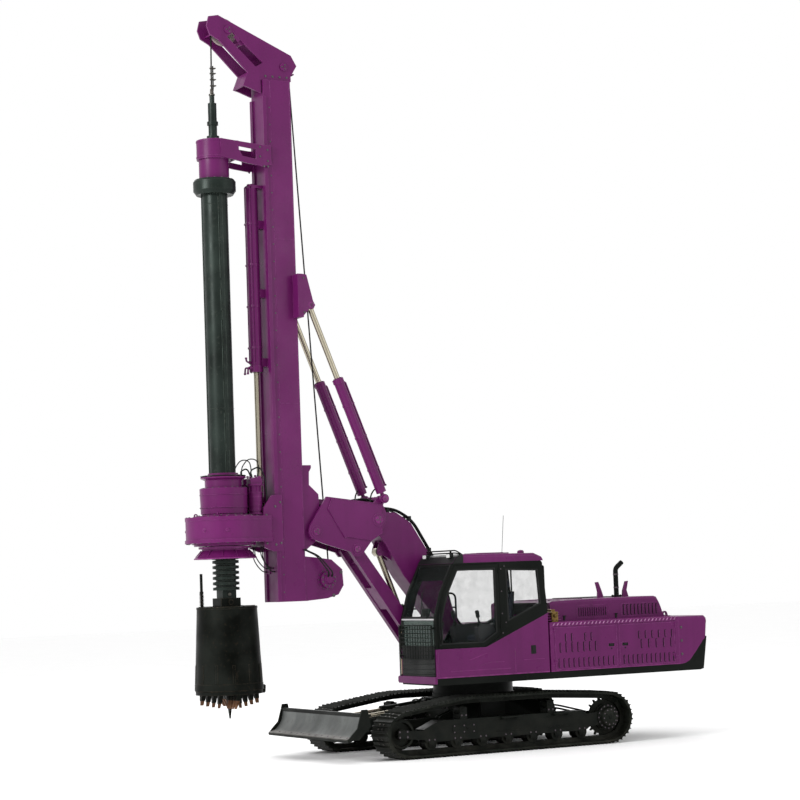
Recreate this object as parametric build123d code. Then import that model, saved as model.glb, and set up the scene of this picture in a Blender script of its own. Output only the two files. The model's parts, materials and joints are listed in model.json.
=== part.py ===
"""Rotary piling rig: crawler base with dozer blade, slewing upper, boom, mast, rotary head and kelly.

Millimetres. X points to the machine's left, the mast stands at -Y, Z is up. The model is laid out about the
slew axis and written with its origin under the middle of its bounding box, on the ground.
"""
from build123d import *
import math
import os

# ---------------------------------------------------------------- driving sizes
RUN_GAP = 6.0            # between pieces that move past each other
SEAT_GAP = 0.3           # between pieces of different bodies that bear on each other

# crawler tracks
TRACK_X = 1048.0         # centre of each track
SHOE_WIDTH = 500.0
LINK_PITCH = 190.0       # wanted pitch; the loop closes on the nearest whole number of links
GROUSER = 26.0           # grouser height above the shoe plate
SHOE_PLATE = 14.0
LINK_HALF = 45.0         # link depth inside the pitch line
LINK_RISE = 28.0         # link depth outside the pitch line, up to the shoe plate
LINK_RAIL = 38.0         # width of one link rail
RAIL_OFFSET = 58.0       # rail centre from the track centre
IDLER_Y, IDLER_R = -1850.0, 347.0
SPROCKET_Y, SPROCKET_R = 1606.0, 385.0
CARRIERS = ((-850.0, 838.0), (620.0, 832.0))      # y, height of the outer track face above it
CARRIER_WRAP = 150.0
CARRIER_R = 58.0
LOWER_ROLLERS = 7
ROLLER_R = 82.0
FRAME_HALF = 120.0       # half width of a track frame
FRAME_TOP = 505.0

# car body and slew ring
CAR_HALF_X, CAR_HALF_Y = 560.0, 640.0
CAR_BOTTOM, CAR_TOP = 430.0, 810.0
SLEW_R = 640.0
DECK_BOTTOM = 1000.0

# dozer blade
BLADE_PIVOT_Y, BLADE_PIVOT_Z = -820.0, 450.0
BLADE_HALF = 1287.0
BLADE_BOTTOM, BLADE_TOP = 330.0, 680.0
BLADE_EDGE_Y, BLADE_LIP_Y, BLADE_BACK_Y = -2790.0, -2560.0, -2420.0
BLADE_CURVE = 85.0       # depth of the mouldboard's hollow
BLADE_SKIN = 35.0
BLADE_ARM_X = 420.0
BLADE_CYL_X = 230.0
BLADE_CYL_FOOT = (-700.0, 690.0)
BLADE_CYL_EYE = (-2130.0, 560.0)

# upper structure
UPPER_HALF = 1276.0
UPPER_REAR = 3430.0
SIDE_BOTTOM, SIDE_TOP = 1100.0, 1815.0
HOUSING_FRONT = 590.0    # front of the machinery housing, behind the cab
COUNTER_FRONT = UPPER_REAR - 540
LIFT_X, LIFT_BORE = 700.0, 22.0     # lifting eyes on the counterweight
TAIL_LINE = [(COUNTER_FRONT, SIDE_BOTTOM), (UPPER_REAR - 445, SIDE_BOTTOM + 12),
             (UPPER_REAR - 360, SIDE_BOTTOM + 50),
             (UPPER_REAR - 230, SIDE_BOTTOM + 188), (UPPER_REAR - 100, SIDE_BOTTOM + 340),
             (UPPER_REAR - 28, SIDE_BOTTOM + 400)]      # where the purple counterweight meets the black tail
TAIL_FOOT = (UPPER_REAR - 105, DECK_BOTTOM + 16)
HOOD_HALF = 850.0
HOOD_FRONT, HOOD_REAR = 880.0, UPPER_REAR - 500
HOOD_TOP = 2135.0
HOOD_HORNS = ((2070.0, -45.0), (2530.0, 45.0))
HORN_X = 400.0
EXHAUST_AT = (400.0, 2384.0)
SILENCER_Z, SILENCER_R = 1400.0, 120.0
PANEL = 30.0             # thickness of housing panels and doors
KNUCKLE_R, KNUCKLE_PIN = 9.0, 4.0
KNUCKLE_X = UPPER_HALF + KNUCKLE_R + SEAT_GAP
DOOR_KNUCKLES = (1190.0, 1660.0)
CAB_KNUCKLES = (1760.0, 2560.0)
DOOR_SPLIT = 1780.0      # where the two side doors meet
DOOR_FRONT, DOOR_REAR = 660.0, COUNTER_FRONT - 70

# cab
CAB_IN, CAB_OUT = 250.0, 1276.0
CAB_FRONT, CAB_REAR = -1326.0, 560.0
CAB_FLOOR = 1100.0
CAB_WALL = 45.0
SILL = 1510.0            # lower edge of the dark cab frame
PILLAR_B = -205.0        # centre of the pillar behind the door
CAB_HINGE_Y = PILLAR_B - 45.0

# linkage, (y, z) of the pins
PIN_R = 40.0
BOOM_FOOT = (-386.0, 1655.0)
LINK_FOOT = (-746.0, 1240.0)
BOOM_HEAD = (-1640.0, 3400.0)
LINK_HEAD = (-2000.0, 2985.0)
MAST_PIVOT = (-2650.0, 3250.0)
BOOM_CYL_FOOT = (-850.0, SIDE_BOTTOM + PIN_R + 45)
BOOM_CYL_EYE = (-1530.0, 2935.0)
MAST_CYL_FOOT = (-1560.0, 3705.0)
MAST_CYL_EYE = (-2675.0, 6510.0)
MAST_CYL_X = 300.0
BOOM_HALF = 190.0
LINK_IN, LINK_OUT = 110.0, 200.0
SUPPORT_IN, SUPPORT_OUT = 215.0, 255.0
BARREL_WALL = 14.0
CHEEK_IN, CHEEK_OUT = LINK_OUT + 8, LINK_OUT + 36
MAST_BARREL = 1880.0
MAST_BARREL_R, MAST_ROD_R = 74.0, 42.0
MAST_EYE_PIN, MAST_EYE_BORE = 32.0, 48.0
BOOM_BARREL = 1020.0
BOOM_BARREL_R, BOOM_ROD_R = 70.0, 42.0
BOOM_EYE_PIN, BOOM_EYE_BORE = 32.0, 40.5
BLADE_BARREL = 760.0
BLADE_BARREL_R, BLADE_ROD_R = 52.0, 30.0
BLADE_EYE_PIN, BLADE_EYE_BORE = 16.0, 20.0

# mast
MAST_HALF = 206.5
MAST_FRONT, MAST_REAR = -3253.0, -2822.0
MAST_BOTTOM, MAST_TOP = 2264.0, 9810.0
MAST_WALL = 20.0
RAIL_OUT = MAST_HALF + 19.5          # outer face of the guide rails on the mast's front corners
KELLY_Y = -3976.0
SHEAVE_FRONT = (-3775.0, MAST_TOP + 690)
SHEAVE_REAR = (-2905.0, MAST_TOP + 210)
SHEAVE_R = 200.0
REAR_SHEAVE_R = 170.0
SHEAVE_PIN = 35.0
WINCH_AT = (-2480.0, 2560.0)
CROWD_Y = MAST_FRONT - 150
CROWD_TOP, CROWD_LOW = 8230.0, 5560.0
CROWD_R, CROWD_BORE, CROWD_ROD_R = 88.0, 62.0, 40.0
MOTOR_X, MOTOR_Y = 130.0, -3545.0

# rotary head
GEAR_R = 564.0
GEAR_BOTTOM, GEAR_TOP = 3125.0, 3490.0
GEAR_LIP = 14.0          # how far the lower lip of the gear case stands out; the upper one stands out by half
HEAD_R, HEAD_TOP = 340.0, 3900.0
NECK_R, NECK_TOP = 262.0, 4010.0
FLANGE_R, FLANGE_TOP = 322.0, 4085.0
PLATE_R = 445.0
PLATE_BOTTOM = 2900.0
ROD_SEAT = 3560.0         # top of the pedestal that takes the crowd rod

# kelly
KELLY_R = 182.0
KELLY_WALL = 26.0
KELLY_RIB = 16.0
CORE_R = KELLY_R - KELLY_WALL - RUN_GAP
SLEEVE_R = KELLY_R + KELLY_RIB + RUN_GAP + 11      # outside of the drive sleeve, inside the head
KELLY_BOTTOM, KELLY_TOP = 2915.0, 8610.0
COLLAR_BOTTOM, COLLAR_TOP, COLLAR_R = 8100.0, 8320.0, 305.0
DAMPER_BOTTOM, DAMPER_TOP, DAMPER_R = 2460.0, KELLY_BOTTOM - SEAT_GAP, 188.0
STUB_HALF = 105.0
GUIDE_BOTTOM, GUIDE_TOP, GUIDE_R = KELLY_TOP + SEAT_GAP, 8890.0, 215.0
CORE_TOP = 8960.0

# bucket
BUCKET_TOP, BUCKET_BOTTOM = 2230.0, 1060.0
BUCKET_R_TOP, BUCKET_R_BOTTOM = 425.0, 480.0
BUCKET_WALL = 22.0
BUCKET_TIP = 660.0
HINGE_Y = KELLY_Y + BUCKET_R_BOTTOM + 15
HINGE_Z = BUCKET_BOTTOM - 40
FLOOR_PIN = 16.0

# bounding box in y, which sets the origin
FRONT_Y = KELLY_Y - GEAR_R
ORIGIN_Y = (FRONT_Y + UPPER_REAR) / 2


# ---------------------------------------------------------------- small builders
def box(x, y, z):
    """A block from three (low, high) pairs."""
    size = [high - low for low, high in (x, y, z)]
    middle = [(high + low) / 2 for low, high in (x, y, z)]
    return Pos(*middle) * Box(*size)


def side_plate(points, x):
    """A polygon of (y, z) points, as thick as the x pair."""
    face = Plane.YZ * make_face(Polyline(*points, close=True))
    return Pos(x[0], 0, 0) * extrude(face, x[1] - x[0], dir=(1, 0, 0))


def plan_plate(points, z):
    """A polygon of (x, y) points between two heights."""
    return Pos(0, 0, z[0]) * extrude(make_face(Polyline(*points, close=True)), z[1] - z[0], dir=(0, 0, 1))


def front_plate(points, y):
    """A polygon of (x, z) points between two y values."""
    face = Plane.XZ * make_face(Polyline(*points, close=True))
    return Pos(0, y[0], 0) * extrude(face, y[1] - y[0], dir=(0, 1, 0))


def strap(circles, x):
    """The tight outline around (y, z, radius) circles, as thick as the x pair."""
    edges = [edge for y, z, r in circles for edge in (Pos(y, z) * Circle(r)).edges()]
    return Pos(x[0], 0, 0) * extrude(Plane.YZ * make_hull(edges), x[1] - x[0], dir=(1, 0, 0))


def bar_x(y, z, r, x):
    """A cylinder along X."""
    return Pos((x[0] + x[1]) / 2, y, z) * Rot(0, 90, 0) * Cylinder(r, x[1] - x[0])


def bar_z(x, y, r, z):
    """A cylinder along Z."""
    return Pos(x, y, (z[0] + z[1]) / 2) * Cylinder(r, z[1] - z[0])


def tube_z(x, y, r, bore, z):
    """A tube along Z."""
    return bar_z(x, y, r, z) - bar_z(x, y, bore, (z[0] - 1, z[1] + 1))


def rod(start, end, r):
    """A cylinder between two 3-D points."""
    run = Vector(*end) - Vector(*start)
    return Plane(origin=start, z_dir=run) * Cylinder(r, run.length,
                                                     align=(Align.CENTER, Align.CENTER, Align.MIN))


def turned(profile, x=0.0, y=0.0, z=0.0):
    """A solid of revolution about a vertical axis from (radius, height) points."""
    return Pos(x, y, z) * revolve(Plane.XZ * make_face(Polyline(*profile, close=True)), Axis.Z)


def turned_x(profile, y, z):
    """A solid of revolution about an axis along X from (radius, x) points."""
    ring = revolve(Plane.XZ * make_face(Polyline(*profile, close=True)), Axis.Z)
    return Pos(0, y, z) * Rot(0, 90, 0) * ring


def both_sides(shape):
    """The shape and its mirror image across the machine's middle plane."""
    return [shape, mirror(shape, Plane.YZ)]


def along(start, end, distance):
    """The (y, z) point at a distance from start towards end."""
    length = math.dist(start, end)
    return tuple(a + (b - a) * distance / length for a, b in zip(start, end))


# ---------------------------------------------------------------- crawler tracks
def hull_path(circles):
    """Lines and arcs of the tight loop around (y, z, radius) circles, listed clockwise seen from +X."""
    pieces = []
    count = len(circles)
    tangents = []
    for i in range(count):
        (y0, z0, r0), (y1, z1, r1) = circles[i], circles[(i + 1) % count]
        span = math.dist((y0, z0), (y1, z1))
        heading = math.atan2(z1 - z0, y1 - y0)
        normal = heading + math.acos((r0 - r1) / span)
        tangents.append(((y0 + r0 * math.cos(normal), z0 + r0 * math.sin(normal)),
                         (y1 + r1 * math.cos(normal), z1 + r1 * math.sin(normal)), normal))
    for i in range(count):
        start, end, normal = tangents[i]
        pieces.append(("line", start, end))
        y, z, r = circles[(i + 1) % count]
        turn = (normal - tangents[(i + 1) % count][2]) % (2 * math.pi)
        pieces.append(("arc", (y, z, r), normal, turn))
    return pieces


def path_length(piece):
    return math.dist(piece[1], piece[2]) if piece[0] == "line" else piece[1][2] * piece[3]


def path_point(pieces, distance):
    """The (y, z) point at a distance along the loop."""
    for piece in pieces:
        length = path_length(piece)
        if distance <= length:
            if piece[0] == "line":
                return along(piece[1], piece[2], distance)
            y, z, r = piece[1]
            angle = piece[2] - distance / r
            return (y + r * math.cos(angle), z + r * math.sin(angle))
        distance -= length
    return pieces[0][1]


def link_pins():
    """Pin points of the track chain, one per link, on the pitch line."""
    depth = GROUSER + SHOE_PLATE + LINK_RISE
    circles = [(IDLER_Y, IDLER_R, IDLER_R - depth)]
    circles += [(y, top - CARRIER_WRAP, CARRIER_WRAP - depth) for y, top in CARRIERS]
    circles += [(SPROCKET_Y, SPROCKET_R, SPROCKET_R - depth)]
    pieces = hull_path(circles)
    total = sum(path_length(piece) for piece in pieces)
    count = round(total / LINK_PITCH)
    return [path_point(pieces, total * i / count) for i in range(count)]


def offset_point(pins, i, share, rise):
    """A point on link i: its share of the link's length, and its height outside the pitch line."""
    (y0, z0), (y1, z1) = pins[i], pins[(i + 1) % len(pins)]
    length = math.dist((y0, z0), (y1, z1))
    along_y, along_z = (y1 - y0) / length, (z1 - z0) / length
    return (y0 + (y1 - y0) * share - along_z * rise, z0 + (z1 - z0) * share + along_y * rise)


def band(pins, x, outer, inner):
    """A closed band round the loop; outer and inner list (share, rise) points of one link."""
    outside = [offset_point(pins, i, share, rise) for i in range(len(pins)) for share, rise in outer]
    inside = [offset_point(pins, i, share, rise) for i in range(len(pins)) for share, rise in inner]
    return side_plate(outside, x) - side_plate(inside, (x[0] - 1, x[1] + 1))


def track():
    """Left track: shoes with three grousers each, on two rails of links."""
    pins = link_pins()
    plate = LINK_RISE + SHOE_PLATE
    tip = plate + GROUSER
    notch = (0.0, LINK_RISE + 5.0)
    outer = [notch]
    for middle in (0.12, 0.5, 0.88):
        outer += [(middle - 0.07, plate), (middle, tip), (middle + 0.07, plate)]
    shoes = band(pins, (TRACK_X - SHOE_WIDTH / 2, TRACK_X + SHOE_WIDTH / 2), outer, [(0.5, LINK_RISE - 8.0)])
    for side in (-1, 1):
        rail = TRACK_X + side * RAIL_OFFSET
        shoes += band(pins, (rail - LINK_RAIL / 2, rail + LINK_RAIL / 2),
                      [(0.0, LINK_RISE), (0.5, LINK_RISE)],
                      [(0.5, -LINK_HALF)])
    return shoes


# ---------------------------------------------------------------- undercarriage
CHAIN_DEPTH = GROUSER + SHOE_PLATE + LINK_RISE + LINK_HALF      # from the ground to the rollers' path
SAGITTA = 34.0                                                  # rise of a straight link over a wheel's rim
IDLER_RIM = IDLER_R - CHAIN_DEPTH - SAGITTA
SPROCKET_ROOT = SPROCKET_R - CHAIN_DEPTH - SAGITTA
ROLLER_Z = CHAIN_DEPTH + SEAT_GAP + ROLLER_R
FRAME_BOTTOM = ROLLER_Z + 20
FRAME_FRONT, FRAME_REAR = IDLER_Y + 330, SPROCKET_Y - 330
LEG_X = (CAR_HALF_X - 60, TRACK_X - FRAME_HALF)


def roller_places():
    """y of each lower roller, evenly spread between the wheels."""
    first, last = IDLER_Y + 460, SPROCKET_Y - 460
    return [first + (last - first) * i / (LOWER_ROLLERS - 1) for i in range(LOWER_ROLLERS)]


def roller(y, z, r):
    """A double-flanged roller with its axle; the chain's rails run between the flanges."""
    flange = r + 14
    inner, outer = RAIL_OFFSET + LINK_RAIL / 2 + 3, RAIL_OFFSET + LINK_RAIL / 2 + 15
    profile = [(0, -FRAME_HALF + 4), (26, -FRAME_HALF + 4), (26, -outer), (flange, -outer), (flange, -inner),
               (r, -inner), (r, inner), (flange, inner), (flange, outer), (26, outer), (26, FRAME_HALF - 4),
               (0, FRAME_HALF - 4)]
    return Pos(TRACK_X, 0, 0) * turned_x(profile, y, z)


def carrier_height(top):
    """Height of a carrier roller's axle, from that of the track's outer face above it."""
    return top - CHAIN_DEPTH - SAGITTA - CARRIER_R


def track_frame():
    """Left track frame: a box with sloping shoulders, roller brackets, idler forks and a drive mount."""
    x = (TRACK_X - FRAME_HALF, TRACK_X + FRAME_HALF)
    outline = [(FRAME_FRONT, FRAME_BOTTOM + 40), (FRAME_FRONT + 60, FRAME_BOTTOM),
               (FRAME_REAR - 60, FRAME_BOTTOM),
               (FRAME_REAR, FRAME_BOTTOM + 40), (FRAME_REAR, FRAME_TOP - 70), (FRAME_REAR - 120, FRAME_TOP),
               (FRAME_FRONT + 260, FRAME_TOP), (FRAME_FRONT, FRAME_TOP - 110)]
    trough = box((x[0] + 22, x[1] - 22), (FRAME_FRONT + 20, FRAME_REAR - 20),
                 (FRAME_BOTTOM - 10, ROLLER_Z + 130))
    body = side_plate(outline, x) - trough
    brackets = []
    for y in roller_places():
        for low, high in ((x[0], x[0] + 22), (x[1] - 22, x[1])):
            body += side_plate([(y - 60, FRAME_BOTTOM + 20), (y + 60, FRAME_BOTTOM + 20),
                                (y + 38, ROLLER_Z - 42),
                                (y - 38, ROLLER_Z - 42)], (low, high))
        brackets.append(bar_x(y, ROLLER_Z, 27, (x[0] - 1, x[1] + 1)))
    for cut in brackets:
        body -= cut
    for low, high in ((x[0], x[0] + 26), (x[1] - 26, x[1])):
        body += side_plate([(FRAME_FRONT + 80, FRAME_BOTTOM + 30), (FRAME_FRONT + 80, FRAME_TOP - 130),
                            (IDLER_Y - 70, IDLER_R + 55), (IDLER_Y - 70, IDLER_R - 55)], (low, high))
        body += side_plate([(FRAME_REAR - 90, FRAME_BOTTOM + 30), (FRAME_REAR - 90, FRAME_TOP - 60),
                            (SPROCKET_Y - 60, SPROCKET_R + 95), (SPROCKET_Y + 60, SPROCKET_R + 60),
                            (SPROCKET_Y + 60, SPROCKET_R - 60), (SPROCKET_Y - 60, SPROCKET_R - 90)],
                           (low, high))
    body -= bar_x(IDLER_Y, IDLER_R, 45 + SEAT_GAP, (x[0] - 1, x[1] + 1))
    body -= bar_x(SPROCKET_Y, SPROCKET_R, 150 + SEAT_GAP, (x[0] - 1, TRACK_X))
    body -= bar_x(SPROCKET_Y, SPROCKET_R, 100 + SEAT_GAP, (TRACK_X, x[1] + 1))
    for y, top in CARRIERS:
        axle = carrier_height(top)
        body += box((x[0] + 10, x[0] + 40), (y - 55, y + 55), (FRAME_TOP - 5, axle + 40))
        body += box((x[1] - 40, x[1] - 10), (y - 55, y + 55), (FRAME_TOP - 5, axle + 40))
        body -= bar_x(y, axle, 22 + SEAT_GAP, x)
    return body


def carrier(y, top):
    """A carrier roller under the upper run, on its axle."""
    z = carrier_height(top)
    half = FRAME_HALF - 44
    profile = [(0, -half), (CARRIER_R, -half), (CARRIER_R, half), (0, half)]
    wheel = Pos(TRACK_X, 0, 0) * turned_x(profile, y, z)
    return wheel + bar_x(y, z, 22, (TRACK_X - FRAME_HALF + 4, TRACK_X + FRAME_HALF - 4))


def idler():
    """Front idler: a rimmed wheel with a centre flange between the rails, on its axle."""
    r = IDLER_RIM
    rim = RAIL_OFFSET + LINK_RAIL / 2
    web = 22
    profile = [(0, -FRAME_HALF), (45, -FRAME_HALF), (45, -78), (80, -78), (80, -web), (r - 40, -web),
               (r - 30, -rim), (r, -rim), (r, -32), (r + 20, -26), (r + 20, 26), (r, 32), (r, rim),
               (r - 30, rim),
               (r - 40, web),
               (80, web), (80, 78), (45, 78), (45, FRAME_HALF), (0, FRAME_HALF)]
    return Pos(TRACK_X, 0, 0) * turned_x(profile, IDLER_Y, IDLER_R)


def sprocket():
    """Rear sprocket: a toothed ring between the rails, with the stepped drive housing inside and outside."""
    teeth = 19
    root, tip = SPROCKET_ROOT + 20, SPROCKET_R - CHAIN_DEPTH + LINK_HALF - 14
    outline = []
    for i in range(teeth):
        for share, r in ((0.0, root), (0.3, root), (0.44, tip), (0.56, tip), (0.7, root)):
            angle = 2 * math.pi * (i + share) / teeth
            outline.append((SPROCKET_Y + r * math.cos(angle), SPROCKET_R + r * math.sin(angle)))
    ring = side_plate(outline, (TRACK_X - 20, TRACK_X + 20))
    out, inner = FRAME_HALF + 70, -FRAME_HALF - 60
    housing = [(0, inner), (110, inner), (110, -FRAME_HALF - 4), (150, -FRAME_HALF - 4), (150, -30),
               (190, -30),
               (190, 60), (100, 60), (100, FRAME_HALF + 20), (150, FRAME_HALF + 20), (130, out),
               (60, out + 12),
               (0, out + 12)]
    return ring + Pos(TRACK_X, 0, 0) * turned_x(housing, SPROCKET_Y, SPROCKET_R)


def car_body():
    """Centre box with a ring seat, four splayed legs to the track frames, and blade brackets in front."""
    corner = 200
    octagon = [(CAR_HALF_X - corner, -CAR_HALF_Y), (CAR_HALF_X, -CAR_HALF_Y + corner),
               (CAR_HALF_X, CAR_HALF_Y - corner), (CAR_HALF_X - corner, CAR_HALF_Y),
               (-CAR_HALF_X + corner, CAR_HALF_Y), (-CAR_HALF_X, CAR_HALF_Y - corner),
               (-CAR_HALF_X, -CAR_HALF_Y + corner), (-CAR_HALF_X + corner, -CAR_HALF_Y)]
    body = plan_plate(octagon, (CAR_BOTTOM, CAR_TOP - 60)) + bar_z(0, 0, SLEW_R - 30, (CAR_TOP - 60, CAR_TOP))
    body -= bar_z(0, 0, 330, (CAR_BOTTOM - 1, CAR_TOP - 120))
    for end in (-1, 1):
        leg = [(LEG_X[0] - 60, end * 120), (LEG_X[0] - 60, end * (CAR_HALF_Y - 120)), (LEG_X[1], end * 900),
               (LEG_X[1], end * 480)]
        slab = plan_plate(leg, (FRAME_BOTTOM + 40, CAR_TOP - 60))
        inner, outer = LEG_X[0] - 80, LEG_X[1] + 5
        slope = front_plate([(inner, CAR_TOP + 50), (LEG_X[0] + 20, CAR_TOP - 60), (outer, FRAME_TOP - 20),
                             (outer, CAR_TOP + 50)], (-1000, 1000))
        belly = front_plate([(inner, CAR_BOTTOM), (LEG_X[0] + 20, CAR_BOTTOM), (outer, FRAME_BOTTOM + 60),
                             (outer, 0),
                             (inner, 0)], (-1000, 1000))
        leg = slab - slope - belly
        body += leg + mirror(leg, Plane.YZ)
    for side in (-1, 1):
        body += blade_ears(side * BLADE_ARM_X)
        body += cylinder_ears(side * BLADE_CYL_X)
    return body


def blade_ears(x):
    """Two ears for a blade arm's pivot."""
    ears = []
    for low in (x - 75, x + 45):
        ears.append(side_plate([(-500, CAR_BOTTOM + 5), (-500, 640), (BLADE_PIVOT_Y - 30, BLADE_PIVOT_Z + 70),
                                (BLADE_PIVOT_Y - 70, BLADE_PIVOT_Z + 30),
                                (BLADE_PIVOT_Y - 70, BLADE_PIVOT_Z - 40),
                                (BLADE_PIVOT_Y - 20, BLADE_PIVOT_Z - 75)], (low, low + 30)))
    pin = bar_x(BLADE_PIVOT_Y, BLADE_PIVOT_Z, 30, (x - 85, x + 85))
    return ears[0] + ears[1] + pin


def cylinder_ears(x):
    """Two ears and a pin for a blade cylinder's foot."""
    y, z = BLADE_CYL_FOOT
    ears = []
    for low in (x - 62, x + 38):
        ears.append(side_plate([(-600, 600), (-600, CAR_TOP - 62), (y - 25, z + 48), (y - 50, z),
                                (y - 25, z - 48)],
                               (low, low + 24)))
    return ears[0] + ears[1] + bar_x(y, z, 24, (x - 68, x + 68))


def slew_ring():
    """Toothless outer race between the car body and the deck."""
    return tube_z(0, 0, SLEW_R - 45, SLEW_R - 150, (CAR_TOP + SEAT_GAP, DECK_BOTTOM - SEAT_GAP))


# ---------------------------------------------------------------- dozer blade
def mouldboard_arc():
    """Centre, radius, start angle and sweep (degrees) of the blade's concave face."""
    low, high = (BLADE_EDGE_Y, BLADE_BOTTOM), (BLADE_LIP_Y, BLADE_TOP)
    chord = math.dist(low, high)
    r = (chord ** 2 / 4 + BLADE_CURVE ** 2) / (2 * BLADE_CURVE)
    back_y, back_z = (high[1] - low[1]) / chord, -(high[0] - low[0]) / chord
    reach = r - BLADE_CURVE
    centre = ((low[0] + high[0]) / 2 - reach * back_y, (low[1] + high[1]) / 2 - reach * back_z)
    start = math.degrees(math.atan2(low[1] - centre[1], low[0] - centre[0]))
    end = math.degrees(math.atan2(high[1] - centre[1], high[0] - centre[0]))
    return centre, r, start, end - start


def dozer_blade():
    """Curved mouldboard with a top lip, end plates and a back beam, and two arms back to the car body."""
    centre, r, start, sweep = mouldboard_arc()
    face = CenterArc(centre, r, start, sweep)
    back = CenterArc(centre, r + BLADE_SKIN, start, sweep)
    ends = [Line(face @ 0, back @ 0), Line(face @ 1, back @ 1)]
    section = Plane.YZ * make_face([face, back] + ends)
    blade = Pos(-BLADE_HALF, 0, 0) * extrude(section, 2 * BLADE_HALF, dir=(1, 0, 0))
    mid_z = (BLADE_BOTTOM + BLADE_TOP) / 2
    blade += box((-BLADE_HALF, BLADE_HALF), (BLADE_LIP_Y - 5, BLADE_BACK_Y), (BLADE_TOP - 45, BLADE_TOP - 5))
    beam = BLADE_HALF - 40
    blade += box((-beam, beam), (BLADE_BACK_Y - 130, BLADE_BACK_Y - 10), (mid_z - 80, mid_z + 80))
    end_plate = [(BLADE_EDGE_Y, BLADE_BOTTOM - 5), (BLADE_EDGE_Y + 60, BLADE_BOTTOM + 60),
                 (BLADE_LIP_Y - 70, mid_z - 20), (BLADE_LIP_Y - 10, BLADE_TOP),
                 (BLADE_LIP_Y + 5, BLADE_TOP + 60),
                 (BLADE_LIP_Y + 95, BLADE_TOP + 60), (BLADE_BACK_Y, mid_z),
                 (BLADE_BACK_Y - 190, BLADE_BOTTOM - 5)]
    for low in (-BLADE_HALF, BLADE_HALF - 25):
        blade += side_plate(end_plate, (low, low + 25))
    arm = [(BLADE_BACK_Y - 60, mid_z + 90), (-1300, BLADE_PIVOT_Z + 45), (BLADE_PIVOT_Y, BLADE_PIVOT_Z + 60),
           (BLADE_PIVOT_Y + 60, BLADE_PIVOT_Z), (BLADE_PIVOT_Y, BLADE_PIVOT_Z - 60),
           (-1300, BLADE_PIVOT_Z - 65),
           (BLADE_BACK_Y - 60, mid_z - 90)]
    for side in (-1, 1):
        x = side * BLADE_ARM_X
        eye = bar_x(BLADE_PIVOT_Y, BLADE_PIVOT_Z, 30 + SEAT_GAP, (x - 39, x + 39))
        blade += side_plate(arm, (x - 38, x + 38)) - eye
        eye_y, eye_z = BLADE_CYL_EYE
        for low in (side * BLADE_CYL_X - 62, side * BLADE_CYL_X + 38):
            blade += side_plate([(BLADE_BACK_Y - 60, eye_z + 70), (eye_y + 20, eye_z + 48),
                                 (eye_y + 50, eye_z),
                                 (eye_y + 20, eye_z - 48), (BLADE_BACK_Y - 60, eye_z - 90)], (low, low + 24))
        blade += bar_x(eye_y, eye_z, BLADE_EYE_PIN, (side * BLADE_CYL_X - 68, side * BLADE_CYL_X + 68))
    stay = box((-BLADE_ARM_X, BLADE_ARM_X), (-1560, -1440), (BLADE_PIVOT_Z - 50, BLADE_PIVOT_Z + 20))
    return blade + stay


def cylinder_barrel(x, foot, eye, length, r, width, pin_r, rod_r):
    """A cylinder barrel from its foot eye towards the rod eye, with a gland that the rod runs in."""
    end = along(foot, eye, length)
    start = along(foot, eye, pin_r + 60)
    bore_from = along(foot, eye, 0.3 * length)
    gland = along(foot, eye, length - 70)
    barrel = rod((x, *start), (x, *end), r) + rod((x, *gland), (x, *end), r + 9)
    barrel -= rod((x, *bore_from), (x, *gland), r - BARREL_WALL)
    barrel -= rod((x, *bore_from), (x, *along(foot, eye, length + 5)), rod_r + SEAT_GAP)
    barrel += rod((x, *along(foot, eye, pin_r + 4)), (x, *start), min(r, width / 2) - 6)
    barrel += bar_x(*foot, pin_r + 28, (x - width / 2, x + width / 2))
    return barrel - bar_x(*foot, pin_r + SEAT_GAP, (x - width, x + width))


def cylinder_rod(x, foot, eye, start, r, width, bore, barrel_r):
    """A piston rod from its piston to its eye; the bore leaves room for the pin."""
    inner = along(foot, eye, start)
    stem = rod((x, *inner), (x, *along(eye, foot, bore + 12)), r)
    stem += rod((x, *inner), (x, *along(foot, eye, start + 60)), barrel_r - BARREL_WALL - SEAT_GAP)
    stem += bar_x(*eye, bore + 26, (x - width / 2, x + width / 2))
    return stem - bar_x(*eye, bore, (x - width, x + width))


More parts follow.
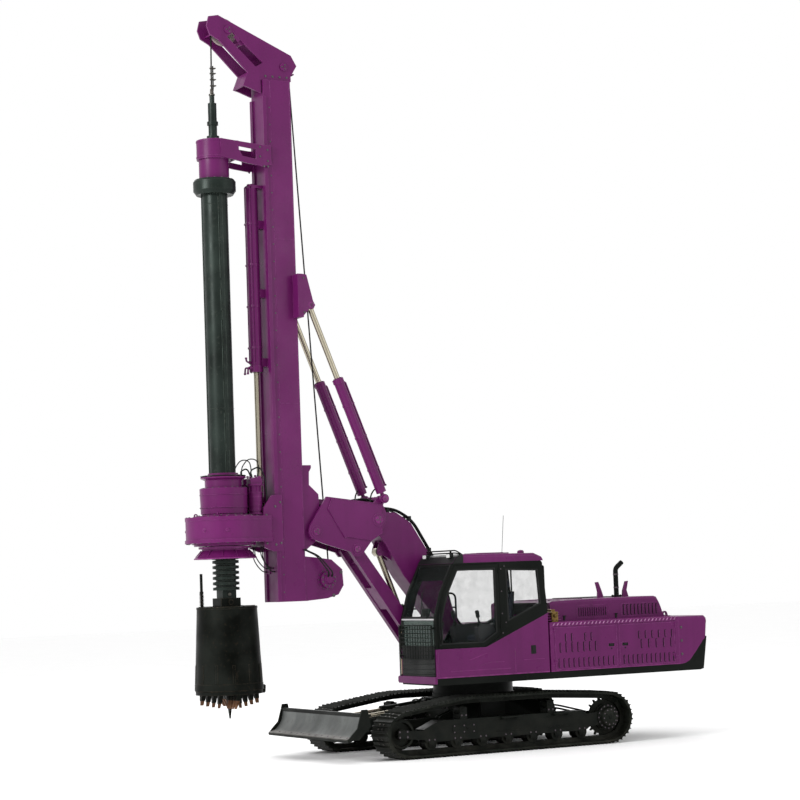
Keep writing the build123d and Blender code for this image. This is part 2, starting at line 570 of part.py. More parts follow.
# ---------------------------------------------------------------- upper structure
def upper_frame():
    """Deck with a turntable plate, side skirts, boom cheeks between cab and tank, and a centre hatch."""
    outline = [(-UPPER_HALF, CAB_FRONT), (-CAB_IN, CAB_FRONT), (-CAB_IN, -960), (CAB_IN, -960),
               (CAB_IN, CAB_FRONT),
               (UPPER_HALF, CAB_FRONT), (UPPER_HALF, COUNTER_FRONT), (-UPPER_HALF, COUNTER_FRONT)]
    deck = plan_plate(outline, (DECK_BOTTOM, SIDE_BOTTOM - SEAT_GAP))
    deck += side_plate(rear_outline(), (-UPPER_HALF, UPPER_HALF))
    pan = (DECK_BOTTOM - 1, DECK_BOTTOM + 60)
    deck -= box((-UPPER_HALF + 30, UPPER_HALF - 30), (SLEW_R + 60, COUNTER_FRONT - 30), pan)
    deck -= box((SLEW_R, UPPER_HALF - 30), (CAB_FRONT + 30, SLEW_R), pan)
    deck -= box((-UPPER_HALF + 30, -SLEW_R), (CAB_FRONT + 30, SLEW_R), pan)
    cheek = [(-960, SIDE_BOTTOM - 50), (-960, LINK_FOOT[1] - 60), (LINK_FOOT[0] - 90, LINK_FOOT[1] + 60),
             (LINK_FOOT[0] - 40, LINK_FOOT[1] + 100), (BOOM_FOOT[0] - 110, BOOM_FOOT[1] + 90),
             (BOOM_FOOT[0] + 60, BOOM_FOOT[1] + 120), (BOOM_FOOT[0] + 150, BOOM_FOOT[1] + 20),
             (HOUSING_FRONT - 40, 1300), (HOUSING_FRONT - 40, SIDE_BOTTOM - 50)]
    for low in (-CHEEK_OUT, CHEEK_IN):
        deck += side_plate(cheek, (low, low + CHEEK_OUT - CHEEK_IN))
    deck += bar_x(*BOOM_FOOT, PIN_R + 15, (-CHEEK_OUT - 6, CHEEK_OUT + 6))
    deck += bar_x(*LINK_FOOT, PIN_R, (-CHEEK_OUT - 6, CHEEK_OUT + 6))
    foot_y, foot_z = BOOM_CYL_FOOT
    ear = [(foot_y + 260, SIDE_BOTTOM - 10), (foot_y + 40, foot_z + 45), (foot_y - 45, foot_z + 45),
           (foot_y - 60, foot_z), (foot_y - 50, DECK_BOTTOM + 40), (foot_y + 260, DECK_BOTTOM + 40)]
    for low in (-102, 78):
        deck += side_plate(ear, (low, low + 24))
    deck += bar_x(foot_y, foot_z, PIN_R, (-104, 104))
    return deck


def rear_outline():
    """Side outline of the machine's tail from the parting line down to its foot, as (y, z) points."""
    return [*TAIL_LINE, TAIL_FOOT, (TAIL_FOOT[0] - 60, DECK_BOTTOM), (COUNTER_FRONT, DECK_BOTTOM)]


def counterweight():
    """Cast counterweight: leaning back, rounded at its top and corners, cut away over the black tail."""
    outline = [(COUNTER_FRONT, SIDE_TOP)] + [(y, z + SEAT_GAP) for y, z in TAIL_LINE]
    outline += [(UPPER_REAR - 8, 1690), (UPPER_REAR, 1730), (UPPER_REAR - 12, 1780),
                (UPPER_REAR - 50, SIDE_TOP)]
    body = side_plate(outline, (-UPPER_HALF, UPPER_HALF))
    corners = [edge for edge in body.edges() if abs(abs(edge.center().X) - UPPER_HALF) < 1
               and edge.center().Z > TAIL_LINE[-1][1] + 1 and edge.center().Y > COUNTER_FRONT + 1]
    body = fillet(corners, 45)
    eye_y, eye_z = UPPER_REAR - 380, SIDE_TOP + 35
    for x in (-LIFT_X, LIFT_X):
        eye = strap([(eye_y, eye_z, 45), (eye_y, SIDE_TOP - 10, 60)], (x - 15, x + 15))
        body += eye - bar_x(eye_y, eye_z, LIFT_BORE, (x - 16, x + 16))
    return body


def right_boxes():
    """Fuel tank, and a lower tool box with a step in front of it, on the right of the boom."""
    low = SIDE_BOTTOM + SEAT_GAP
    tank = box((-UPPER_HALF, -CHEEK_OUT - 60), (-420, HOUSING_FRONT - SEAT_GAP), (low, SIDE_TOP))
    tank = fillet(tank.edges().filter_by(Axis.Y), 40)
    filler = bar_z(-900, 150, 60, (SIDE_TOP - 5, SIDE_TOP + 55))
    tool_box = box((-UPPER_HALF, -CHEEK_OUT - 60), (CAB_FRONT + 20, -420 - SEAT_GAP), (low, 1480))
    tool_box -= box((-UPPER_HALF - 1, -CHEEK_OUT - 59), (CAB_FRONT + 19, CAB_FRONT + 260), (1290, 1481))
    return [tank + filler, tool_box]


def knuckle(y, z, side):
    """A hinge knuckle with its leaf on the left face: side is the leaf's direction along y."""
    barrel = bar_z(KNUCKLE_X, y, KNUCKLE_R, (z, z + 40))
    return barrel + box((UPPER_HALF - 2, UPPER_HALF + 4), sorted((y, y + side * 55)), (z, z + 40))


def fixed_knuckles(y, heights, side):
    """Lower halves of a door's hinges, each with its pin."""
    halves = [knuckle(y, z, side) + bar_z(KNUCKLE_X, y, KNUCKLE_PIN, (z, z + 74)) for z in heights]
    return halves[0] + halves[1]


def moving_knuckles(y, heights, side):
    """Upper halves of a door's hinges, bored for the pins."""
    halves = [knuckle(y, z + 40 + SEAT_GAP, side) for z in heights]
    pins = [bar_z(KNUCKLE_X, y, KNUCKLE_PIN + SEAT_GAP, (z + 39, z + 82)) for z in heights]
    return halves[0] - pins[0] + (halves[1] - pins[1])


def machinery_housing():
    """Walls and top of the engine compartment, open at the side doors and under the hood."""
    z = (SIDE_BOTTOM + SEAT_GAP, SIDE_TOP)
    y = (HOUSING_FRONT, COUNTER_FRONT - SEAT_GAP)
    shell = box((-UPPER_HALF, UPPER_HALF), y, z)
    shell -= box((-UPPER_HALF + PANEL, UPPER_HALF - PANEL), (y[0] + PANEL, y[1] - PANEL),
                 (z[0] - 1, z[1] - PANEL))
    shell -= box((UPPER_HALF - PANEL - 1, UPPER_HALF + 1), (DOOR_FRONT - RUN_GAP, DOOR_REAR + RUN_GAP),
                 (z[0] - 1, z[1] - 60))
    under_hood = (HOOD_FRONT + 60, COUNTER_FRONT - 120)
    shell -= box((-HOOD_HALF + 50, HOOD_HALF - 50), under_hood, (z[1] - PANEL - 1, z[1] + 1))
    post_x = (UPPER_HALF - 90, UPPER_HALF - PANEL - RUN_GAP)
    post = box(post_x, (DOOR_SPLIT - 25, DOOR_SPLIT + 25), (z[0], z[1] - PANEL))
    shell += fixed_knuckles(DOOR_FRONT, DOOR_KNUCKLES, -1) + fixed_knuckles(DOOR_REAR, DOOR_KNUCKLES, 1)
    return shell + post


def side_door(front, rear):
    """A flat housing door on the left, with a pressed border."""
    x = (UPPER_HALF - PANEL, UPPER_HALF)
    door = box(x, (front, rear), (SIDE_BOTTOM + 12, SIDE_TOP - 66))
    door -= box((x[0] - 1, x[0] + PANEL - 12), (front + 40, rear - 40), (SIDE_BOTTOM + 52, SIDE_TOP - 106))
    handle_y = rear - 120 if rear < DOOR_SPLIT + 1 else front + 120
    door -= box((x[1] - 10, x[1] + 1), (handle_y - 55, handle_y + 55), (1420, 1470))
    if rear < DOOR_SPLIT + 1:
        return door + moving_knuckles(front, DOOR_KNUCKLES, 1)
    return door + moving_knuckles(rear, DOOR_KNUCKLES, -1)


def engine_hood():
    """Raised lid over the engine: hollow, leaning back, with rounded edges and two grab rails."""
    outline = [(HOOD_FRONT, SIDE_TOP + SEAT_GAP), (HOOD_FRONT, HOOD_TOP - 40),
               (HOOD_FRONT + 60, HOOD_TOP - 15),
               (HOOD_FRONT + 900, HOOD_TOP), (HOOD_REAR - 155, HOOD_TOP), (HOOD_REAR - 112, HOOD_TOP - 14),
               (HOOD_REAR - 90, HOOD_TOP - 50), (HOOD_REAR, SIDE_TOP + SEAT_GAP)]
    outer = side_plate(outline, (-HOOD_HALF, HOOD_HALF))
    long_edges = [edge for edge in outer.edges()
                  if abs(edge.center().X) > HOOD_HALF - 1 and edge.center().Z > HOOD_TOP - 60]
    outer = fillet(long_edges, 40)
    inner = [(y + (PANEL if y < HOOD_FRONT + 200 else -PANEL), z - PANEL) for y, z in outline]
    inner[0] = (HOOD_FRONT + PANEL, SIDE_TOP - 10)
    inner[-1] = (HOOD_REAR - PANEL, SIDE_TOP - 10)
    lid = outer - side_plate(inner, (-HOOD_HALF + PANEL, HOOD_HALF - PANEL))
    lid -= bar_z(*EXHAUST_AT, 38 + SEAT_GAP, (HOOD_TOP - 200, HOOD_TOP + 10))
    for y, lean in HOOD_HORNS:
        horn = [(y - 45, HOOD_TOP - 20), (y - 35, HOOD_TOP + 90), (y - 25 + lean, HOOD_TOP + 235),
                (y + 25 + lean, HOOD_TOP + 240), (y + 35, HOOD_TOP + 100), (y + 75, HOOD_TOP - 20)]
        lid += side_plate(horn, (HORN_X - 15, HORN_X + 15))
    return lid


def exhaust_pipe():
    """Tail pipe on the hood: vertical, flanged, with a cut-off rearward bend."""
    x, y = EXHAUST_AT
    path = FilletPolyline((x, y, SIDE_TOP + 80), (x, y, 2570), (x, y + 120, 2665), radius=90)
    outer = sweep(Plane(origin=path @ 0, z_dir=path % 0) * Circle(38), path=path)
    inner = sweep(Plane(origin=path @ 0, z_dir=path % 0) * Circle(32), path=path)
    flange = tube_z(x, y, 80, 35, (HOOD_TOP + SEAT_GAP, HOOD_TOP + 30))
    return outer - inner + flange


def engine_block():
    """Engine and silencer as plain blocks on mounts, under the hood."""
    block = box((-560, 640), (1500, 2200), (SIDE_BOTTOM + 60, 1740))
    block += box((-500, -460), (1560, 2140), (SIDE_BOTTOM + SEAT_GAP - 0.3, SIDE_BOTTOM + 60))
    block += box((540, 580), (1560, 2140), (SIDE_BOTTOM + SEAT_GAP - 0.3, SIDE_BOTTOM + 60))
    silencer = bar_x(EXHAUST_AT[1], SILENCER_Z, SILENCER_R, (-200, EXHAUST_AT[0] + 100))
    outlet = bar_z(*EXHAUST_AT, 30, (SILENCER_Z, SIDE_TOP + 70))
    return block + box((60, 140), (2190, EXHAUST_AT[1]), (1330, 1470)) + silencer + outlet


# ---------------------------------------------------------------- cab
def cab_outline(shrink=0.0):
    """Side outline of the cab above its floor, moved inwards by shrink."""
    s = shrink
    return [(CAB_FRONT + s, CAB_FLOOR + s), (CAB_FRONT + s, 1930), (-1219 + s, 2300),
            (-1000 + s, 2735 - s * 0.3),
            (-860 + s * 0.5, 2790 - s), (430 - s * 0.5, 2770 - s), (500 - s, 2700 - s * 0.5),
            (CAB_REAR - s, 2010),
            (CAB_REAR - s, CAB_FLOOR + s)]


def cab_shell():
    """Hollow cab body, before it is parted into its purple base and dark frame."""
    outer = side_plate(cab_outline(), (CAB_IN, CAB_OUT))
    return outer - side_plate(cab_outline(CAB_WALL), (CAB_IN + CAB_WALL, CAB_OUT - CAB_WALL))


BASE_LINE = [(CAB_FRONT - 10, CAB_FLOOR - 10), (CAB_FRONT - 10, SILL), (-500, SILL), (CAB_REAR + 10, 1960),
             (CAB_REAR + 10, CAB_FLOOR - 10)]
DOOR_OUTLINE = [(-1290, SILL + 8), (-1290, 1935), (-1185, 2300), (-985, 2690), (PILLAR_B - 45, 2700),
                (PILLAR_B - 45, 1680), (-520, SILL + 8)]


def inset(points, distance):
    """A polygon of (y, z) points moved inwards by a distance."""
    area = sum(a[0] * b[1] - b[0] * a[1] for a, b in zip(points, points[1:] + points[:1]))
    turn = 1 if area > 0 else -1
    result = []
    for before, here, after in zip(points[-1:] + points[:-1], points, points[1:] + points[:1]):
        heading_in = math.atan2(here[1] - before[1], here[0] - before[0])
        heading_out = math.atan2(after[1] - here[1], after[0] - here[0])
        middle = (heading_in + heading_out) / 2
        if abs(heading_in - heading_out) > math.pi:
            middle += math.pi
        reach = distance / math.cos((heading_out - heading_in) / 2) * turn
        if abs(heading_in - heading_out) > math.pi:
            reach = -reach
        result.append((here[0] - math.sin(middle) * reach, here[1] + math.cos(middle) * reach))
    return result


REAR_WINDOW = [(-120, 2610), (405, 2590), (440, 2110), (-110, 1880)]
INNER_WINDOW = [(-1150, 1600), (-1150, 2000), (-1060, 2300), (-880, 2640), (400, 2620), (430, 1970),
                (-420, 1600)]


def cab_base():
    """Purple lower part of the cab: floor, front bumper roll and side skirts up to the sill."""
    base = cab_shell() & side_plate(BASE_LINE, (CAB_IN - 10, CAB_OUT + 10))
    front_wall = (CAB_FRONT - 10, CAB_FRONT + CAB_WALL + 10)
    base -= box((CAB_IN + 90, CAB_OUT - 90), front_wall, (CAB_FLOOR + 150, SILL + 10))
    bumper = box((CAB_IN - 45, CAB_OUT), (CAB_FRONT - 40, CAB_FRONT + 15), (DECK_BOTTOM + 25, CAB_FLOOR + 25))
    bumper -= box((CAB_IN - 46, CAB_OUT + 1), (CAB_FRONT, CAB_FRONT + 16),
                  (DECK_BOTTOM, CAB_FLOOR - SEAT_GAP))
    return base + bumper


def cab_frame():
    """Dark upper frame of the cab: pillars, rails, rear wall, with every window and the doorway cut."""
    frame = cab_shell() - side_plate(BASE_LINE, (CAB_IN - 10, CAB_OUT + 10))
    frame -= side_plate([(-1010, 2725), (-1010, 2900), (520, 2900), (520, 2725)], (CAB_IN - 10, CAB_OUT + 10))
    frame -= side_plate(inset(DOOR_OUTLINE, -RUN_GAP), (CAB_OUT - CAB_WALL - 1, CAB_OUT + 1))
    frame -= side_plate(REAR_WINDOW, (CAB_OUT - CAB_WALL - 1, CAB_OUT + 1))
    frame -= side_plate(INNER_WINDOW, (CAB_IN - 1, CAB_IN + CAB_WALL + 1))
    x = (CAB_IN + 60, CAB_OUT - 60)
    frame -= box(x, (CAB_FRONT - 10, -1000), (1560, 1925))
    frame -= side_plate([(CAB_FRONT - 50, 1975), (-1130, 2320), (-1010, 2700), (-1100, 2760), (-1400, 2500)],
                        x)
    frame -= side_plate([(CAB_FRONT - 20, 1975), (-1180, 1975), (-1180, 2350), (-1400, 2350)], x)
    frame -= box(x, (430, 700), (2100, 2640))
    return frame + fixed_knuckles(CAB_HINGE_Y, CAB_KNUCKLES, 1)


def cab_roof():
    """Roof cap with rounded edges, seated on the frame's top rails."""
    outline = [(-1010, 2725), (-940, 2815), (-830, 2850), (380, 2840), (500, 2790), (520, 2725)]
    roof = side_plate(outline, (CAB_IN + 5, CAB_OUT - 5))
    sides = [edge for edge in roof.edges() if abs(edge.center().X - (CAB_IN + CAB_OUT) / 2) > 500
             and edge.center().Z > 2770 and abs(edge.center().Y) < 800]
    roof = fillet(sides, 45)
    hollow = [(-940, 2720), (-880, 2780), (-810, 2810), (370, 2800), (450, 2770), (460, 2720)]
    return Pos(0, 0, SEAT_GAP) * (roof - side_plate(hollow, (CAB_IN + 50, CAB_OUT - 50)))


def cab_door():
    """Door frame with its big window cut, a waist rail and hinge barrels at its rear edge."""
    x = (CAB_OUT - CAB_WALL + 5, CAB_OUT)
    opening = inset(DOOR_OUTLINE, 70)
    door = side_plate(DOOR_OUTLINE, x) - side_plate(opening, (x[0] - 1, x[1] + 1))
    door -= box((x[1] - 12, x[1] + 1), (-1270, -1235), (1620, 1800))
    return door + moving_knuckles(CAB_HINGE_Y, CAB_KNUCKLES, -1)


def door_glass():
    """Pane seated in the door's inner rebate."""
    middle = CAB_OUT - CAB_WALL / 2
    return side_plate(inset(DOOR_OUTLINE, 70 + SEAT_GAP), (middle - 3, middle + 3))


def cab_glass():
    """Windscreen, lower front pane, rear quarter pane, inner side pane and rear pane."""
    x = (CAB_IN + 60 + SEAT_GAP, CAB_OUT - 60 - SEAT_GAP)
    upper = side_plate([(CAB_FRONT + 14, 1976), (-1208, 2298), (-1022, 2690), (-1014, 2688), (-1200, 2296),
                        (CAB_FRONT + 22, 1976)], x)
    lower = box(x, (CAB_FRONT + 15, CAB_FRONT + 21), (1560 + SEAT_GAP, 1925 - SEAT_GAP))
    outer = CAB_OUT - CAB_WALL / 2
    quarter = side_plate(inset(REAR_WINDOW, SEAT_GAP), (outer - 3, outer + 3))
    inner = CAB_IN + CAB_WALL / 2
    side = side_plate(inset(INNER_WINDOW, SEAT_GAP), (inner - 3, inner + 3))
    rear = box(x, (CAB_REAR - 45, CAB_REAR - 39), (2100 + SEAT_GAP, 2600))
    return [upper, lower, quarter, side, rear]


def operator_seat():
    """Cushion, back and headrest on a suspension box."""
    x = (CAB_IN + CAB_OUT) / 2
    seat = box((x - 250, x + 250), (-420, 60), (1560, 1680))
    seat = fillet(seat.edges().filter_by(Axis.X), 40)
    back = side_plate([(20, 1640), (110, 2300), (190, 2290), (130, 1640)], (x - 240, x + 240))
    head = side_plate([(105, 2330), (115, 2480), (185, 2470), (180, 2330)], (x - 130, x + 130))
    post = box((x - 60, x + 60), (135, 155), (2270, 2350))
    base = box((x - 180, x + 180), (-360, 40), (CAB_FLOOR + CAB_WALL + SEAT_GAP, 1570))
    return seat + back + head + post + base


def control_consoles():
    """Two armrest consoles with joystick levers, and two travel levers with pedals on the floor."""
    x = (CAB_IN + CAB_OUT) / 2
    floor = CAB_FLOOR + CAB_WALL + SEAT_GAP
    parts = []
    for side in (-1, 1):
        low = x + side * 350 - 60
        console = side_plate([(-560, 1790), (-560, 1700), (-420, floor), (-60, floor), (40, 1760), (40, 1800),
                              (-480, 1840)], (low, low + 120))
        parts.append(console + rod((low + 60, -500, 1800), (low + 60, -530, 1960), 14)
                     + rod((low + 60, -528, 1940), (low + 60, -545, 2030), 26))
        lever_x = x + side * 70
        block = box((lever_x - 30, lever_x + 30), (-1040, -950), (floor, floor + 30))
        travel = rod((lever_x, -1000, floor + 15), (lever_x, -960, 1860), 12)
        pedal = Pos(lever_x, -1010, floor + 65) * Rot(25, 0, 0) * Box(90, 200, 16)
        parts.append(block + travel + pedal + bar_z(lever_x, -1005, 14, (floor + 20, floor + 66)))
    return parts


# ---------------------------------------------------------------- boom, link, support and cylinders
def boom():
    """Bent box boom with side doublers at its ends and lift-cylinder lugs under its knee."""
    foot_y, foot_z = BOOM_FOOT
    head_y, head_z = BOOM_HEAD
    outline = [(foot_y + 120, foot_z + 60), (-560, 2450), (-749, 2850), (-1066, 3345), (-1300, 3500),
               (head_y + 40, head_z + 118), (head_y - 90, head_z + 90), (head_y - 125, head_z),
               (head_y - 90, head_z - 95), (-1530, 3090), (-1205, 2562), (foot_y - 130, foot_z + 40)]
    body = side_plate(outline, (-BOOM_HALF, BOOM_HALF)) + bar_x(foot_y, foot_z, 135, (-BOOM_HALF, BOOM_HALF))
    inner = inset(outline, 16)
    body -= side_plate(inner, (-BOOM_HALF + 16, BOOM_HALF - 16))
    for y, z, r in ((foot_y, foot_z, 115), (head_y, head_z, 105)):
        body += bar_x(y, z, r, (-BOOM_HALF - 6, BOOM_HALF + 6))
    body -= bar_x(foot_y, foot_z, PIN_R + 15 + SEAT_GAP, (-CHEEK_OUT, CHEEK_OUT))
    body -= bar_x(head_y, head_z, PIN_R + 15 + SEAT_GAP, (-CHEEK_OUT, CHEEK_OUT))
    eye_y, eye_z = BOOM_CYL_EYE
    lug = [(eye_y - 60, eye_z - 10), (eye_y - 48, eye_z + 45), (-1530, 3120), (-1420, 3060), (-1340, 2790),
           (eye_y + 45, eye_z - 50), (eye_y - 20, eye_z - 62)]
    for low in (-85, 60):
        body += side_plate(lug, (low, low + 25))
    return body + bar_x(eye_y, eye_z, BOOM_EYE_PIN, (-90, 90))


def lower_link():
    """H-shaped link: two tapered bars joined by a plate and a tube, pinned at the deck and at the support."""
    bars = []
    for low, high in ((LINK_IN, LINK_OUT), (-LINK_OUT, -LINK_IN)):
        bars.append(strap([(*LINK_FOOT, 80), (*along(LINK_FOOT, LINK_HEAD, 500), 105)], (low, high))
                    + strap([(*along(LINK_FOOT, LINK_HEAD, 500), 105), (*LINK_HEAD, 88)], (low, high)))
    length = math.dist(LINK_FOOT, LINK_HEAD)
    low_y, low_z = along(LINK_FOOT, LINK_HEAD, 0.52 * length)
    high_y, high_z = along(LINK_FOOT, LINK_HEAD, 0.70 * length)
    down_y, down_z = (LINK_HEAD[1] - LINK_FOOT[1]) / length, -(LINK_HEAD[0] - LINK_FOOT[0]) / length
    plate = side_plate([(low_y - down_y * 88, low_z - down_z * 88),
                        (low_y - down_y * 30, low_z - down_z * 30),
                        (high_y - down_y * 30, high_z - down_z * 30),
                        (high_y - down_y * 88, high_z - down_z * 88)],
                       (-LINK_IN, LINK_IN))
    top_y, top_z = along(LINK_FOOT, LINK_HEAD, 0.9 * length)
    body = bars[0] + bars[1] + plate + bar_x(top_y, top_z, 45, (-LINK_IN, LINK_IN))
    body -= bar_x(*LINK_FOOT, PIN_R + SEAT_GAP, (-LINK_OUT - 1, LINK_OUT + 1))
    return body - bar_x(*LINK_HEAD, PIN_R + SEAT_GAP, (-LINK_OUT - 1, LINK_OUT + 1))


SUPPORT_PLATE = [(-2470, 3750), (-1560, 3632), (-1510, 3520), (-1512, 3380), (-1560, 3270), (-1760, 3095),
                 (-1905, 2920), (-1960, 2880), (-2060, 2880), (-2110, 2945), (-2540, 3075), (-2730, 3150),
                 (-2770, 3240), (-2745, 3340)]
DOUBLER = [(-2395, 3725), (-1578, 3616), (-1590, 3203), (-1765, 3100), (-2150, 3160), (-2200, 3150),
           (-2460, 3572)]


def mast_support():
    """Frame that carries the mast: two doubled side plates, cross tubes and ears for the mast cylinders."""
    body = None
    for side in (-1, 1):
        x = sorted((side * SUPPORT_IN, side * SUPPORT_OUT))
        plate = side_plate(SUPPORT_PLATE, x)
        plate += side_plate(DOUBLER, sorted((side * SUPPORT_OUT, side * (SUPPORT_OUT + 14))))
        body = plate if body is None else body + plate
        ear = [(MAST_CYL_FOOT[0] - 150, 3640), (MAST_CYL_FOOT[0] - 55, MAST_CYL_FOOT[1] + 45),
               (MAST_CYL_FOOT[0] + 40, MAST_CYL_FOOT[1] + 45), (MAST_CYL_FOOT[0] + 58, MAST_CYL_FOOT[1]),
               (-1560, 3600)]
        body += side_plate(ear, x)
    reach = MAST_CYL_X + 50
    body += bar_x(*MAST_CYL_FOOT, PIN_R, (-reach, reach))
    body += bar_x(*BOOM_HEAD, PIN_R + 15, (-SUPPORT_OUT - 22, SUPPORT_OUT + 22))
    body += bar_x(*LINK_HEAD, PIN_R, (-SUPPORT_OUT - 12, SUPPORT_OUT + 12))
    body += bar_x(*MAST_PIVOT, PIN_R + 10, (-SUPPORT_OUT - 12, SUPPORT_OUT + 12))
    brace = [(-2130, 3560), (-1900, 3540), (-1900, 3515), (-2130, 3535)]
    body += side_plate(brace, (-SUPPORT_IN, SUPPORT_IN))
    body += bar_x(-2130, 3230, 50, (-SUPPORT_IN, SUPPORT_IN))
    return body


def mast_cylinder_barrels():
    """Both mast cylinder barrels, each with a parallel oil pipe."""
    barrels = []
    for side in (-1, 1):
        x = side * MAST_CYL_X
        barrel = cylinder_barrel(x, MAST_CYL_FOOT, MAST_CYL_EYE, MAST_BARREL, MAST_BARREL_R, 70, PIN_R,
                                 MAST_ROD_R)
        low, high = along(MAST_CYL_FOOT, MAST_CYL_EYE, 180), along(MAST_CYL_FOOT, MAST_CYL_EYE,
                                                                   MAST_BARREL - 90)
        reach = 92
        pipe = rod((x, low[0] + reach, low[1] + 36), (x, high[0] + reach, high[1] + 36), 14)
        for point in (low, high):
            pipe += rod((x, point[0], point[1]), (x, point[0] + reach, point[1] + 36), 16)
        bore = rod((x, *along(MAST_CYL_FOOT, MAST_CYL_EYE, 0.3 * MAST_BARREL)),
                   (x, *along(MAST_CYL_FOOT, MAST_CYL_EYE, MAST_BARREL + 5)), MAST_BARREL_R - BARREL_WALL)
        barrels.append(barrel + (pipe - bore))
    return barrels


def mast_cylinder_rods():
    """Both mast cylinder rods with their eyes."""
    rods = []
    for x in (-MAST_CYL_X, MAST_CYL_X):
        rods.append(cylinder_rod(x, MAST_CYL_FOOT, MAST_CYL_EYE, 900, MAST_ROD_R, 64, MAST_EYE_BORE,
                                 MAST_BARREL_R))
    return rods


def boom_cylinder_barrel():
    return cylinder_barrel(0, BOOM_CYL_FOOT, BOOM_CYL_EYE, BOOM_BARREL, BOOM_BARREL_R, 144, PIN_R, BOOM_ROD_R)


def boom_cylinder_rod():
    return cylinder_rod(0, BOOM_CYL_FOOT, BOOM_CYL_EYE, 620, BOOM_ROD_R, 108, BOOM_EYE_BORE, BOOM_BARREL_R)


def blade_cylinder_barrels():
    return [cylinder_barrel(x, BLADE_CYL_FOOT, BLADE_CYL_EYE, BLADE_BARREL, BLADE_BARREL_R, 64, 24,
                            BLADE_ROD_R)
            for x in (-BLADE_CYL_X, BLADE_CYL_X)]


def blade_cylinder_rods():
    """Both blade cylinder rods, each with its eye and a pin that ends short of the blade's ears."""
    rods = []
    for x in (-BLADE_CYL_X, BLADE_CYL_X):
        rods.append(cylinder_rod(x, BLADE_CYL_FOOT, BLADE_CYL_EYE, 450, BLADE_ROD_R, 64, BLADE_EYE_BORE,
                                 BLADE_BARREL_R))
    return rods


# ---------------------------------------------------------------- mast
def mast():
    """Hollow mast box with guide rails, a rear bracket for the cylinders, and gussets at the support."""
    shell = box((-MAST_HALF, MAST_HALF), (MAST_FRONT, MAST_REAR), (MAST_BOTTOM, MAST_TOP))
    shell -= box((-MAST_HALF + MAST_WALL, MAST_HALF - MAST_WALL),
                 (MAST_FRONT + MAST_WALL, MAST_REAR - MAST_WALL),
                 (MAST_BOTTOM + MAST_WALL, MAST_TOP - MAST_WALL))
    for side in (-1, 1):
        x = sorted((side * (MAST_HALF - 60), side * RAIL_OUT))
        shell += box(x, (MAST_FRONT - 22, MAST_FRONT), (MAST_BOTTOM, MAST_TOP - 250))
        shell += box(sorted((side * MAST_HALF, side * RAIL_OUT)), (MAST_FRONT, MAST_FRONT + 30),
                     (MAST_BOTTOM, MAST_TOP - 250))
        gusset = [(MAST_REAR - 1, 4210), (-2665, 4210), (-2665, 4170), (-2700, 4110), (-2705, 3925),
                  (-2560, 3790),
                  (MAST_PIVOT[0] + 115, MAST_PIVOT[1] + 90), (MAST_PIVOT[0] + 125, MAST_PIVOT[1] - 30),
                  (MAST_PIVOT[0] + 60, MAST_PIVOT[1] - 110), (MAST_REAR - 1, 2960)]
        shell += side_plate(gusset, sorted((side * 130, side * 170)))
        eye_y, eye_z = MAST_CYL_EYE
        ear = [(MAST_REAR - 1, 6960), (-2740, 6950), (eye_y + 30, eye_z + 60), (eye_y + 62, eye_z),
               (eye_y + 30, eye_z - 55), (eye_y - 30, eye_z - 55), (MAST_REAR - 1, 6330)]
        for low in (MAST_CYL_X - 78, MAST_CYL_X + 48):
            shell += side_plate(ear, sorted((side * low, side * (low + 30))))
        shell += bar_x(eye_y, eye_z, MAST_EYE_PIN, sorted((side * (MAST_CYL_X - 84),
                                                           side * (MAST_CYL_X + 84))))
    bracket = box((-MAST_CYL_X - 78, MAST_CYL_X + 78), (MAST_REAR - 60, MAST_REAR + 22), (6330, 6960))
    shell += bracket - box((-MAST_HALF, MAST_HALF), (MAST_REAR - 61, MAST_REAR), (6320, 6970))
    shell -= bar_x(*MAST_PIVOT, PIN_R + 10 + SEAT_GAP, (-200, 200))
    for z in (3980, 4170):
        shell += box((-170, 170), (MAST_REAR - 1, -2706), (z - 12, z + 12))
    return shell


def mast_head():
    """Cathead: two side plates with a long slot, cross plates and a seat on the mast's top."""
    top = MAST_TOP
    plate = [(MAST_REAR + 30, top + 80), (-2693, top + 240), (-2780, top + 390), (-3925, top + 890),
             (-4070, top + 860),
             (-4105, top + 720), (-4060, top + 600), (-3927, top + 530), (-3480, top + 90),
             (-3560, top - 110),
             (-3480, top - 130), (MAST_FRONT - 26, top - 200), (MAST_FRONT - 26, top + SEAT_GAP),
             (MAST_REAR + 30, top + SEAT_GAP)]
    slot = [(-3790, top + 585), (-3350, top + 180), (-3230, top + 250), (-3700, top + 660)]
    head = None
    for side in (-1, 1):
        x = sorted((side * 150, side * 180))
        cheek = side_plate(plate, x) - side_plate(slot, (x[0] - 1, x[1] + 1))
        head = cheek if head is None else head + cheek
    head += box((-150, 150), (MAST_FRONT, MAST_REAR), (top + SEAT_GAP, top + 30))
    chute = [(-3480, top + 90), (-3560, top - 110), (-3540, top - 118), (-3460, top + 83)]
    head += side_plate(chute, (-150, 150))
    for y, z in (SHEAVE_FRONT, SHEAVE_REAR):
        head += bar_x(y, z, SHEAVE_PIN, (-190, 190))
    return head + bar_x(-3150, top + 440, 40, (-150, 150)) + bar_x(-3560, top + 520, 40, (-150, 150))


def sheave(y, z, r):
    """Grooved rope sheave on a hub."""
    bore = SHEAVE_PIN + SEAT_GAP
    profile = [(bore, -60), (70, -60), (70, -14), (r - 40, -14), (r - 34, -24), (r, -24), (r - 22, -6),
               (r - 22, 6),
               (r, 24), (r - 34, 24), (r - 40, 14), (70, 14), (70, 60), (bore, 60)]
    return turned_x(profile, y, z)


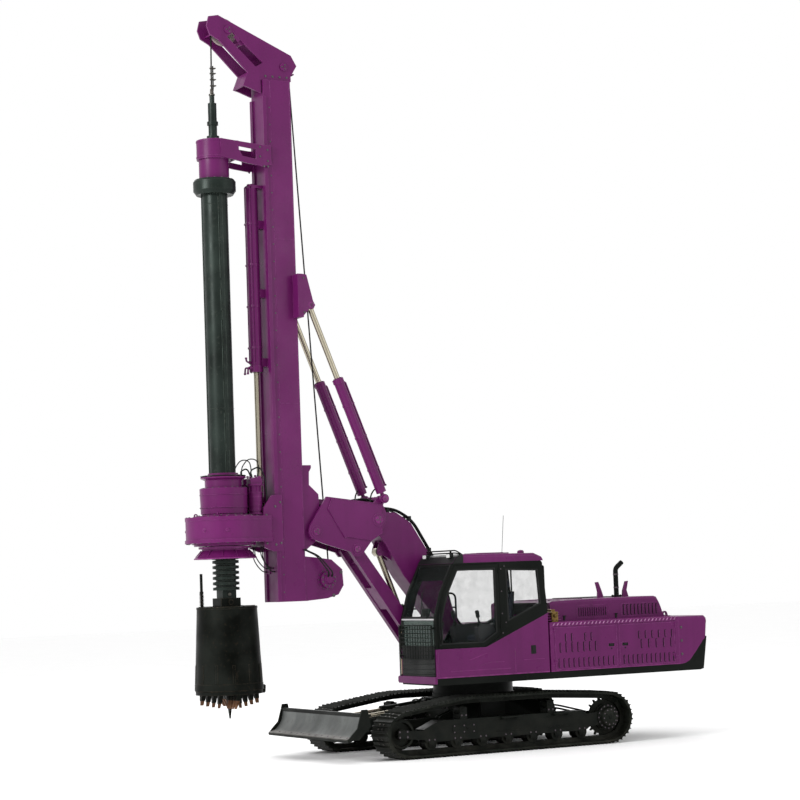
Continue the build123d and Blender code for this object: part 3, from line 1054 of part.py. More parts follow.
def winch_frame():
    """Two winch cheeks on the mast's lower rear, with a drive housing on each side and tie bars."""
    y, z = WINCH_AT
    back = MAST_REAR + SEAT_GAP
    cheek = [(back, 2900), (-2640, 2880), (-2400, 2845), (-2230, 2700), (-2215, 2470), (-2300, 2340),
             (-2480, 2290),
             (back, MAST_BOTTOM)]
    frame = box((-200, 200), (back, MAST_REAR + 25), (MAST_BOTTOM, 2900))
    for side in (-1, 1):
        frame += side_plate(cheek, sorted((side * 176, side * 200)))
        frame += bar_x(y, z, 120, sorted((side * 200, side * 262)))
        frame += bar_x(y, z, 45, sorted((side * 176, side * 160)))
    for tie_y, tie_z in ((-2250, 2660), (-2380, 2330)):
        frame += bar_x(tie_y, tie_z, 22, (-180, 180))
    return frame


def winch_drum():
    """Rope drum with end flanges and the wound rope's outer layer."""
    y, z = WINCH_AT
    bore = 45 + SEAT_GAP
    profile = [(bore, -168), (210, -168), (210, -150), (130, -150), (130, 150), (210, 150), (210, 168),
               (bore, 168)]
    return turned_x(profile, y, z)


def crowd_cylinder():
    """Crowd cylinder barrel on the mast's front face, with its clamps, top bracket and two pipes."""
    barrel = bar_z(0, CROWD_Y, CROWD_R, (CROWD_LOW, CROWD_TOP))
    barrel += bar_z(0, CROWD_Y, CROWD_R + 12, (CROWD_LOW, CROWD_LOW + 90))
    barrel += bar_z(0, CROWD_Y, 60, (CROWD_TOP, CROWD_TOP + 60))
    for z in (5700, 6700, 7700):
        barrel += box((-70, 70), (CROWD_Y + 60, MAST_FRONT - SEAT_GAP), (z - 60, z + 60))
    barrel -= bar_z(0, CROWD_Y, CROWD_BORE, (CROWD_LOW + 80, CROWD_TOP - 120))
    barrel -= bar_z(0, CROWD_Y, CROWD_ROD_R + SEAT_GAP, (CROWD_LOW - 1, CROWD_LOW + 81))
    barrel += box((-90, 90), (CROWD_Y - 30, MAST_FRONT - SEAT_GAP), (CROWD_TOP, CROWD_TOP + 40))
    for side in (-1, 1):
        pipe = bar_z(side * 78, CROWD_Y - 62, 13, (CROWD_LOW + 130, CROWD_TOP - 160))
        for z in (CROWD_LOW + 130, CROWD_TOP - 160):
            pipe += rod((side * 78, CROWD_Y - 62, z), (side * 50, CROWD_Y - 40, z), 15)
        barrel += pipe - bar_z(0, CROWD_Y, CROWD_BORE, (CROWD_LOW - 1, CROWD_TOP - 120))
    return barrel


# ---------------------------------------------------------------- rotary head
def gear_case_layer(shrink, z):
    """A slice of the gear case between two heights: round in front, drawn back to the carriage."""
    edges = (Pos(0, KELLY_Y) * Circle(GEAR_R - shrink)).edges()
    for x in (-300, 300):
        edges += (Pos(x, MAST_FRONT - 167) * Circle(60 - shrink)).edges()
    return Pos(0, 0, z[0]) * extrude(make_hull(list(edges)), z[1] - z[0], dir=(0, 0, 1))


def rotary_head():
    """Gearbox, input housing and neck, on a carriage whose claws grip the mast's rails."""
    body = gear_case_layer(GEAR_LIP, (GEAR_BOTTOM, GEAR_TOP))
    body += gear_case_layer(0, (GEAR_BOTTOM, GEAR_BOTTOM + 48))
    body += gear_case_layer(GEAR_LIP / 2, (GEAR_TOP - 50, GEAR_TOP))
    turned_top = [(0, GEAR_TOP - 1), (410, GEAR_TOP - 1), (410, GEAR_TOP + 22), (HEAD_R - 30, GEAR_TOP + 22),
                  (HEAD_R - 30, GEAR_TOP + 42), (HEAD_R - 12, GEAR_TOP + 48), (HEAD_R, HEAD_TOP - 8),
                  (HEAD_R - 8, HEAD_TOP), (NECK_R, HEAD_TOP), (NECK_R, NECK_TOP),
                  (FLANGE_R - 35, NECK_TOP + 12), (FLANGE_R, NECK_TOP + 30),
                  (FLANGE_R, NECK_TOP + 44), (FLANGE_R - 50, FLANGE_TOP), (0, FLANGE_TOP)]
    body += turned(turned_top, 0, KELLY_Y)
    body += bar_z(0, KELLY_Y, 440, (GEAR_BOTTOM - 40, GEAR_BOTTOM))
    body += box((-260, 260), (-3480, MAST_FRONT - 40), (3060, GEAR_TOP))
    body += box((-44, 44), (CROWD_Y - 50, CROWD_Y + 50), (GEAR_TOP, ROD_SEAT))
    for side in (-1, 1):
        wing = [(-3480, 3040), (-3480, 3600), (-3350, 3780), (MAST_FRONT + 60, 3780), (MAST_FRONT + 60, 3000),
                (-3330, 2980)]
        inner = RAIL_OUT + RUN_GAP
        body += side_plate(wing, sorted((side * inner, side * (inner + 34))))
        for low in (3020, 3600):
            claw = box(sorted((side * (MAST_HALF + 6), side * (inner + 1))),
                       (MAST_FRONT + 30 + SEAT_GAP, MAST_FRONT + 60), (low, low + 160))
            body += claw
    body -= bar_z(0, KELLY_Y, SLEEVE_R + 2 * SEAT_GAP, (GEAR_BOTTOM - 41, FLANGE_TOP + 1))
    return body - bar_z(0, KELLY_Y, SLEEVE_R + RUN_GAP, (GEAR_BOTTOM + 60, NECK_TOP))


def drive_motor():
    """Two hydraulic motors with planetary input stages, on the gearbox behind the kelly."""
    motors = []
    for x in (-MOTOR_X, MOTOR_X):
        motor = bar_z(x, MOTOR_Y, 116, (GEAR_TOP + 22 + SEAT_GAP, GEAR_TOP + 46))
        motor += bar_z(x, MOTOR_Y, 92, (GEAR_TOP + 40, GEAR_TOP + 92))
        motor += bar_z(x, MOTOR_Y, 103, (GEAR_TOP + 78, GEAR_TOP + 100))
        motor += bar_z(x, MOTOR_Y, 98, (GEAR_TOP + 100, 3820)) + bar_z(x, MOTOR_Y, 80, (3820, 3930))
        motor += bar_z(x, MOTOR_Y, 94, (3925, 3950))
        motor += side_plate([(MOTOR_Y - 90, 3945), (MOTOR_Y - 98, 4020), (MOTOR_Y + 62, 4062),
                             (MOTOR_Y + 88, 3985),
                             (MOTOR_Y + 80, 3945)], (x - 70, x + 70))
        motors.append(motor)
    return motors


def crowd_rod():
    """Crowd rod from inside its barrel to the fork on the carriage."""
    stem = bar_z(0, CROWD_Y, CROWD_ROD_R, (ROD_SEAT + 100, CROWD_LOW + 400))
    stem += bar_z(0, CROWD_Y, CROWD_BORE - SEAT_GAP, (CROWD_LOW + 300, CROWD_LOW + 400))
    return stem + box((-44, 44), (CROWD_Y - 50, CROWD_Y + 50), (ROD_SEAT + SEAT_GAP, ROD_SEAT + 120))


def drive_sleeve():
    """Drive sleeve through the head, with the conical pressure plate under the gearbox."""
    bore = KELLY_R + KELLY_RIB + RUN_GAP
    profile = [(bore, PLATE_BOTTOM), (PLATE_R, PLATE_BOTTOM), (PLATE_R, PLATE_BOTTOM + 16),
               (PLATE_R - 20, PLATE_BOTTOM + 28), (330, 3022), (330, 3045), (375, 3045), (375, 3075),
               (SLEEVE_R, 3075), (SLEEVE_R, FLANGE_TOP + 25),
               (bore, FLANGE_TOP + 25)]
    return turned(profile, 0, KELLY_Y)


# ---------------------------------------------------------------- kelly


def kelly_tube():
    """Outer kelly tube with three drive ribs, and the stop collar near its top."""
    core_gap = CORE_R + RUN_GAP
    tube = tube_z(0, KELLY_Y, KELLY_R, core_gap, (KELLY_BOTTOM, KELLY_TOP))
    for i in range(3):
        rib = box((-22, 22), (KELLY_R - 6, KELLY_R + KELLY_RIB), (KELLY_BOTTOM + 20, COLLAR_BOTTOM))
        tube += Pos(0, KELLY_Y, 0) * Rot(0, 0, 120 * i + 30) * rib
    collar = turned([(core_gap, COLLAR_BOTTOM), (COLLAR_R - 40, COLLAR_BOTTOM),
                     (COLLAR_R, COLLAR_BOTTOM + 60),
                     (COLLAR_R, COLLAR_TOP - 30), (COLLAR_R - 20, COLLAR_TOP), (core_gap, COLLAR_TOP)], 0,
                    KELLY_Y)
    return tube + collar


def kelly_core():
    """Inner kelly bar with its spring damper, square stub below and swivel neck above."""
    core = bar_z(0, KELLY_Y, CORE_R, (DAMPER_TOP - 20, KELLY_TOP - 60))
    core += bar_z(0, KELLY_Y, 90, (KELLY_TOP - 60, CORE_TOP))
    profile = [(0, DAMPER_BOTTOM)]
    rings = 6
    step = (DAMPER_TOP - DAMPER_BOTTOM) / rings
    for i in range(rings):
        z = DAMPER_BOTTOM + i * step
        profile += [(DAMPER_R, z), (DAMPER_R, z + 0.5 * step), (DAMPER_R - 45, z + 0.62 * step),
                    (DAMPER_R - 45, z + 0.9 * step)]
    profile += [(DAMPER_R - 45, DAMPER_TOP - 22), (DAMPER_R, DAMPER_TOP - 22), (DAMPER_R, DAMPER_TOP),
                (0, DAMPER_TOP)]
    core += turned(profile, 0, KELLY_Y)
    stub = (KELLY_Y - STUB_HALF, KELLY_Y + STUB_HALF)
    core += box((-STUB_HALF, STUB_HALF), stub, (BUCKET_TOP + 20, DAMPER_BOTTOM))
    core += bar_z(0, KELLY_Y, 62, (CORE_TOP, CORE_TOP + 480)) + bar_z(0, KELLY_Y, 80,
                                                                      (CORE_TOP + 160, CORE_TOP + 210))
    return core + bar_z(0, KELLY_Y, 36, (CORE_TOP + 480, CORE_TOP + 600))


def kelly_guide():
    """Guide ring round the kelly's top, on an arm whose shoes run on the mast's rails."""
    ring = tube_z(0, KELLY_Y, GUIDE_R + 30, 95 + RUN_GAP, (GUIDE_BOTTOM, GUIDE_TOP))
    inner = RAIL_OUT + RUN_GAP
    arm = [(KELLY_Y, GUIDE_TOP), (MAST_FRONT - 60, GUIDE_TOP - 60), (MAST_FRONT + 70, GUIDE_TOP - 60),
           (MAST_FRONT + 70, GUIDE_BOTTOM - 60), (MAST_FRONT - 60, GUIDE_BOTTOM - 90),
           (-3560, GUIDE_BOTTOM - 60),
           (KELLY_Y, GUIDE_BOTTOM + 20)]
    hole = [(-3720, GUIDE_TOP - 95), (-3420, GUIDE_TOP - 130), (-3420, GUIDE_BOTTOM + 10),
            (-3640, GUIDE_BOTTOM + 40)]
    body = ring
    for side in (-1, 1):
        x = sorted((side * inner, side * (inner + 24)))
        body += side_plate(arm, x) - side_plate(hole, (x[0] - 1, x[1] + 1))
        for low in (GUIDE_BOTTOM - 50, GUIDE_TOP - 150):
            body += box(sorted((side * (MAST_HALF + 6), side * (inner + 1))),
                        (MAST_FRONT + 30 + SEAT_GAP, MAST_FRONT + 62), (low, low + 80))
    body += box((-inner - 20, inner + 20), (-3720, -3690), (GUIDE_BOTTOM, GUIDE_TOP - 30))
    cheek = box((-inner - 20, inner + 20), (KELLY_Y, -3690), (GUIDE_BOTTOM + 20, GUIDE_TOP - 20))
    cheek -= bar_z(0, KELLY_Y, 95 + RUN_GAP, (GUIDE_BOTTOM, GUIDE_TOP))
    return body + cheek


# ---------------------------------------------------------------- bucket
def drilling_bucket():
    """Slightly flared open-bottomed shell with a square socket, top plate, and the floor's release rod."""
    gap = SEAT_GAP
    shell = turned([(0, BUCKET_TOP), (BUCKET_R_TOP, BUCKET_TOP), (BUCKET_R_BOTTOM, BUCKET_BOTTOM),
                    (BUCKET_R_BOTTOM - BUCKET_WALL, BUCKET_BOTTOM),
                    (BUCKET_R_TOP - BUCKET_WALL, BUCKET_TOP - 30),
                    (0, BUCKET_TOP - 30)], 0, KELLY_Y)
    socket = box((-150, 150), (KELLY_Y - 150, KELLY_Y + 150), (BUCKET_TOP, BUCKET_TOP + 120))
    socket -= box((-STUB_HALF - gap, STUB_HALF + gap), (KELLY_Y - STUB_HALF - gap, KELLY_Y + STUB_HALF + gap),
                  (BUCKET_TOP + 20 - gap, BUCKET_TOP + 121))
    shell += socket
    shell += bar_z(-120, KELLY_Y - 330, 20, (BUCKET_TOP - 10, 2700)) + bar_z(-120, KELLY_Y - 330, 28,
                                                                             (2420, 2450))
    for x in (-95, 70):
        shell += strap([(HINGE_Y, HINGE_Z, 23), (HINGE_Y + 3, BUCKET_BOTTOM + 30, 25)], (x, x + 25))
        shell += side_plate([(HINGE_Y - 35, BUCKET_BOTTOM + 60), (HINGE_Y + 28, BUCKET_BOTTOM + 40),
                             (HINGE_Y + 28, BUCKET_BOTTOM + 4), (HINGE_Y - 35, BUCKET_BOTTOM + 4)],
                            (x, x + 25))
    return shell - bar_x(HINGE_Y, HINGE_Z, FLOOR_PIN + SEAT_GAP, (-100, 100))


def bucket_floor():
    """Hinged floor with a soil opening, a row of cutting teeth on each side and a centre pilot."""
    low, high = BUCKET_BOTTOM - 55, BUCKET_BOTTOM - 5
    floor = bar_z(0, KELLY_Y, BUCKET_R_BOTTOM - 8, (low, high))
    for turn in (0, 180):
        sector = plan_plate([(40, 60), (400, 60), (330, 260), (150, 380), (40, 300)], (low - 1, high + 1))
        floor -= Pos(0, KELLY_Y, 0) * Rot(0, 0, turn) * sector
    for i, x in enumerate((-420, -330, -240, -150, 150, 240, 330, 420)):
        y = -30 if x > 0 else 30
        lean = -70 if x > 0 else 70
        tip = Pos(x, y + lean, low - 190) * Rectangle(40, 14)
        floor += Pos(0, KELLY_Y, 0) * loft([Pos(x, y, low) * Rectangle(52, 70), tip], ruled=True)
    pilot = loft([Pos(0, 0, low) * Rectangle(130, 60), Pos(0, 0, BUCKET_TIP) * Rectangle(16, 16)], ruled=True)
    floor += Pos(0, KELLY_Y, 0) * pilot
    floor += box((-68, 68), (KELLY_Y + 300, HINGE_Y), (low, high - 6))
    floor += bar_x(HINGE_Y, HINGE_Z, 24, (-68, 68)) + bar_x(HINGE_Y, HINGE_Z, FLOOR_PIN, (-104, 104))
    return floor


# ---------------------------------------------------------------- output
def nodes():
    """Every node's name with its solid or list of solids, about the slew axis."""
    return {
        "car_body": car_body(),
        "track_frames": both_sides(track_frame()),
        "left_track": track(),
        "right_track": mirror(track(), Plane.YZ),
        "drive_sprockets": both_sides(sprocket()),
        "front_idlers": both_sides(idler()),
        "track_rollers": [shape for y in roller_places() for shape in both_sides(roller(y, ROLLER_Z,
                                                                                        ROLLER_R))]
        + [shape for y, top in CARRIERS for shape in both_sides(carrier(y, top))],
        "slew_ring": slew_ring(),
        "dozer_blade": dozer_blade(),
        "blade_cylinder_barrels": blade_cylinder_barrels(),
        "blade_cylinder_rods": blade_cylinder_rods(),
        "upper_frame": upper_frame(),
        "counterweight": counterweight(),
        "machinery_housing": machinery_housing(),
        "right_boxes": right_boxes(),
        "left_front_door": side_door(DOOR_FRONT, DOOR_SPLIT - RUN_GAP / 2),
        "left_rear_door": side_door(DOOR_SPLIT + RUN_GAP / 2, DOOR_REAR),
        "engine_hood": engine_hood(),
        "exhaust_pipe": exhaust_pipe(),
        "engine_block": engine_block(),
        "cab_base": cab_base(),
        "cab_frame": cab_frame(),
        "cab_roof": cab_roof(),
        "cab_door": cab_door(),
        "door_glass": door_glass(),
        "cab_glass": cab_glass(),
        "operator_seat": operator_seat(),
        "control_consoles": control_consoles(),
        "boom": boom(),
        "boom_cylinder_barrel": boom_cylinder_barrel(),
        "boom_cylinder_rod": boom_cylinder_rod(),
        "lower_link": lower_link(),
        "mast_support": mast_support(),
        "mast_cylinder_barrels": mast_cylinder_barrels(),
        "mast_cylinder_rods": mast_cylinder_rods(),
        "mast": mast(),
        "mast_head": mast_head(),
        "front_sheave": sheave(*SHEAVE_FRONT, SHEAVE_R),
        "rear_sheave": sheave(*SHEAVE_REAR, REAR_SHEAVE_R),
        "winch_frame": winch_frame(),
        "winch_drum": winch_drum(),
        "crowd_cylinder": crowd_cylinder(),
        "rotary_head": rotary_head(),
        "drive_motors": drive_motor(),
        "crowd_rod": crowd_rod(),
        "drive_sleeve": drive_sleeve(),
        "kelly_tube": kelly_tube(),
        "kelly_core": kelly_core(),
        "kelly_guide": kelly_guide(),
        "drilling_bucket": drilling_bucket(),
        "bucket_floor": bucket_floor(),
    }


def main():
    os.makedirs("parts", exist_ok=True)
    for name, shape in nodes().items():
        solids = shape if isinstance(shape, list) else [shape]
        solids = [solid for item in solids for solid in item.solids()]
        placed = [Pos(0, -ORIGIN_Y, 0) * solid for solid in solids]
        whole = placed[0] if len(placed) == 1 else Compound(children=placed)
        export_step(whole, f"parts/{name}.step")


if __name__ == "__main__":
    main()
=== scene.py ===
"""Looks for the rotary piling rig: finishes, small fittings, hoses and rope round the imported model."""
import json
import math

import bmesh
import bpy
from mathutils import Matrix, Vector


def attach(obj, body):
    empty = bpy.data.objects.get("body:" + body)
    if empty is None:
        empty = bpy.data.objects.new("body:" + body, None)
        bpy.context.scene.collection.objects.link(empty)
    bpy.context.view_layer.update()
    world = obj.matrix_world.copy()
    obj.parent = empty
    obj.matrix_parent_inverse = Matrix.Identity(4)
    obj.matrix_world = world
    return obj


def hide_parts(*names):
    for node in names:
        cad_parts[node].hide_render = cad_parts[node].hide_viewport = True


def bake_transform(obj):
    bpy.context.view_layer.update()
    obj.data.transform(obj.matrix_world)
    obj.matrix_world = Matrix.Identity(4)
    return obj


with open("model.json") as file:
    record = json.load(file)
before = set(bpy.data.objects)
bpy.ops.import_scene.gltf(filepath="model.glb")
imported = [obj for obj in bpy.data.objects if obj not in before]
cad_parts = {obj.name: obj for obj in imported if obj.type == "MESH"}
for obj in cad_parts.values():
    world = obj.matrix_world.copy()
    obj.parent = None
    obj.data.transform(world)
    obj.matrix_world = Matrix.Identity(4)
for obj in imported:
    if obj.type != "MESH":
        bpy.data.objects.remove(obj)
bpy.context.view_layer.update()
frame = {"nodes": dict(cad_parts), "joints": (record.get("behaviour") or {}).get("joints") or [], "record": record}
JOINTS = {joint["name"]: joint for joint in frame["joints"]}
SLEW_Y = JOINTS["slew"]["pos_m"][1]
UP = Vector((0.0, 0.0, 1.0))


def at(x, y, z):
    """A point given from the slew axis, in metres."""
    return Vector((x, y + SLEW_Y, z))


# ---------------------------------------------------------------- camera, light and floor
CAMERA_AT = at(28.287, -16.653, 2.534)
CAMERA_LOOK = Vector((-0.87291, 0.481, 0.08165))
CAMERA_ROLL = -0.0362
CAMERA_LENS = 98.05


def make_camera():
    look = CAMERA_LOOK.normalized()
    right = look.cross(UP).normalized()
    up = right.cross(look)
    turned_right = right * math.cos(CAMERA_ROLL) + up * math.sin(CAMERA_ROLL)
    turned_up = up * math.cos(CAMERA_ROLL) - right * math.sin(CAMERA_ROLL)
    data = bpy.data.cameras.new("camera")
    data.lens = CAMERA_LENS
    data.sensor_width = 36.0
    data.clip_end = 300.0
    camera = bpy.data.objects.new("camera", data)
    bpy.context.scene.collection.objects.link(camera)
    turn = Matrix((turned_right, turned_up, -look)).transposed()
    camera.matrix_world = Matrix.Translation(CAMERA_AT) @ turn.to_4x4()
    bpy.context.scene.camera = camera


def area_light(name, place, aim, size, power):
    data = bpy.data.lights.new(name, "AREA")
    data.shape = "DISK"
    data.size = size
    data.energy = power
    light = bpy.data.objects.new(name, data)
    bpy.context.scene.collection.objects.link(light)
    light.location = place
    light.rotation_mode = "QUATERNION"
    light.rotation_quaternion = (aim - place).to_track_quat("-Z", "Y")


def make_light():
    world = bpy.data.worlds.new("studio")
    bpy.context.scene.world = world
    world.use_nodes = True
    background = world.node_tree.nodes["Background"]
    background.inputs["Color"].default_value = (1.0, 1.0, 1.0, 1.0)
    background.inputs["Strength"].default_value = 1.0
    middle = at(0.0, -1.0, 3.5)
    area_light("key", at(5.0, -22.0, 13.0), middle, 9.0, 3200.0)
    area_light("fill", at(17.0, 9.0, 9.0), middle, 10.0, 500.0)
    area_light("back", at(-15.0, 3.0, 14.0), middle, 10.0, 900.0)
    bpy.context.scene.view_settings.view_transform = "Standard"


def make_floor():
    reach = 90.0
    mesh = bpy.data.meshes.new("floor")
    corners = [(-reach, -reach, 0.0), (reach, -reach, 0.0), (reach, reach, 0.0), (-reach, reach, 0.0)]
    mesh.from_pydata(corners, [], [(0, 1, 2, 3)])
    floor = bpy.data.objects.new("floor", mesh)
    bpy.context.scene.collection.objects.link(floor)
    floor.location.z = -0.001
    mesh.materials.append(finish("floor_paint", (0.98, 0.98, 0.98), rough=0.9, patch=0.01, grain=0.0))


# ---------------------------------------------------------------- materials
class Look:
    """A new material: its shader, and the few kinds of node that feed it."""

    def __init__(self, name):
        self.material = bpy.data.materials.new(name)
        self.material.use_nodes = True
        self.nodes = self.material.node_tree.nodes
        self.links = self.material.node_tree.links
        self.shader = self.nodes["Principled BSDF"]
        self.place = self.nodes.new("ShaderNodeTexCoord").outputs["Object"]

    def noise(self, size, detail, stretch=None):
        source = self.place
        if stretch:
            mapping = self.nodes.new("ShaderNodeMapping")
            mapping.inputs["Scale"].default_value = stretch
            self.links.new(source, mapping.inputs["Vector"])
            source = mapping.outputs["Vector"]
        texture = self.nodes.new("ShaderNodeTexNoise")
        texture.inputs["Scale"].default_value = size
        texture.inputs["Detail"].default_value = detail
        self.links.new(source, texture.inputs["Vector"])
        return texture.outputs["Fac"]

    def waves(self, direction, size, distortion):
        texture = self.nodes.new("ShaderNodeTexWave")
        texture.bands_direction = direction
        texture.inputs["Scale"].default_value = size
        texture.inputs["Distortion"].default_value = distortion
        self.links.new(self.place, texture.inputs["Vector"])
        return texture.outputs["Fac"]

    def span(self, source, low, high, new_low, new_high):
        """One range of values mapped on to another."""
        remap = self.nodes.new("ShaderNodeMapRange")
        for socket, value in zip(("From Min", "From Max", "To Min", "To Max"),
                (low, high, new_low, new_high)):
            remap.inputs[socket].default_value = value
        self.links.new(source, remap.inputs["Value"])
        return remap.outputs["Result"]

    def times(self, first, second):
        product = self.nodes.new("ShaderNodeMath")
        product.operation = "MULTIPLY"
        self.links.new(first, product.inputs[0])
        self.links.new(second, product.inputs[1])
        return product.outputs["Value"]

    def mix(self, factor, first, second):
        """A blend of two colours, each a tuple or another node's output."""
        blend = self.nodes.new("ShaderNodeMix")
        blend.data_type = "RGBA"
        self.links.new(factor, blend.inputs["Factor"])
        for socket, value in ((blend.inputs["A"], first), (blend.inputs["B"], second)):
            if isinstance(value, tuple):
                socket.default_value = (*value, 1.0)
            else:
                self.links.new(value, socket)
        return blend.outputs["Result"]


def scaled(colour, factor, lift=0.0):
    return tuple(min(1.0, channel * factor + lift) for channel in colour)


def finish(name, colour, rough=0.4, metal=0.0, coat=0.0, patch=0.12, patch_size=0.9, grain=0.02,
        grain_size=160.0, dust=None, dust_top=1.2, dust_most=0.6, streak=0.0, rough_spread=0.12, speck=0.0,
        speck_tone=None, weave=0.0, strands=0.0, shine=0.16, edge=None, edge_width=0.008):
    """A procedural finish: patchy colour, edges lightened as painted highlight and wear, specks, grain, streaks
    and low-lying dust.
    """
    look = Look(name)
    nodes, links, shader = look.nodes, look.links, look.shader
    shader.inputs["Metallic"].default_value = metal
    shader.inputs["Specular IOR Level"].default_value = shine
    shader.inputs["Coat Weight"].default_value = coat
    shader.inputs["Coat Roughness"].default_value = 0.15
    patches = look.span(look.noise(patch_size, 5.0), 0.3, 0.7, 0.0, 1.0)
    tint = look.mix(patches, scaled(colour, 1.0 - patch), scaled(colour, 1.0 + patch, 0.01 * patch))
    if streak:
        runs = look.span(look.noise(5.0, 6.0, (1.0, 1.0, 0.06)), 0.5, 0.78, 0.0, streak)
        tint = look.mix(runs, tint, scaled(colour, 0.45))
    if speck:
        tint = look.mix(look.span(look.noise(23.0, 9.0), 0.6, 0.68, 0.0, speck), tint, speck_tone)
    # Painted highlight: convex edges, found where the bevelled normal turns from the face's, take the lighter edge
    # colour in noisy patches like wear.
    if edge:
        bevel = nodes.new("ShaderNodeBevel")
        bevel.samples = 4
        bevel.inputs["Radius"].default_value = edge_width
        surface = nodes.new("ShaderNodeNewGeometry")
        facing = nodes.new("ShaderNodeVectorMath")
        facing.operation = "DOT_PRODUCT"
        links.new(bevel.outputs["Normal"], facing.inputs[0])
        links.new(surface.outputs["Normal"], facing.inputs[1])
        turned = look.span(facing.outputs["Value"], 0.97, 0.8, 0.0, 1.0)
        lighter_edges = look.span(look.noise(11.0, 7.0), 0.35, 0.6, 0.15, 1.0)
        tint = look.mix(look.times(turned, lighter_edges), tint, edge)
    if dust:
        split = nodes.new("ShaderNodeSeparateXYZ")
        links.new(look.place, split.inputs["Vector"])
        height = look.span(split.outputs["Z"], 0.0, dust_top, 1.0, 0.0)
        cover = look.span(look.noise(6.0, 8.0), 0.35, 0.7, 0.0, dust_most)
        tint = look.mix(look.times(height, cover), tint, dust)
    if weave:
        threads = look.times(look.waves("X", 260.0, 0.3), look.waves("Z", 260.0, 0.3))
        tint = look.mix(look.span(threads, 0.0, 1.0, 0.0, weave), tint, scaled(colour, 2.2))
    links.new(tint, shader.inputs["Base Color"])
    smears = look.span(look.noise(3.1, 6.0), 0.3, 0.7, max(0.03, rough - rough_spread),
        min(1.0, rough + rough_spread))
    links.new(smears, shader.inputs["Roughness"])
    relief = None
    if strands:
        relief = look.waves("DIAGONAL", 55.0, 0.2)
    elif grain:
        relief = look.noise(grain_size, 2.0)
    if relief:
        bump = nodes.new("ShaderNodeBump")
        bump.inputs["Strength"].default_value = max(grain, strands)
        bump.inputs["Distance"].default_value = 0.004
        links.new(relief, bump.inputs["Height"])
        links.new(bump.outputs["Normal"], shader.inputs["Normal"])
    return look.material


DUST = (0.075, 0.068, 0.055)
PURPLE = (0.1, 0.0065, 0.078)
# The edge colours below are lighter tones painted on convex edges as highlights.
FINISHES = {
    "purple_paint": dict(colour=PURPLE, rough=0.36, coat=0.03, patch=0.12, grain=0.03, streak=0.3, dust=DUST,
        dust_top=1.0, dust_most=0.25, speck=0.25, speck_tone=(0.055, 0.006, 0.042), edge=(0.24, 0.055, 0.2)),
    "black_paint": dict(colour=(0.0034, 0.0046, 0.0035), rough=0.42, patch=0.3, grain=0.03, dust=DUST,
        dust_top=0.9, dust_most=0.12, speck=0.3, speck_tone=(0.01, 0.011, 0.009), shine=0.06),
    "kelly_steel": dict(colour=(0.009, 0.015, 0.012), rough=0.38, metal=0.3, patch=0.5, patch_size=2.2,
        grain=0.12, grain_size=60.0, streak=0.6, speck=0.5, speck_tone=(0.03, 0.036, 0.03),
        edge=(0.05, 0.058, 0.048), edge_width=0.01),
    "track_steel": dict(colour=(0.004, 0.0055, 0.0038), rough=0.48, metal=0.2, patch=0.5, patch_size=4.0,
        grain=0.25, grain_size=70.0, dust=DUST, dust_top=0.9, dust_most=0.2, speck=0.5,
        speck_tone=(0.02, 0.019, 0.015), shine=0.06, edge=(0.03, 0.03, 0.026)),
    "bucket_steel": dict(colour=(0.0032, 0.0042, 0.003), rough=0.42, metal=0.25, patch=0.5, patch_size=3.0,
        grain=0.2, grain_size=50.0, streak=0.7, speck=0.4, speck_tone=(0.02, 0.015, 0.01), shine=0.04,
        edge=(0.045, 0.036, 0.026), edge_width=0.012),
    "blade_steel": dict(colour=(0.075, 0.08, 0.082), rough=0.45, metal=0.5, patch=0.45, patch_size=2.5,
        grain=0.15, grain_size=60.0, streak=0.4, speck=0.4, speck_tone=(0.03, 0.03, 0.03)),
    "bright_rod": dict(colour=(0.33, 0.3, 0.23), rough=0.22, metal=0.9, patch=0.06, grain=0.01,
        grain_size=600.0, rough_spread=0.05, streak=0.1),
    "dark_housing": dict(colour=(0.016, 0.017, 0.017), rough=0.45, metal=0.2, patch=0.3, grain=0.08,
        speck=0.3, speck_tone=(0.04, 0.037, 0.034)),
    "seat_fabric": dict(colour=(0.02, 0.022, 0.03), rough=0.9, patch=0.2, grain=0.5, grain_size=900.0,
        weave=0.5),
    "console_plastic": dict(colour=(0.03, 0.03, 0.032), rough=0.55, patch=0.1, grain=0.2, grain_size=700.0,
        speck=0.2, speck_tone=(0.06, 0.06, 0.06)),
    "engine_iron": dict(colour=(0.06, 0.06, 0.06), rough=0.6, metal=0.3, patch=0.4, grain=0.3, speck=0.5,
        speck_tone=(0.1, 0.06, 0.04)),
}
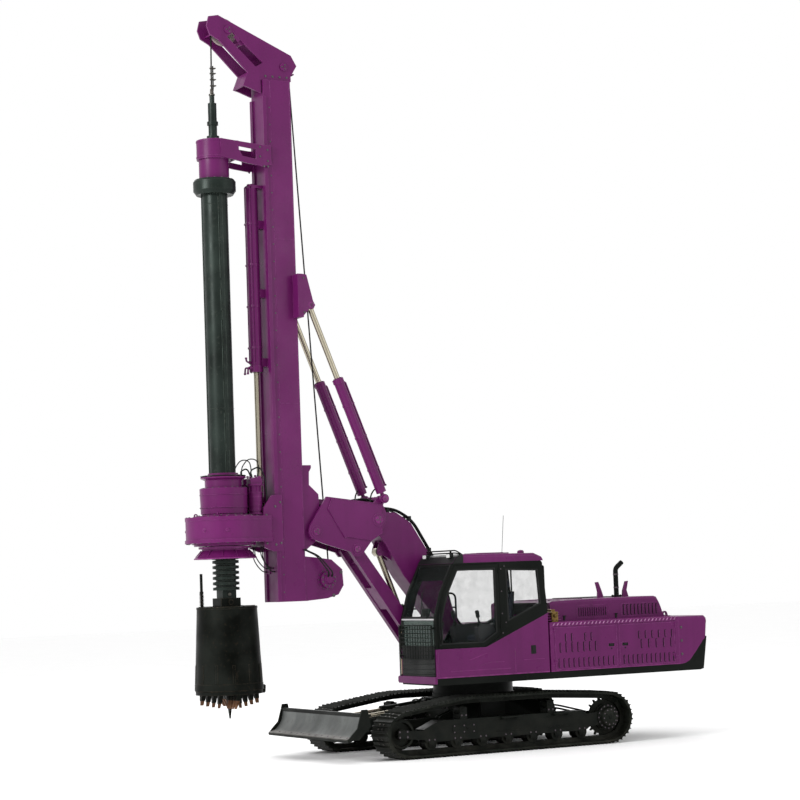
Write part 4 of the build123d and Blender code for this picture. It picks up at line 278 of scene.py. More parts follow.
EXTRA_FINISHES = {
    "hose_rubber": dict(colour=(0.006, 0.0065, 0.006), rough=0.5, patch=0.2, grain=0.15, grain_size=400.0,
        speck=0.2, speck_tone=(0.018, 0.017, 0.015)),
    "worn_edge": dict(colour=(0.075, 0.07, 0.062), rough=0.35, metal=0.7, patch=0.35, patch_size=8.0,
        grain=0.15, speck=0.5, speck_tone=(0.035, 0.028, 0.024)),
    "scoured_steel": dict(colour=(0.115, 0.122, 0.118), rough=0.42, metal=0.5, patch=0.35, patch_size=2.2,
        grain=0.12, grain_size=90.0, streak=0.5, speck=0.5, speck_tone=(0.07, 0.065, 0.06)),
    # A lighter steel for the weld seams beside the kelly's ribs: painted highlight lines along the ribs.
    "rib_highlight_steel": dict(colour=(0.03, 0.04, 0.034), rough=0.4, metal=0.4, patch=0.5, patch_size=5.0, grain=0.1,
        speck=0.5, speck_tone=(0.07, 0.072, 0.062)),
    "pale_purple": dict(colour=(0.3, 0.13, 0.26), rough=0.45, patch=0.3, patch_size=9.0, grain=0.05,
        speck=0.3, speck_tone=(0.12, 0.03, 0.09)),
    "bolt_zinc": dict(colour=(0.085, 0.07, 0.08), rough=0.38, metal=0.6, patch=0.2, grain=0.02, speck=0.3,
        speck_tone=(0.04, 0.03, 0.035)),
    "wire_rope": dict(colour=(0.014, 0.013, 0.012), rough=0.4, metal=0.5, patch=0.3, grain=0.3, strands=0.9),
    "rusty_teeth": dict(colour=(0.1, 0.045, 0.02), rough=0.6, metal=0.3, patch=0.5, patch_size=14.0,
        grain=0.25, grain_size=90.0, speck=0.5, speck_tone=(0.05, 0.028, 0.018)),
    "worn_purple": dict(colour=(0.15, 0.018, 0.118), rough=0.42, coat=0.03, patch=0.35, patch_size=9.0,
        grain=0.08, speck=0.6, speck_tone=(0.1, 0.06, 0.07)),
    "shadow_gap": dict(colour=(0.004, 0.004, 0.004), rough=0.8, patch=0.3, grain=0.2, speck=0.3,
        speck_tone=(0.01, 0.009, 0.008)),
    "moulded_black": dict(colour=(0.006, 0.007, 0.0065), rough=0.5, patch=0.15, grain=0.25, grain_size=600.0,
        speck=0.2, speck_tone=(0.016, 0.016, 0.016)),
    "brass_brown": dict(colour=(0.16, 0.1, 0.03), rough=0.4, metal=0.6, patch=0.35, patch_size=9.0, grain=0.1,
        speck=0.4, speck_tone=(0.05, 0.035, 0.02)),
    "red_lens": dict(colour=(0.3, 0.012, 0.01), rough=0.15, coat=0.6, patch=0.1, grain=0.15, grain_size=90.0),
    "clear_lens": dict(colour=(0.55, 0.56, 0.55), rough=0.12, coat=0.7, patch=0.08, grain=0.2,
        grain_size=110.0),
    "pale_trim": dict(colour=(0.42, 0.41, 0.42), rough=0.4, patch=0.12, patch_size=6.0, grain=0.05,
        streak=0.3),
    "tan_paint": dict(colour=(0.3, 0.22, 0.12), rough=0.45, patch=0.2, patch_size=6.0, grain=0.06,
        streak=0.3),
    "sheave_steel": dict(colour=(0.3, 0.25, 0.24), rough=0.4, metal=0.35, patch=0.25, patch_size=6.0,
        grain=0.1, streak=0.4, speck=0.3, speck_tone=(0.12, 0.08, 0.06)),
}


def window_glass(name, tint, alpha):
    """Thin tinted glazing with a little dirt on it that lets the inside show."""
    look = Look(name)
    look.shader.inputs["Base Color"].default_value = (*tint, 1.0)
    look.shader.inputs["Specular IOR Level"].default_value = 0.12
    dirt = look.noise(7.0, 6.0)
    for socket, low, high in (("Roughness", 0.02, 0.14), ("Alpha", alpha, min(1.0, alpha + 0.05))):
        look.links.new(look.span(dirt, 0.4, 0.7, low, high), look.shader.inputs[socket])
    return look.material


MATERIALS = {name: finish(name, **options) for name, options in {**FINISHES, **EXTRA_FINISHES}.items()}
MATERIALS["cab_window"] = window_glass("cab_window", (0.018, 0.027, 0.025), 0.07)
MATERIALS["green_glass"] = window_glass("green_glass", (0.06, 0.085, 0.075), 0.8)
MATERIALS["screen_glass"] = window_glass("screen_glass", (0.01, 0.014, 0.016), 1.0)
NODE_FINISHES = {"front_sheave": "sheave_steel", "rear_sheave": "sheave_steel", "dozer_blade": "black_paint"}


def dress_nodes():
    """Gives each CAD node the finish of its material slot, or one of its own."""
    for entry in frame["record"]["subparts"]:
        node = frame["nodes"][entry["node"]]
        node.data.materials.clear()
        node.data.materials.append(MATERIALS[NODE_FINISHES.get(entry["node"], entry["material_slot"])])


# ---------------------------------------------------------------- sizes that the fittings follow, in metres
SIDE_X = 1.276            # outer face of the side walls
SIDE_TOP = 1.815          # top of the side walls
HOOD_X = 0.85
CAB_IN = 0.25             # the cab's inner side
CAB_MID = 0.763
CAB_FRONT = -1.326
MAST_X = 0.2065
MAST_REAR = -2.822
KELLY_Y = -3.976
KELLY = Vector((0.0, KELLY_Y, 0.0))  # where the kelly's axis meets the ground
KELLY_RIBS = (120, 240, 360)        # bearings of the kelly's drive ribs, in degrees
TRACK_X = 1.048
FRAME_FACE = 0.12         # from a track's middle to its frame's side
IDLER = (-1.85, 0.347)
SPROCKET = (1.606, 0.385)
WHEELS = ((-1.85, 0.347, 0.279), (-0.85, 0.688, 0.082), (0.62, 0.682, 0.082), (1.606, 0.385, 0.317))
LINK_PITCH = 0.19
WHEEL_STEPS = 60          # corners of the chain's path round each wheel
TREAD_PITCH = 0.047       # between the lozenges of tread plate
DECK_END = -0.46          # the deck's right side starts here, just ahead of the tank
DECK_LEVELS = (1.001, 1.0985)
TANK_FRONT = -0.42
BOOM_FOOT = (-0.386, 1.655)         # pins of the linkage as (y, z) pairs
LINK_FOOT = (-0.746, 1.24)
BOOM_HEAD = (-1.64, 3.4)
LINK_HEAD = (-2.0, 2.985)
MAST_PIN = (-2.65, 3.25)
CYLINDER_FOOT = (-1.56, 3.705)
CYLINDER_EYE = (-2.675, 6.51)
CROWD_Y = -3.403          # the crowd cylinder's axis
MOTOR_X = 0.13            # the rotary head's two motors
MOTOR_Y = -3.545
HOSE_SIDES = 10


# ---------------------------------------------------------------- mesh helpers
def finish_piece(name, data, body, slot, material=None, smooth=35.0, bevel=0.0):
    """Turns mesh data, built from the slew axis, into a piece that rides on a body, or on none at first."""
    bmesh.ops.translate(data, vec=(0.0, SLEW_Y, 0.0), verts=data.verts)
    bmesh.ops.recalc_face_normals(data, faces=data.faces)
    mesh = bpy.data.meshes.new(name)
    data.to_mesh(mesh)
    data.free()
    piece = bpy.data.objects.new(name, mesh)
    bpy.context.scene.collection.objects.link(piece)
    mesh.materials.append(MATERIALS[material or slot])
    if smooth:
        mesh.shade_smooth()
        mesh.set_sharp_from_angle(angle=math.radians(smooth))
    if bevel:
        rounding = piece.modifiers.new("edges", "BEVEL")
        rounding.width = bevel
        rounding.segments = 2
        rounding.limit_method = "ANGLE"
    if body:
        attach(piece, body)
    return piece


def finish_link(name, data, first, second, start, end, slot="black_paint", material="hose_rubber"):
    """A piece baked in place on no body; the two bodies and the two points it is given are not used."""
    piece = finish_piece(name, data, None, slot, material)
    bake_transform(piece)


def bake(piece):
    """Applies a piece's modifiers to its mesh."""
    bpy.context.view_layer.update()
    shaped = bpy.data.meshes.new_from_object(piece.evaluated_get(bpy.context.evaluated_depsgraph_get()))
    piece.modifiers.clear()
    old = piece.data
    piece.data = shaped
    bpy.data.meshes.remove(old)


def block(data, low, high):
    """A box between two corners."""
    low, high = Vector(low), Vector(high)
    made = bmesh.ops.create_cube(data, size=1.0)
    bmesh.ops.scale(data, vec=high - low, verts=made["verts"])
    bmesh.ops.translate(data, vec=(low + high) / 2, verts=made["verts"])


def frame_along(direction):
    """Two unit vectors square to a direction."""
    other = Vector((1, 0, 0)) if abs(direction.x) < 0.8 else Vector((0, 1, 0))
    side = direction.cross(other).normalized()
    return side, side.cross(direction).normalized()


def flat(degrees):
    """A level unit vector, turned about the vertical from the machine's left side."""
    turn = math.radians(degrees)
    return Vector((math.cos(turn), math.sin(turn), 0.0))


def circle(centre, side, over, radius, sides):
    turns = [2 * math.pi * i / sides for i in range(sides)]
    return [centre + side * radius * math.cos(turn) + over * radius * math.sin(turn) for turn in turns]


def bridge(data, first, second):
    """Faces from one loop of corners to another with the same number."""
    for i in range(len(first)):
        k = (i + 1) % len(first)
        data.faces.new((first[i], first[k], second[k], second[i]))


def lathe(data, profile, centre, direction, sides):
    """A closed turned form: profile holds (distance along the axis, radius) pairs from end to end."""
    centre, direction = Vector(centre), Vector(direction).normalized()
    side, over = frame_along(direction)
    rings = []
    for along, radius in profile:
        middle = centre + direction * along
        corners = circle(middle, side, over, radius, sides) if radius > 0 else [middle]
        rings.append([data.verts.new(corner) for corner in corners])
    for first, second in zip(rings, rings[1:]):
        for i in range(sides):
            a, b = i % len(first), (i + 1) % len(first)
            c, d = (i + 1) % len(second), i % len(second)
            data.faces.new(list(dict.fromkeys((first[a], first[b], second[c], second[d]))))
    for end in (rings[0], rings[-1]):
        if len(end) > 1:
            data.faces.new(end)


def ring(data, profile, centre, direction, sides):
    """A turned form with a hole: profile is a closed section of (distance along the axis, radius) pairs."""
    centre, direction = Vector(centre), Vector(direction).normalized()
    side, over = frame_along(direction)
    rings = []
    for along, radius in profile:
        corners = circle(centre + direction * along, side, over, radius, sides)
        rings.append([data.verts.new(corner) for corner in corners])
    for first, second in zip(rings, rings[1:] + rings[:1]):
        bridge(data, first, second)


def hoop(data, low, high, inner, outer, centre, direction, sides=32):
    """A ring of square section between two distances along its axis."""
    ring(data, [(low, inner), (low, outer), (high, outer), (high, inner)], centre, direction, sides)


def bolt(data, place, direction, size=0.012, height=0.01):
    """A hex head on a washer, seated at a place and standing along a direction."""
    lathe(data, [(0.0, size * 1.3), (height * 0.25, size * 1.3)], place, direction, 12)
    lathe(data, [(height * 0.25, size), (height * 0.9, size), (height, size * 0.85)], place, direction, 6)


def coil(start, side, over, radius, advance, turns, steps):
    """A route that winds round an axis; side and over point across it, advance runs along it."""
    route = []
    for i in range(turns * steps + 1):
        turn = 2 * math.pi * i / steps
        across = Vector(side) * math.cos(turn) + Vector(over) * math.sin(turn)
        route.append(start + across * radius + advance * i / (turns * steps))
    return route


def ring_places(centre, direction, radius, count, start=0.0):
    """Evenly spaced places on a circle about an axis."""
    side, over = frame_along(Vector(direction).normalized())
    for i in range(count):
        turn = start + 2 * math.pi * i / count
        yield Vector(centre) + side * radius * math.cos(turn) + over * radius * math.sin(turn)


def bolt_ring(data, centre, direction, radius, count, size=0.012, start=0.0):
    for place in ring_places(centre, direction, radius, count, start):
        bolt(data, place, direction, size, size * 0.8)


def rounded(points, radius=0.1, steps=6):
    """A route with its corners rounded off."""
    route = [Vector(points[0])]
    for before, here, after in zip(points, points[1:], points[2:]):
        before, here, after = Vector(before), Vector(here), Vector(after)
        cut = min(radius, (here - before).length * 0.48, (after - here).length * 0.48)
        start = here + (before - here).normalized() * cut
        end = here + (after - here).normalized() * cut
        for i in range(steps + 1):
            share = i / steps
            route.append(start * (1 - share) ** 2 + here * 2 * share * (1 - share) + end * share ** 2)
    route.append(Vector(points[-1]))
    return route


def pipe(data, route, radius, sides=HOSE_SIDES):
    """A round tube along a route, capped at both ends."""
    rings = []
    side = None
    for i, point in enumerate(route):
        ahead = (route[min(i + 1, len(route) - 1)] - route[max(i - 1, 0)]).normalized()
        if side is None:
            side, over = frame_along(ahead)
        side = (side - ahead * side.dot(ahead)).normalized()
        over = ahead.cross(side)
        rings.append([data.verts.new(corner) for corner in circle(point, side, over, radius, sides)])
    for first, second in zip(rings, rings[1:]):
        bridge(data, first, second)
    data.faces.new(rings[0])
    data.faces.new(rings[-1])


def bar(data, start, end, radius, sides=12):
    pipe(data, [Vector(start), Vector(end)], radius, sides)


def hose(data, points, radius, bend, pieces=1):
    """A hose with a crimped fitting at each end; its runs are cut into pieces where it has to bend."""
    route = rounded(points, bend, 8)
    dense = []
    for first, second in zip(route, route[1:]):
        dense += [first.lerp(second, i / pieces) for i in range(pieces)]
    dense.append(route[-1])
    pipe(data, dense, radius)
    for end, inner in ((route[0], route[1]), (route[-1], route[-2])):
        lathe(data, [(0.0, radius * 0.9), (0.0, radius * 1.35), (radius * 3.5, radius * 1.35),
            (radius * 3.6, radius)], end, inner - end, 10)


def corner_at(pair, depth, axis):
    first, second = pair
    if axis == "x":
        return Vector((depth, first, second))
    if axis == "y":
        return Vector((first, depth, second))
    return Vector((first, second, depth))


def prism(data, outline, low, high, axis="x"):
    """A polygon of two coordinates pushed along an axis from one depth to the other, in either order."""
    low, high = sorted((low, high))
    near = [data.verts.new(corner_at(pair, low, axis)) for pair in outline]
    far = [data.verts.new(corner_at(pair, high, axis)) for pair in outline]
    data.faces.new(near)
    data.faces.new(far)
    bridge(data, near, far)


def wedge(data, corners):
    """A solid between two four-cornered ends; the first four corners are one end."""
    near, far = [[data.verts.new(corner) for corner in end] for end in (corners[:4], corners[4:])]
    data.faces.new(near)
    data.faces.new(far)
    bridge(data, near, far)


def inset(outline, distance):
    """A polygon moved inwards by a distance, with mitred corners."""
    points = [Vector(pair) for pair in outline]
    area = sum(a.x * b.y - b.x * a.y for a, b in zip(points, points[1:] + points[:1]))
    turn = 1.0 if area > 0 else -1.0
    moved = []
    for before, here, after in zip(points[-1:] + points[:-1], points, points[1:] + points[:1]):
        first, second = (here - before).normalized(), (after - here).normalized()
        normal = Vector((-first.y, first.x)) * turn
        middle = (normal + Vector((-second.y, second.x)) * turn).normalized()
        moved.append(tuple(here + middle * distance / middle.dot(normal)))
    return moved


def band(data, outer, inner, low, high, axis="x"):
    """A flat frame between two outlines with the same number of corners."""
    loops = [[data.verts.new(corner_at(pair, depth, axis)) for pair in outline] for depth in (low, high)
        for outline in (outer, inner)]
    for first, second in ((0, 1), (2, 3), (0, 2), (1, 3)):
        bridge(data, loops[first], loops[second])


def soft_box(u, v, half_u, half_v, radius, steps=4):
    """Outline of a rectangle with round corners; the greatest radius makes a slot with round ends."""
    outline = []
    for sign_u, sign_v, start in ((1, 1, 0), (-1, 1, 90), (-1, -1, 180), (1, -1, 270)):
        for i in range(steps + 1):
            turn = math.radians(start + 90 * i / steps)
            outline.append((u + sign_u * (half_u - radius) + radius * math.cos(turn),
                v + sign_v * (half_v - radius) + radius * math.sin(turn)))
    return outline


def soft_band(data, u, v, half_u, half_v, width, radii, low, high, axis="x"):
    """A flat frame with round corners; radii are its outer and inner corners'."""
    outer, inner = radii
    band(data, soft_box(u, v, half_u, half_v, outer), soft_box(u, v, half_u - width, half_v - width, inner),
        low, high, axis)


def spread(low, high, count):
    """Evenly spaced values, both ends included."""
    return [low + (high - low) * i / (count - 1) for i in range(count)]


# ---------------------------------------------------------------- undercarriage
def chain_pins():
    """Pin places of a track chain as (y, z) pairs, one per link, along its tight loop round the wheels."""
    tangents = []
    for (y0, z0, r0), (y1, z1, r1) in zip(WHEELS, WHEELS[1:] + WHEELS[:1]):
        normal = math.atan2(z1 - z0, y1 - y0) + math.acos((r0 - r1) / math.dist((y0, z0), (y1, z1)))
        square = Vector((math.cos(normal), math.sin(normal)))
        tangents.append((Vector((y0, z0)) + square * r0, Vector((y1, z1)) + square * r1, normal))
    loop = []
    for i, (start, end, normal) in enumerate(tangents):
        following = (i + 1) % len(WHEELS)
        y, z, r = WHEELS[following]
        turn = (normal - tangents[following][2]) % (2 * math.pi)
        loop += [start, end]
        for k in range(1, WHEEL_STEPS):
            bearing = normal - turn * k / WHEEL_STEPS
            loop.append(Vector((y + r * math.cos(bearing), z + r * math.sin(bearing))))
    closed = loop + loop[:1]
    total = sum((b - a).length for a, b in zip(closed, closed[1:]))
    count = round(total / LINK_PITCH)
    pins, walked, wanted = [], 0.0, 0.0
    for a, b in zip(closed, closed[1:]):
        step = (b - a).length
        while len(pins) < count and walked + step >= wanted:
            pins.append(a.lerp(b, (wanted - walked) / step if step else 0.0))
            wanted = total * len(pins) / count
        walked += step
    return pins


def track_fittings(side, name):
    """Pin ends on the link rails and four bolts in every shoe."""
    data = bmesh.new()
    bolts = bmesh.new()
    middle = side * TRACK_X
    pins = chain_pins()
    for first, second in zip(pins, pins[1:] + pins[:1]):
        run = Vector((0.0, second.x - first.x, second.y - first.y))
        start = Vector((middle, first.x, first.y))
        out = Vector((0.0, -run.z, run.y)).normalized()
        for face in (-1, 1):
            lathe(data, [(0.0, 0.027), (0.0015, 0.027), (0.0015, 0.017), (0.0027, 0.016)],
                start + Vector((face * 0.077, 0.0, 0.0)), (face, 0.0, 0.0), 12)
            for share in (0.31, 0.69):
                place = start + run * share + out * 0.041 + Vector((face * 0.058, 0.0, 0.0))
                lathe(bolts, [(0.0, 0.014), (0.01, 0.014), (0.012, 0.011)], place, out, 6)
    finish_piece(f"{name}_link_pins", data, "undercarriage", "track_steel")
    finish_piece(f"{name}_shoe_bolts", bolts, "undercarriage", "track_steel", "worn_edge")


def track_frame_fittings(side, name):
    """Drive flange, idler plates, roller caps and covers on one track frame's outer face."""
    data = bmesh.new()
    bolts = bmesh.new()
    out = (side, 0.0, 0.0)

    def face(depth, y, z):
        return Vector((side * (TRACK_X + depth), y, z))

    def plate(outline, low, high):
        prism(data, outline, side * (TRACK_X + low), side * (TRACK_X + high))

    lathe(data, [(0.0, 0.178), (0.004, 0.182), (0.014, 0.182), (0.018, 0.178)], face(FRAME_FACE, *SPROCKET),
        out, 36)
    bolt_ring(bolts, face(0.138, *SPROCKET), out, 0.166, 16, 0.009)
    bolt_ring(bolts, face(0.1925, *SPROCKET), out, 0.108, 10, 0.009, 0.2)
    lathe(data, [(0.0, 0.034), (0.008, 0.034), (0.012, 0.026), (0.016, 0.026)], face(0.2, *SPROCKET), out, 6)
    for turn in (0.5, 2.6):
        place = face(0.197, SPROCKET[0] + 0.075 * math.cos(turn), SPROCKET[1] + 0.075 * math.sin(turn))
        lathe(data, [(0.0, 0.013), (0.01, 0.013), (0.012, 0.01)], place, out, 6)
    plate(soft_box(*IDLER, 0.085, 0.06, 0.02), FRAME_FACE, 0.131)
    for y in (-0.062, 0.062):
        for z in (-0.038, 0.038):
            bolt(bolts, face(0.131, IDLER[0] + y, IDLER[1] + z), out, 0.011)
    for y in spread(-1.39, 1.146, 7):
        lathe(data, [(0.0, 0.036), (0.006, 0.036), (0.009, 0.03)], face(0.116, y, 0.195), out, 16)
        for shift in (-0.045, 0.045):
            bolt(bolts, face(FRAME_FACE, y + shift, 0.245), out, 0.01)
    for y, z in ((-0.85, 0.633), (0.62, 0.627)):
        lathe(data, [(0.0, 0.032), (0.008, 0.032), (0.01, 0.026)], face(0.11, y, z), out, 16)
        for shift in (-0.035, 0.035):
            bolt(bolts, face(0.11, y + shift, z - 0.075), out, 0.01)
    plate(soft_box(-0.86, 0.37, 0.19, 0.062, 0.02), FRAME_FACE, 0.126)
    for y in (-1.02, -0.86, -0.7):
        for z in (0.325, 0.415):
            bolt(bolts, face(0.126, y, z), out, 0.009)
    lathe(data, [(0.0, 0.018), (0.014, 0.018), (0.02, 0.01)], face(0.126, -0.8, 0.37), out, 10)
    for low, high in ((-0.33, 0.1), (0.55, 0.98)):
        for z in (0.3, 0.452):
            plate(soft_box((low + high) / 2, z, (high - low) / 2, 0.008, 0.006), FRAME_FACE, 0.128)
    for y in (-0.115, 0.765):
        for step in (-0.11, 0.11):
            plate([(y + step - 0.02, 0.468), (y + step + 0.02, 0.468), (y + step + 0.02, 0.5),
                (y + step - 0.02, 0.5)], FRAME_FACE, 0.205)
        plate(soft_box(y, 0.494, 0.16, 0.01, 0.009), 0.195, 0.222)
        for share in spread(-0.12, 0.12, 9):
            plate([(y + share - 0.004, 0.5), (y + share + 0.004, 0.5), (y + share, 0.508)], FRAME_FACE, 0.22)
    finish_piece(f"{name}_frame_fittings", data, "undercarriage", "track_steel", "black_paint", bevel=0.0015)
    finish_piece(f"{name}_frame_bolts", bolts, "undercarriage", "track_steel", "bolt_zinc")


def travel_hoses():
    """Drive hoses from the centre box to both sprocket motors, and the bolts of box and slew ring."""
    data = bmesh.new()
    for side in (-1, 1):
        for drop in (0.0, 0.045):
            route = [(0.3, 0.62, 0.6), (0.3, 0.8, 0.6), (0.62, 1.05, 0.58), (0.82, 1.42, 0.47),
                (0.866, 1.58, 0.42)]
            hose(data, [(side * x, y, z - drop) for x, y, z in route], 0.014, 0.12)
    finish_piece("travel_hoses", data, "undercarriage", "black_paint", "hose_rubber")
    bolts = bmesh.new()
    for side in (-1, 1):
        for end, across in ((-1, (0.2, 0.32)), (1, (0.3, 0.42))):
            for z in (0.5, 0.62):
                for x in across:
                    bolt(bolts, (side * x, end * 0.64, z), (0, end, 0), 0.01)
    bolt_ring(bolts, (0.0, 0.0, 0.75), UP, 0.575, 30, 0.01)
    finish_piece("centre_box_bolts", bolts, "undercarriage", "black_paint", "bolt_zinc")


def face_point(share, rise):
    """A (y, z) point on the blade's hollow face: share runs from edge to lip, rise stands before it."""
    low, high, hollow = Vector((-2.79, 0.33)), Vector((-2.56, 0.68)), 0.085
    chord = high - low
    radius = (chord.length ** 2 / 4 + hollow ** 2) / (2 * hollow)
    back = Vector((chord.y, -chord.x)).normalized()
    centre = (low + high) / 2 - back * (radius - hollow)
    first = math.atan2(low.y - centre.y, low.x - centre.x)
    last = math.atan2(high.y - centre.y, high.x - centre.x)
    turn = first + (last - first) * share
    return (centre.x + (radius - rise) * math.cos(turn), centre.y + (radius - rise) * math.sin(turn))


def face_strip(data, first, last, thick, half, steps):
    """A plate that lies on the blade's hollow face."""
    shares = spread(first, last, steps)
    outline = [face_point(share, 0.0) for share in shares]
    outline += [face_point(share, thick) for share in reversed(shares)]
    prism(data, outline, -half, half)


def blade_fittings():
    """Scoured face, bolted cutting edge, back ribs, arm strips and cylinder hoses on the blade."""
    data = bmesh.new()
    face_strip(data, 0.17, 0.9, 0.003, 1.258, 16)
    finish_piece("blade_face", data, "blade", "blade_steel", "scoured_steel")
    data = bmesh.new()
    face_strip(data, 0.0, 0.19, 0.014, 1.262, 6)
    finish_piece("blade_cutting_edge", data, "blade", "blade_steel", "worn_edge", bevel=0.002)
    bolts = bmesh.new()
    for x in spread(-1.18, 1.18, 13):
        (y0, z0), (y1, z1) = face_point(0.11, 0.013), face_point(0.11, 0.02)
        lathe(bolts, [(0.0, 0.016), (0.004, 0.015), (0.006, 0.01)], (x, y0, z0), (0.0, y1 - y0, z1 - z0), 12)
    for side in (-1, 1):
        for x, y, z, reach in ((0.42, -0.82, 0.45, 0.086), (0.23, -2.13, 0.56, 0.069)):
            for end in (-1, 1):
                bolt(bolts, (side * x + end * reach, y, z), (end, 0, 0), 0.016, 0.008)
    finish_piece("blade_bolts", bolts, "blade", "blade_steel", "bolt_zinc")
    data = bmesh.new()
    block(data, (-1.262, -2.562, 0.668), (1.262, -2.546, 0.684))
    for x in (-0.86, 0.0, 0.86):
        prism(data, [(-2.55, 0.46), (-2.43, 0.47), (-2.44, 0.56), (-2.5, 0.66)], x - 0.01, x + 0.01)
    for side in (-1, 1):
        x = side * 0.42
        for low, high in ((-2.3, -1.62), (-1.38, -0.98)):
            block(data, (x - 0.043, low, 0.462), (x + 0.043, high, 0.47))
    finish_piece("blade_ribs", data, "blade", "blade_steel", "black_paint", bevel=0.002)
    for side, name in ((-1, "right"), (1, "left")):
        data = bmesh.new()
        x = side * 0.23
        for shift in (0.075, 0.105):
            hose(data, [(x + side * shift, -0.636, 0.66), (x + side * shift, -0.72, 0.69),
                (x + side * (shift - 0.02), -0.8, 0.745), (x + side * 0.02, -0.9, 0.725)], 0.01, 0.06)
        finish_link(f"{name}_blade_hoses", data, "undercarriage", "blade_barrels", (x, -0.66, 0.69),
            (x, -0.88, 0.69))


# ---------------------------------------------------------------- upper body
def louvres(dark, lids, wall, out, places, low, high, width=0.032):
    """Upright pressed slots in a side wall: each a dark plate of painted shade for its opening, beside a raised
    lid.
    """
    half = (high - low) / 2
    for y in places:
        prism(dark, soft_box(y, low + half, width / 2, half, width * 0.49), wall, wall + out * 0.0012)
        lid = [(wall, y + width * 0.52), (wall + out * 0.009, y - width * 0.02),
            (wall + out * 0.008, y - width * 0.1), (wall, y - width * 0.04)]
        prism(lids, lid, low + width * 0.3, high - width * 0.3, axis="z")


def side_louvres():
    """Louvres in the left side's doors, and the same rows on the right wall."""
    rows = {
        "front_service_door": ((spread(0.76, 1.38, 7), 1.37, 1.515),
            ((0.86, 0.965, 1.2, 1.31), 1.525, 1.645), (spread(0.73, 1.69, 12), 1.15, 1.285)),
        "rear_service_door": ((spread(2.2, 2.74, 5), 1.37, 1.505), (spread(2.16, 2.76, 6), 1.515, 1.63),
            (spread(1.88, 2.78, 12), 1.15, 1.285)),
    }
    for body, groups in rows.items():
        right_name = body.replace("service_door", "right_wall")
        for side, rides, name in ((1, body, body), (-1, "upper", right_name)):
            dark, lids = bmesh.new(), bmesh.new()
            for places, low, high in groups:
                louvres(dark, lids, side * SIDE_X, side, places, low, high)
            finish_piece(f"{name}_slots", dark, rides, "purple_paint", "shadow_gap")
            finish_piece(f"{name}_lids", lids, rides, "purple_paint", smooth=60.0)


def door_fittings():
    """Pressed seams, latch levers and locks on the two side doors."""
    for body, low, high, handle in (("front_service_door", 0.651, 1.777, 1.657),
            ("rear_service_door", 1.783, 2.829, 1.903)):
        metal = bmesh.new()
        depths = (SIDE_X - 0.001, SIDE_X + 0.003)
        soft_band(metal, (low + high) / 2, 1.4305, (high - low) / 2 - 0.018, 0.3045, 0.009, (0.03, 0.024),
            *depths)
        soft_band(metal, handle, 1.445, 0.064, 0.034, 0.011, (0.012, 0.006), *depths)
        finish_piece(f"{body}_seams", metal, body, "purple_paint", smooth=60.0)
        dark = bmesh.new()
        prism(dark, soft_box(handle, 1.445, 0.052, 0.022, 0.006), SIDE_X - 0.0098, SIDE_X - 0.0085)
        prism(dark, soft_box(handle + 0.006, 1.452, 0.036, 0.01, 0.006), SIDE_X - 0.0085, SIDE_X + 0.003)
        lathe(dark, [(0.0, 0.012), (0.003, 0.012), (0.004, 0.009)], (SIDE_X, handle, 1.392), (1, 0, 0), 14)
        finish_piece(f"{body}_latch", dark, body, "purple_paint", "moulded_black")


def lozenge(data, x, y, turn):
    """One raised lozenge of tread plate on the side walls' top."""
    long = Vector((math.cos(turn), math.sin(turn))) * 0.019
    short = Vector((-math.sin(turn), math.cos(turn))) * 0.006
    outline = [long, long * 0.55 + short, -long * 0.55 + short, -long, -long * 0.55 - short,
        long * 0.55 - short]
    prism(data, [(x + corner.x, y + corner.y) for corner in outline], SIDE_TOP, SIDE_TOP + 0.0022, "z")


def tread_plates():
    """Tread plate, edge grips and trim strips along the housing's sides."""
    for side, name in ((1, "left"), (-1, "right")):
        data = bmesh.new()
        start = 0.64 if side > 0 else -0.36
        for i in range(round((2.86 - start) / TREAD_PITCH)):
            for row in range(8):
                lozenge(data, side * (0.897 + TREAD_PITCH * row), start + TREAD_PITCH * i,
                    math.radians(45 if (i + row) % 2 else 135))
        finish_piece(f"{name}_tread_plate", data, "upper", "purple_paint", "worn_purple", smooth=0.0)
        data = bmesh.new()
        low, high = 0.6 if side > 0 else -0.41, 2.88
        for bottom, top, face in ((1.756, 1.762, 1.2795), (1.807, 1.816, 1.2805), (1.102, 1.116, 1.2815)):
            block(data, (side * SIDE_X, low, bottom), (side * face, high, top))
        grips = bmesh.new()
        for y in spread(0.66, 2.82, 33):
            outline = [(y - 0.022, 1.768), (y - 0.002, 1.768), (y + 0.022, 1.803), (y + 0.002, 1.803)]
            prism(grips, outline, side * SIDE_X, side * 1.2785)
        finish_piece(f"{name}_edge_grips", grips, "upper", "purple_paint", "pale_purple", smooth=0.0)
        finish_piece(f"{name}_side_trim", data, "upper", "purple_paint", "worn_purple", bevel=0.0012)


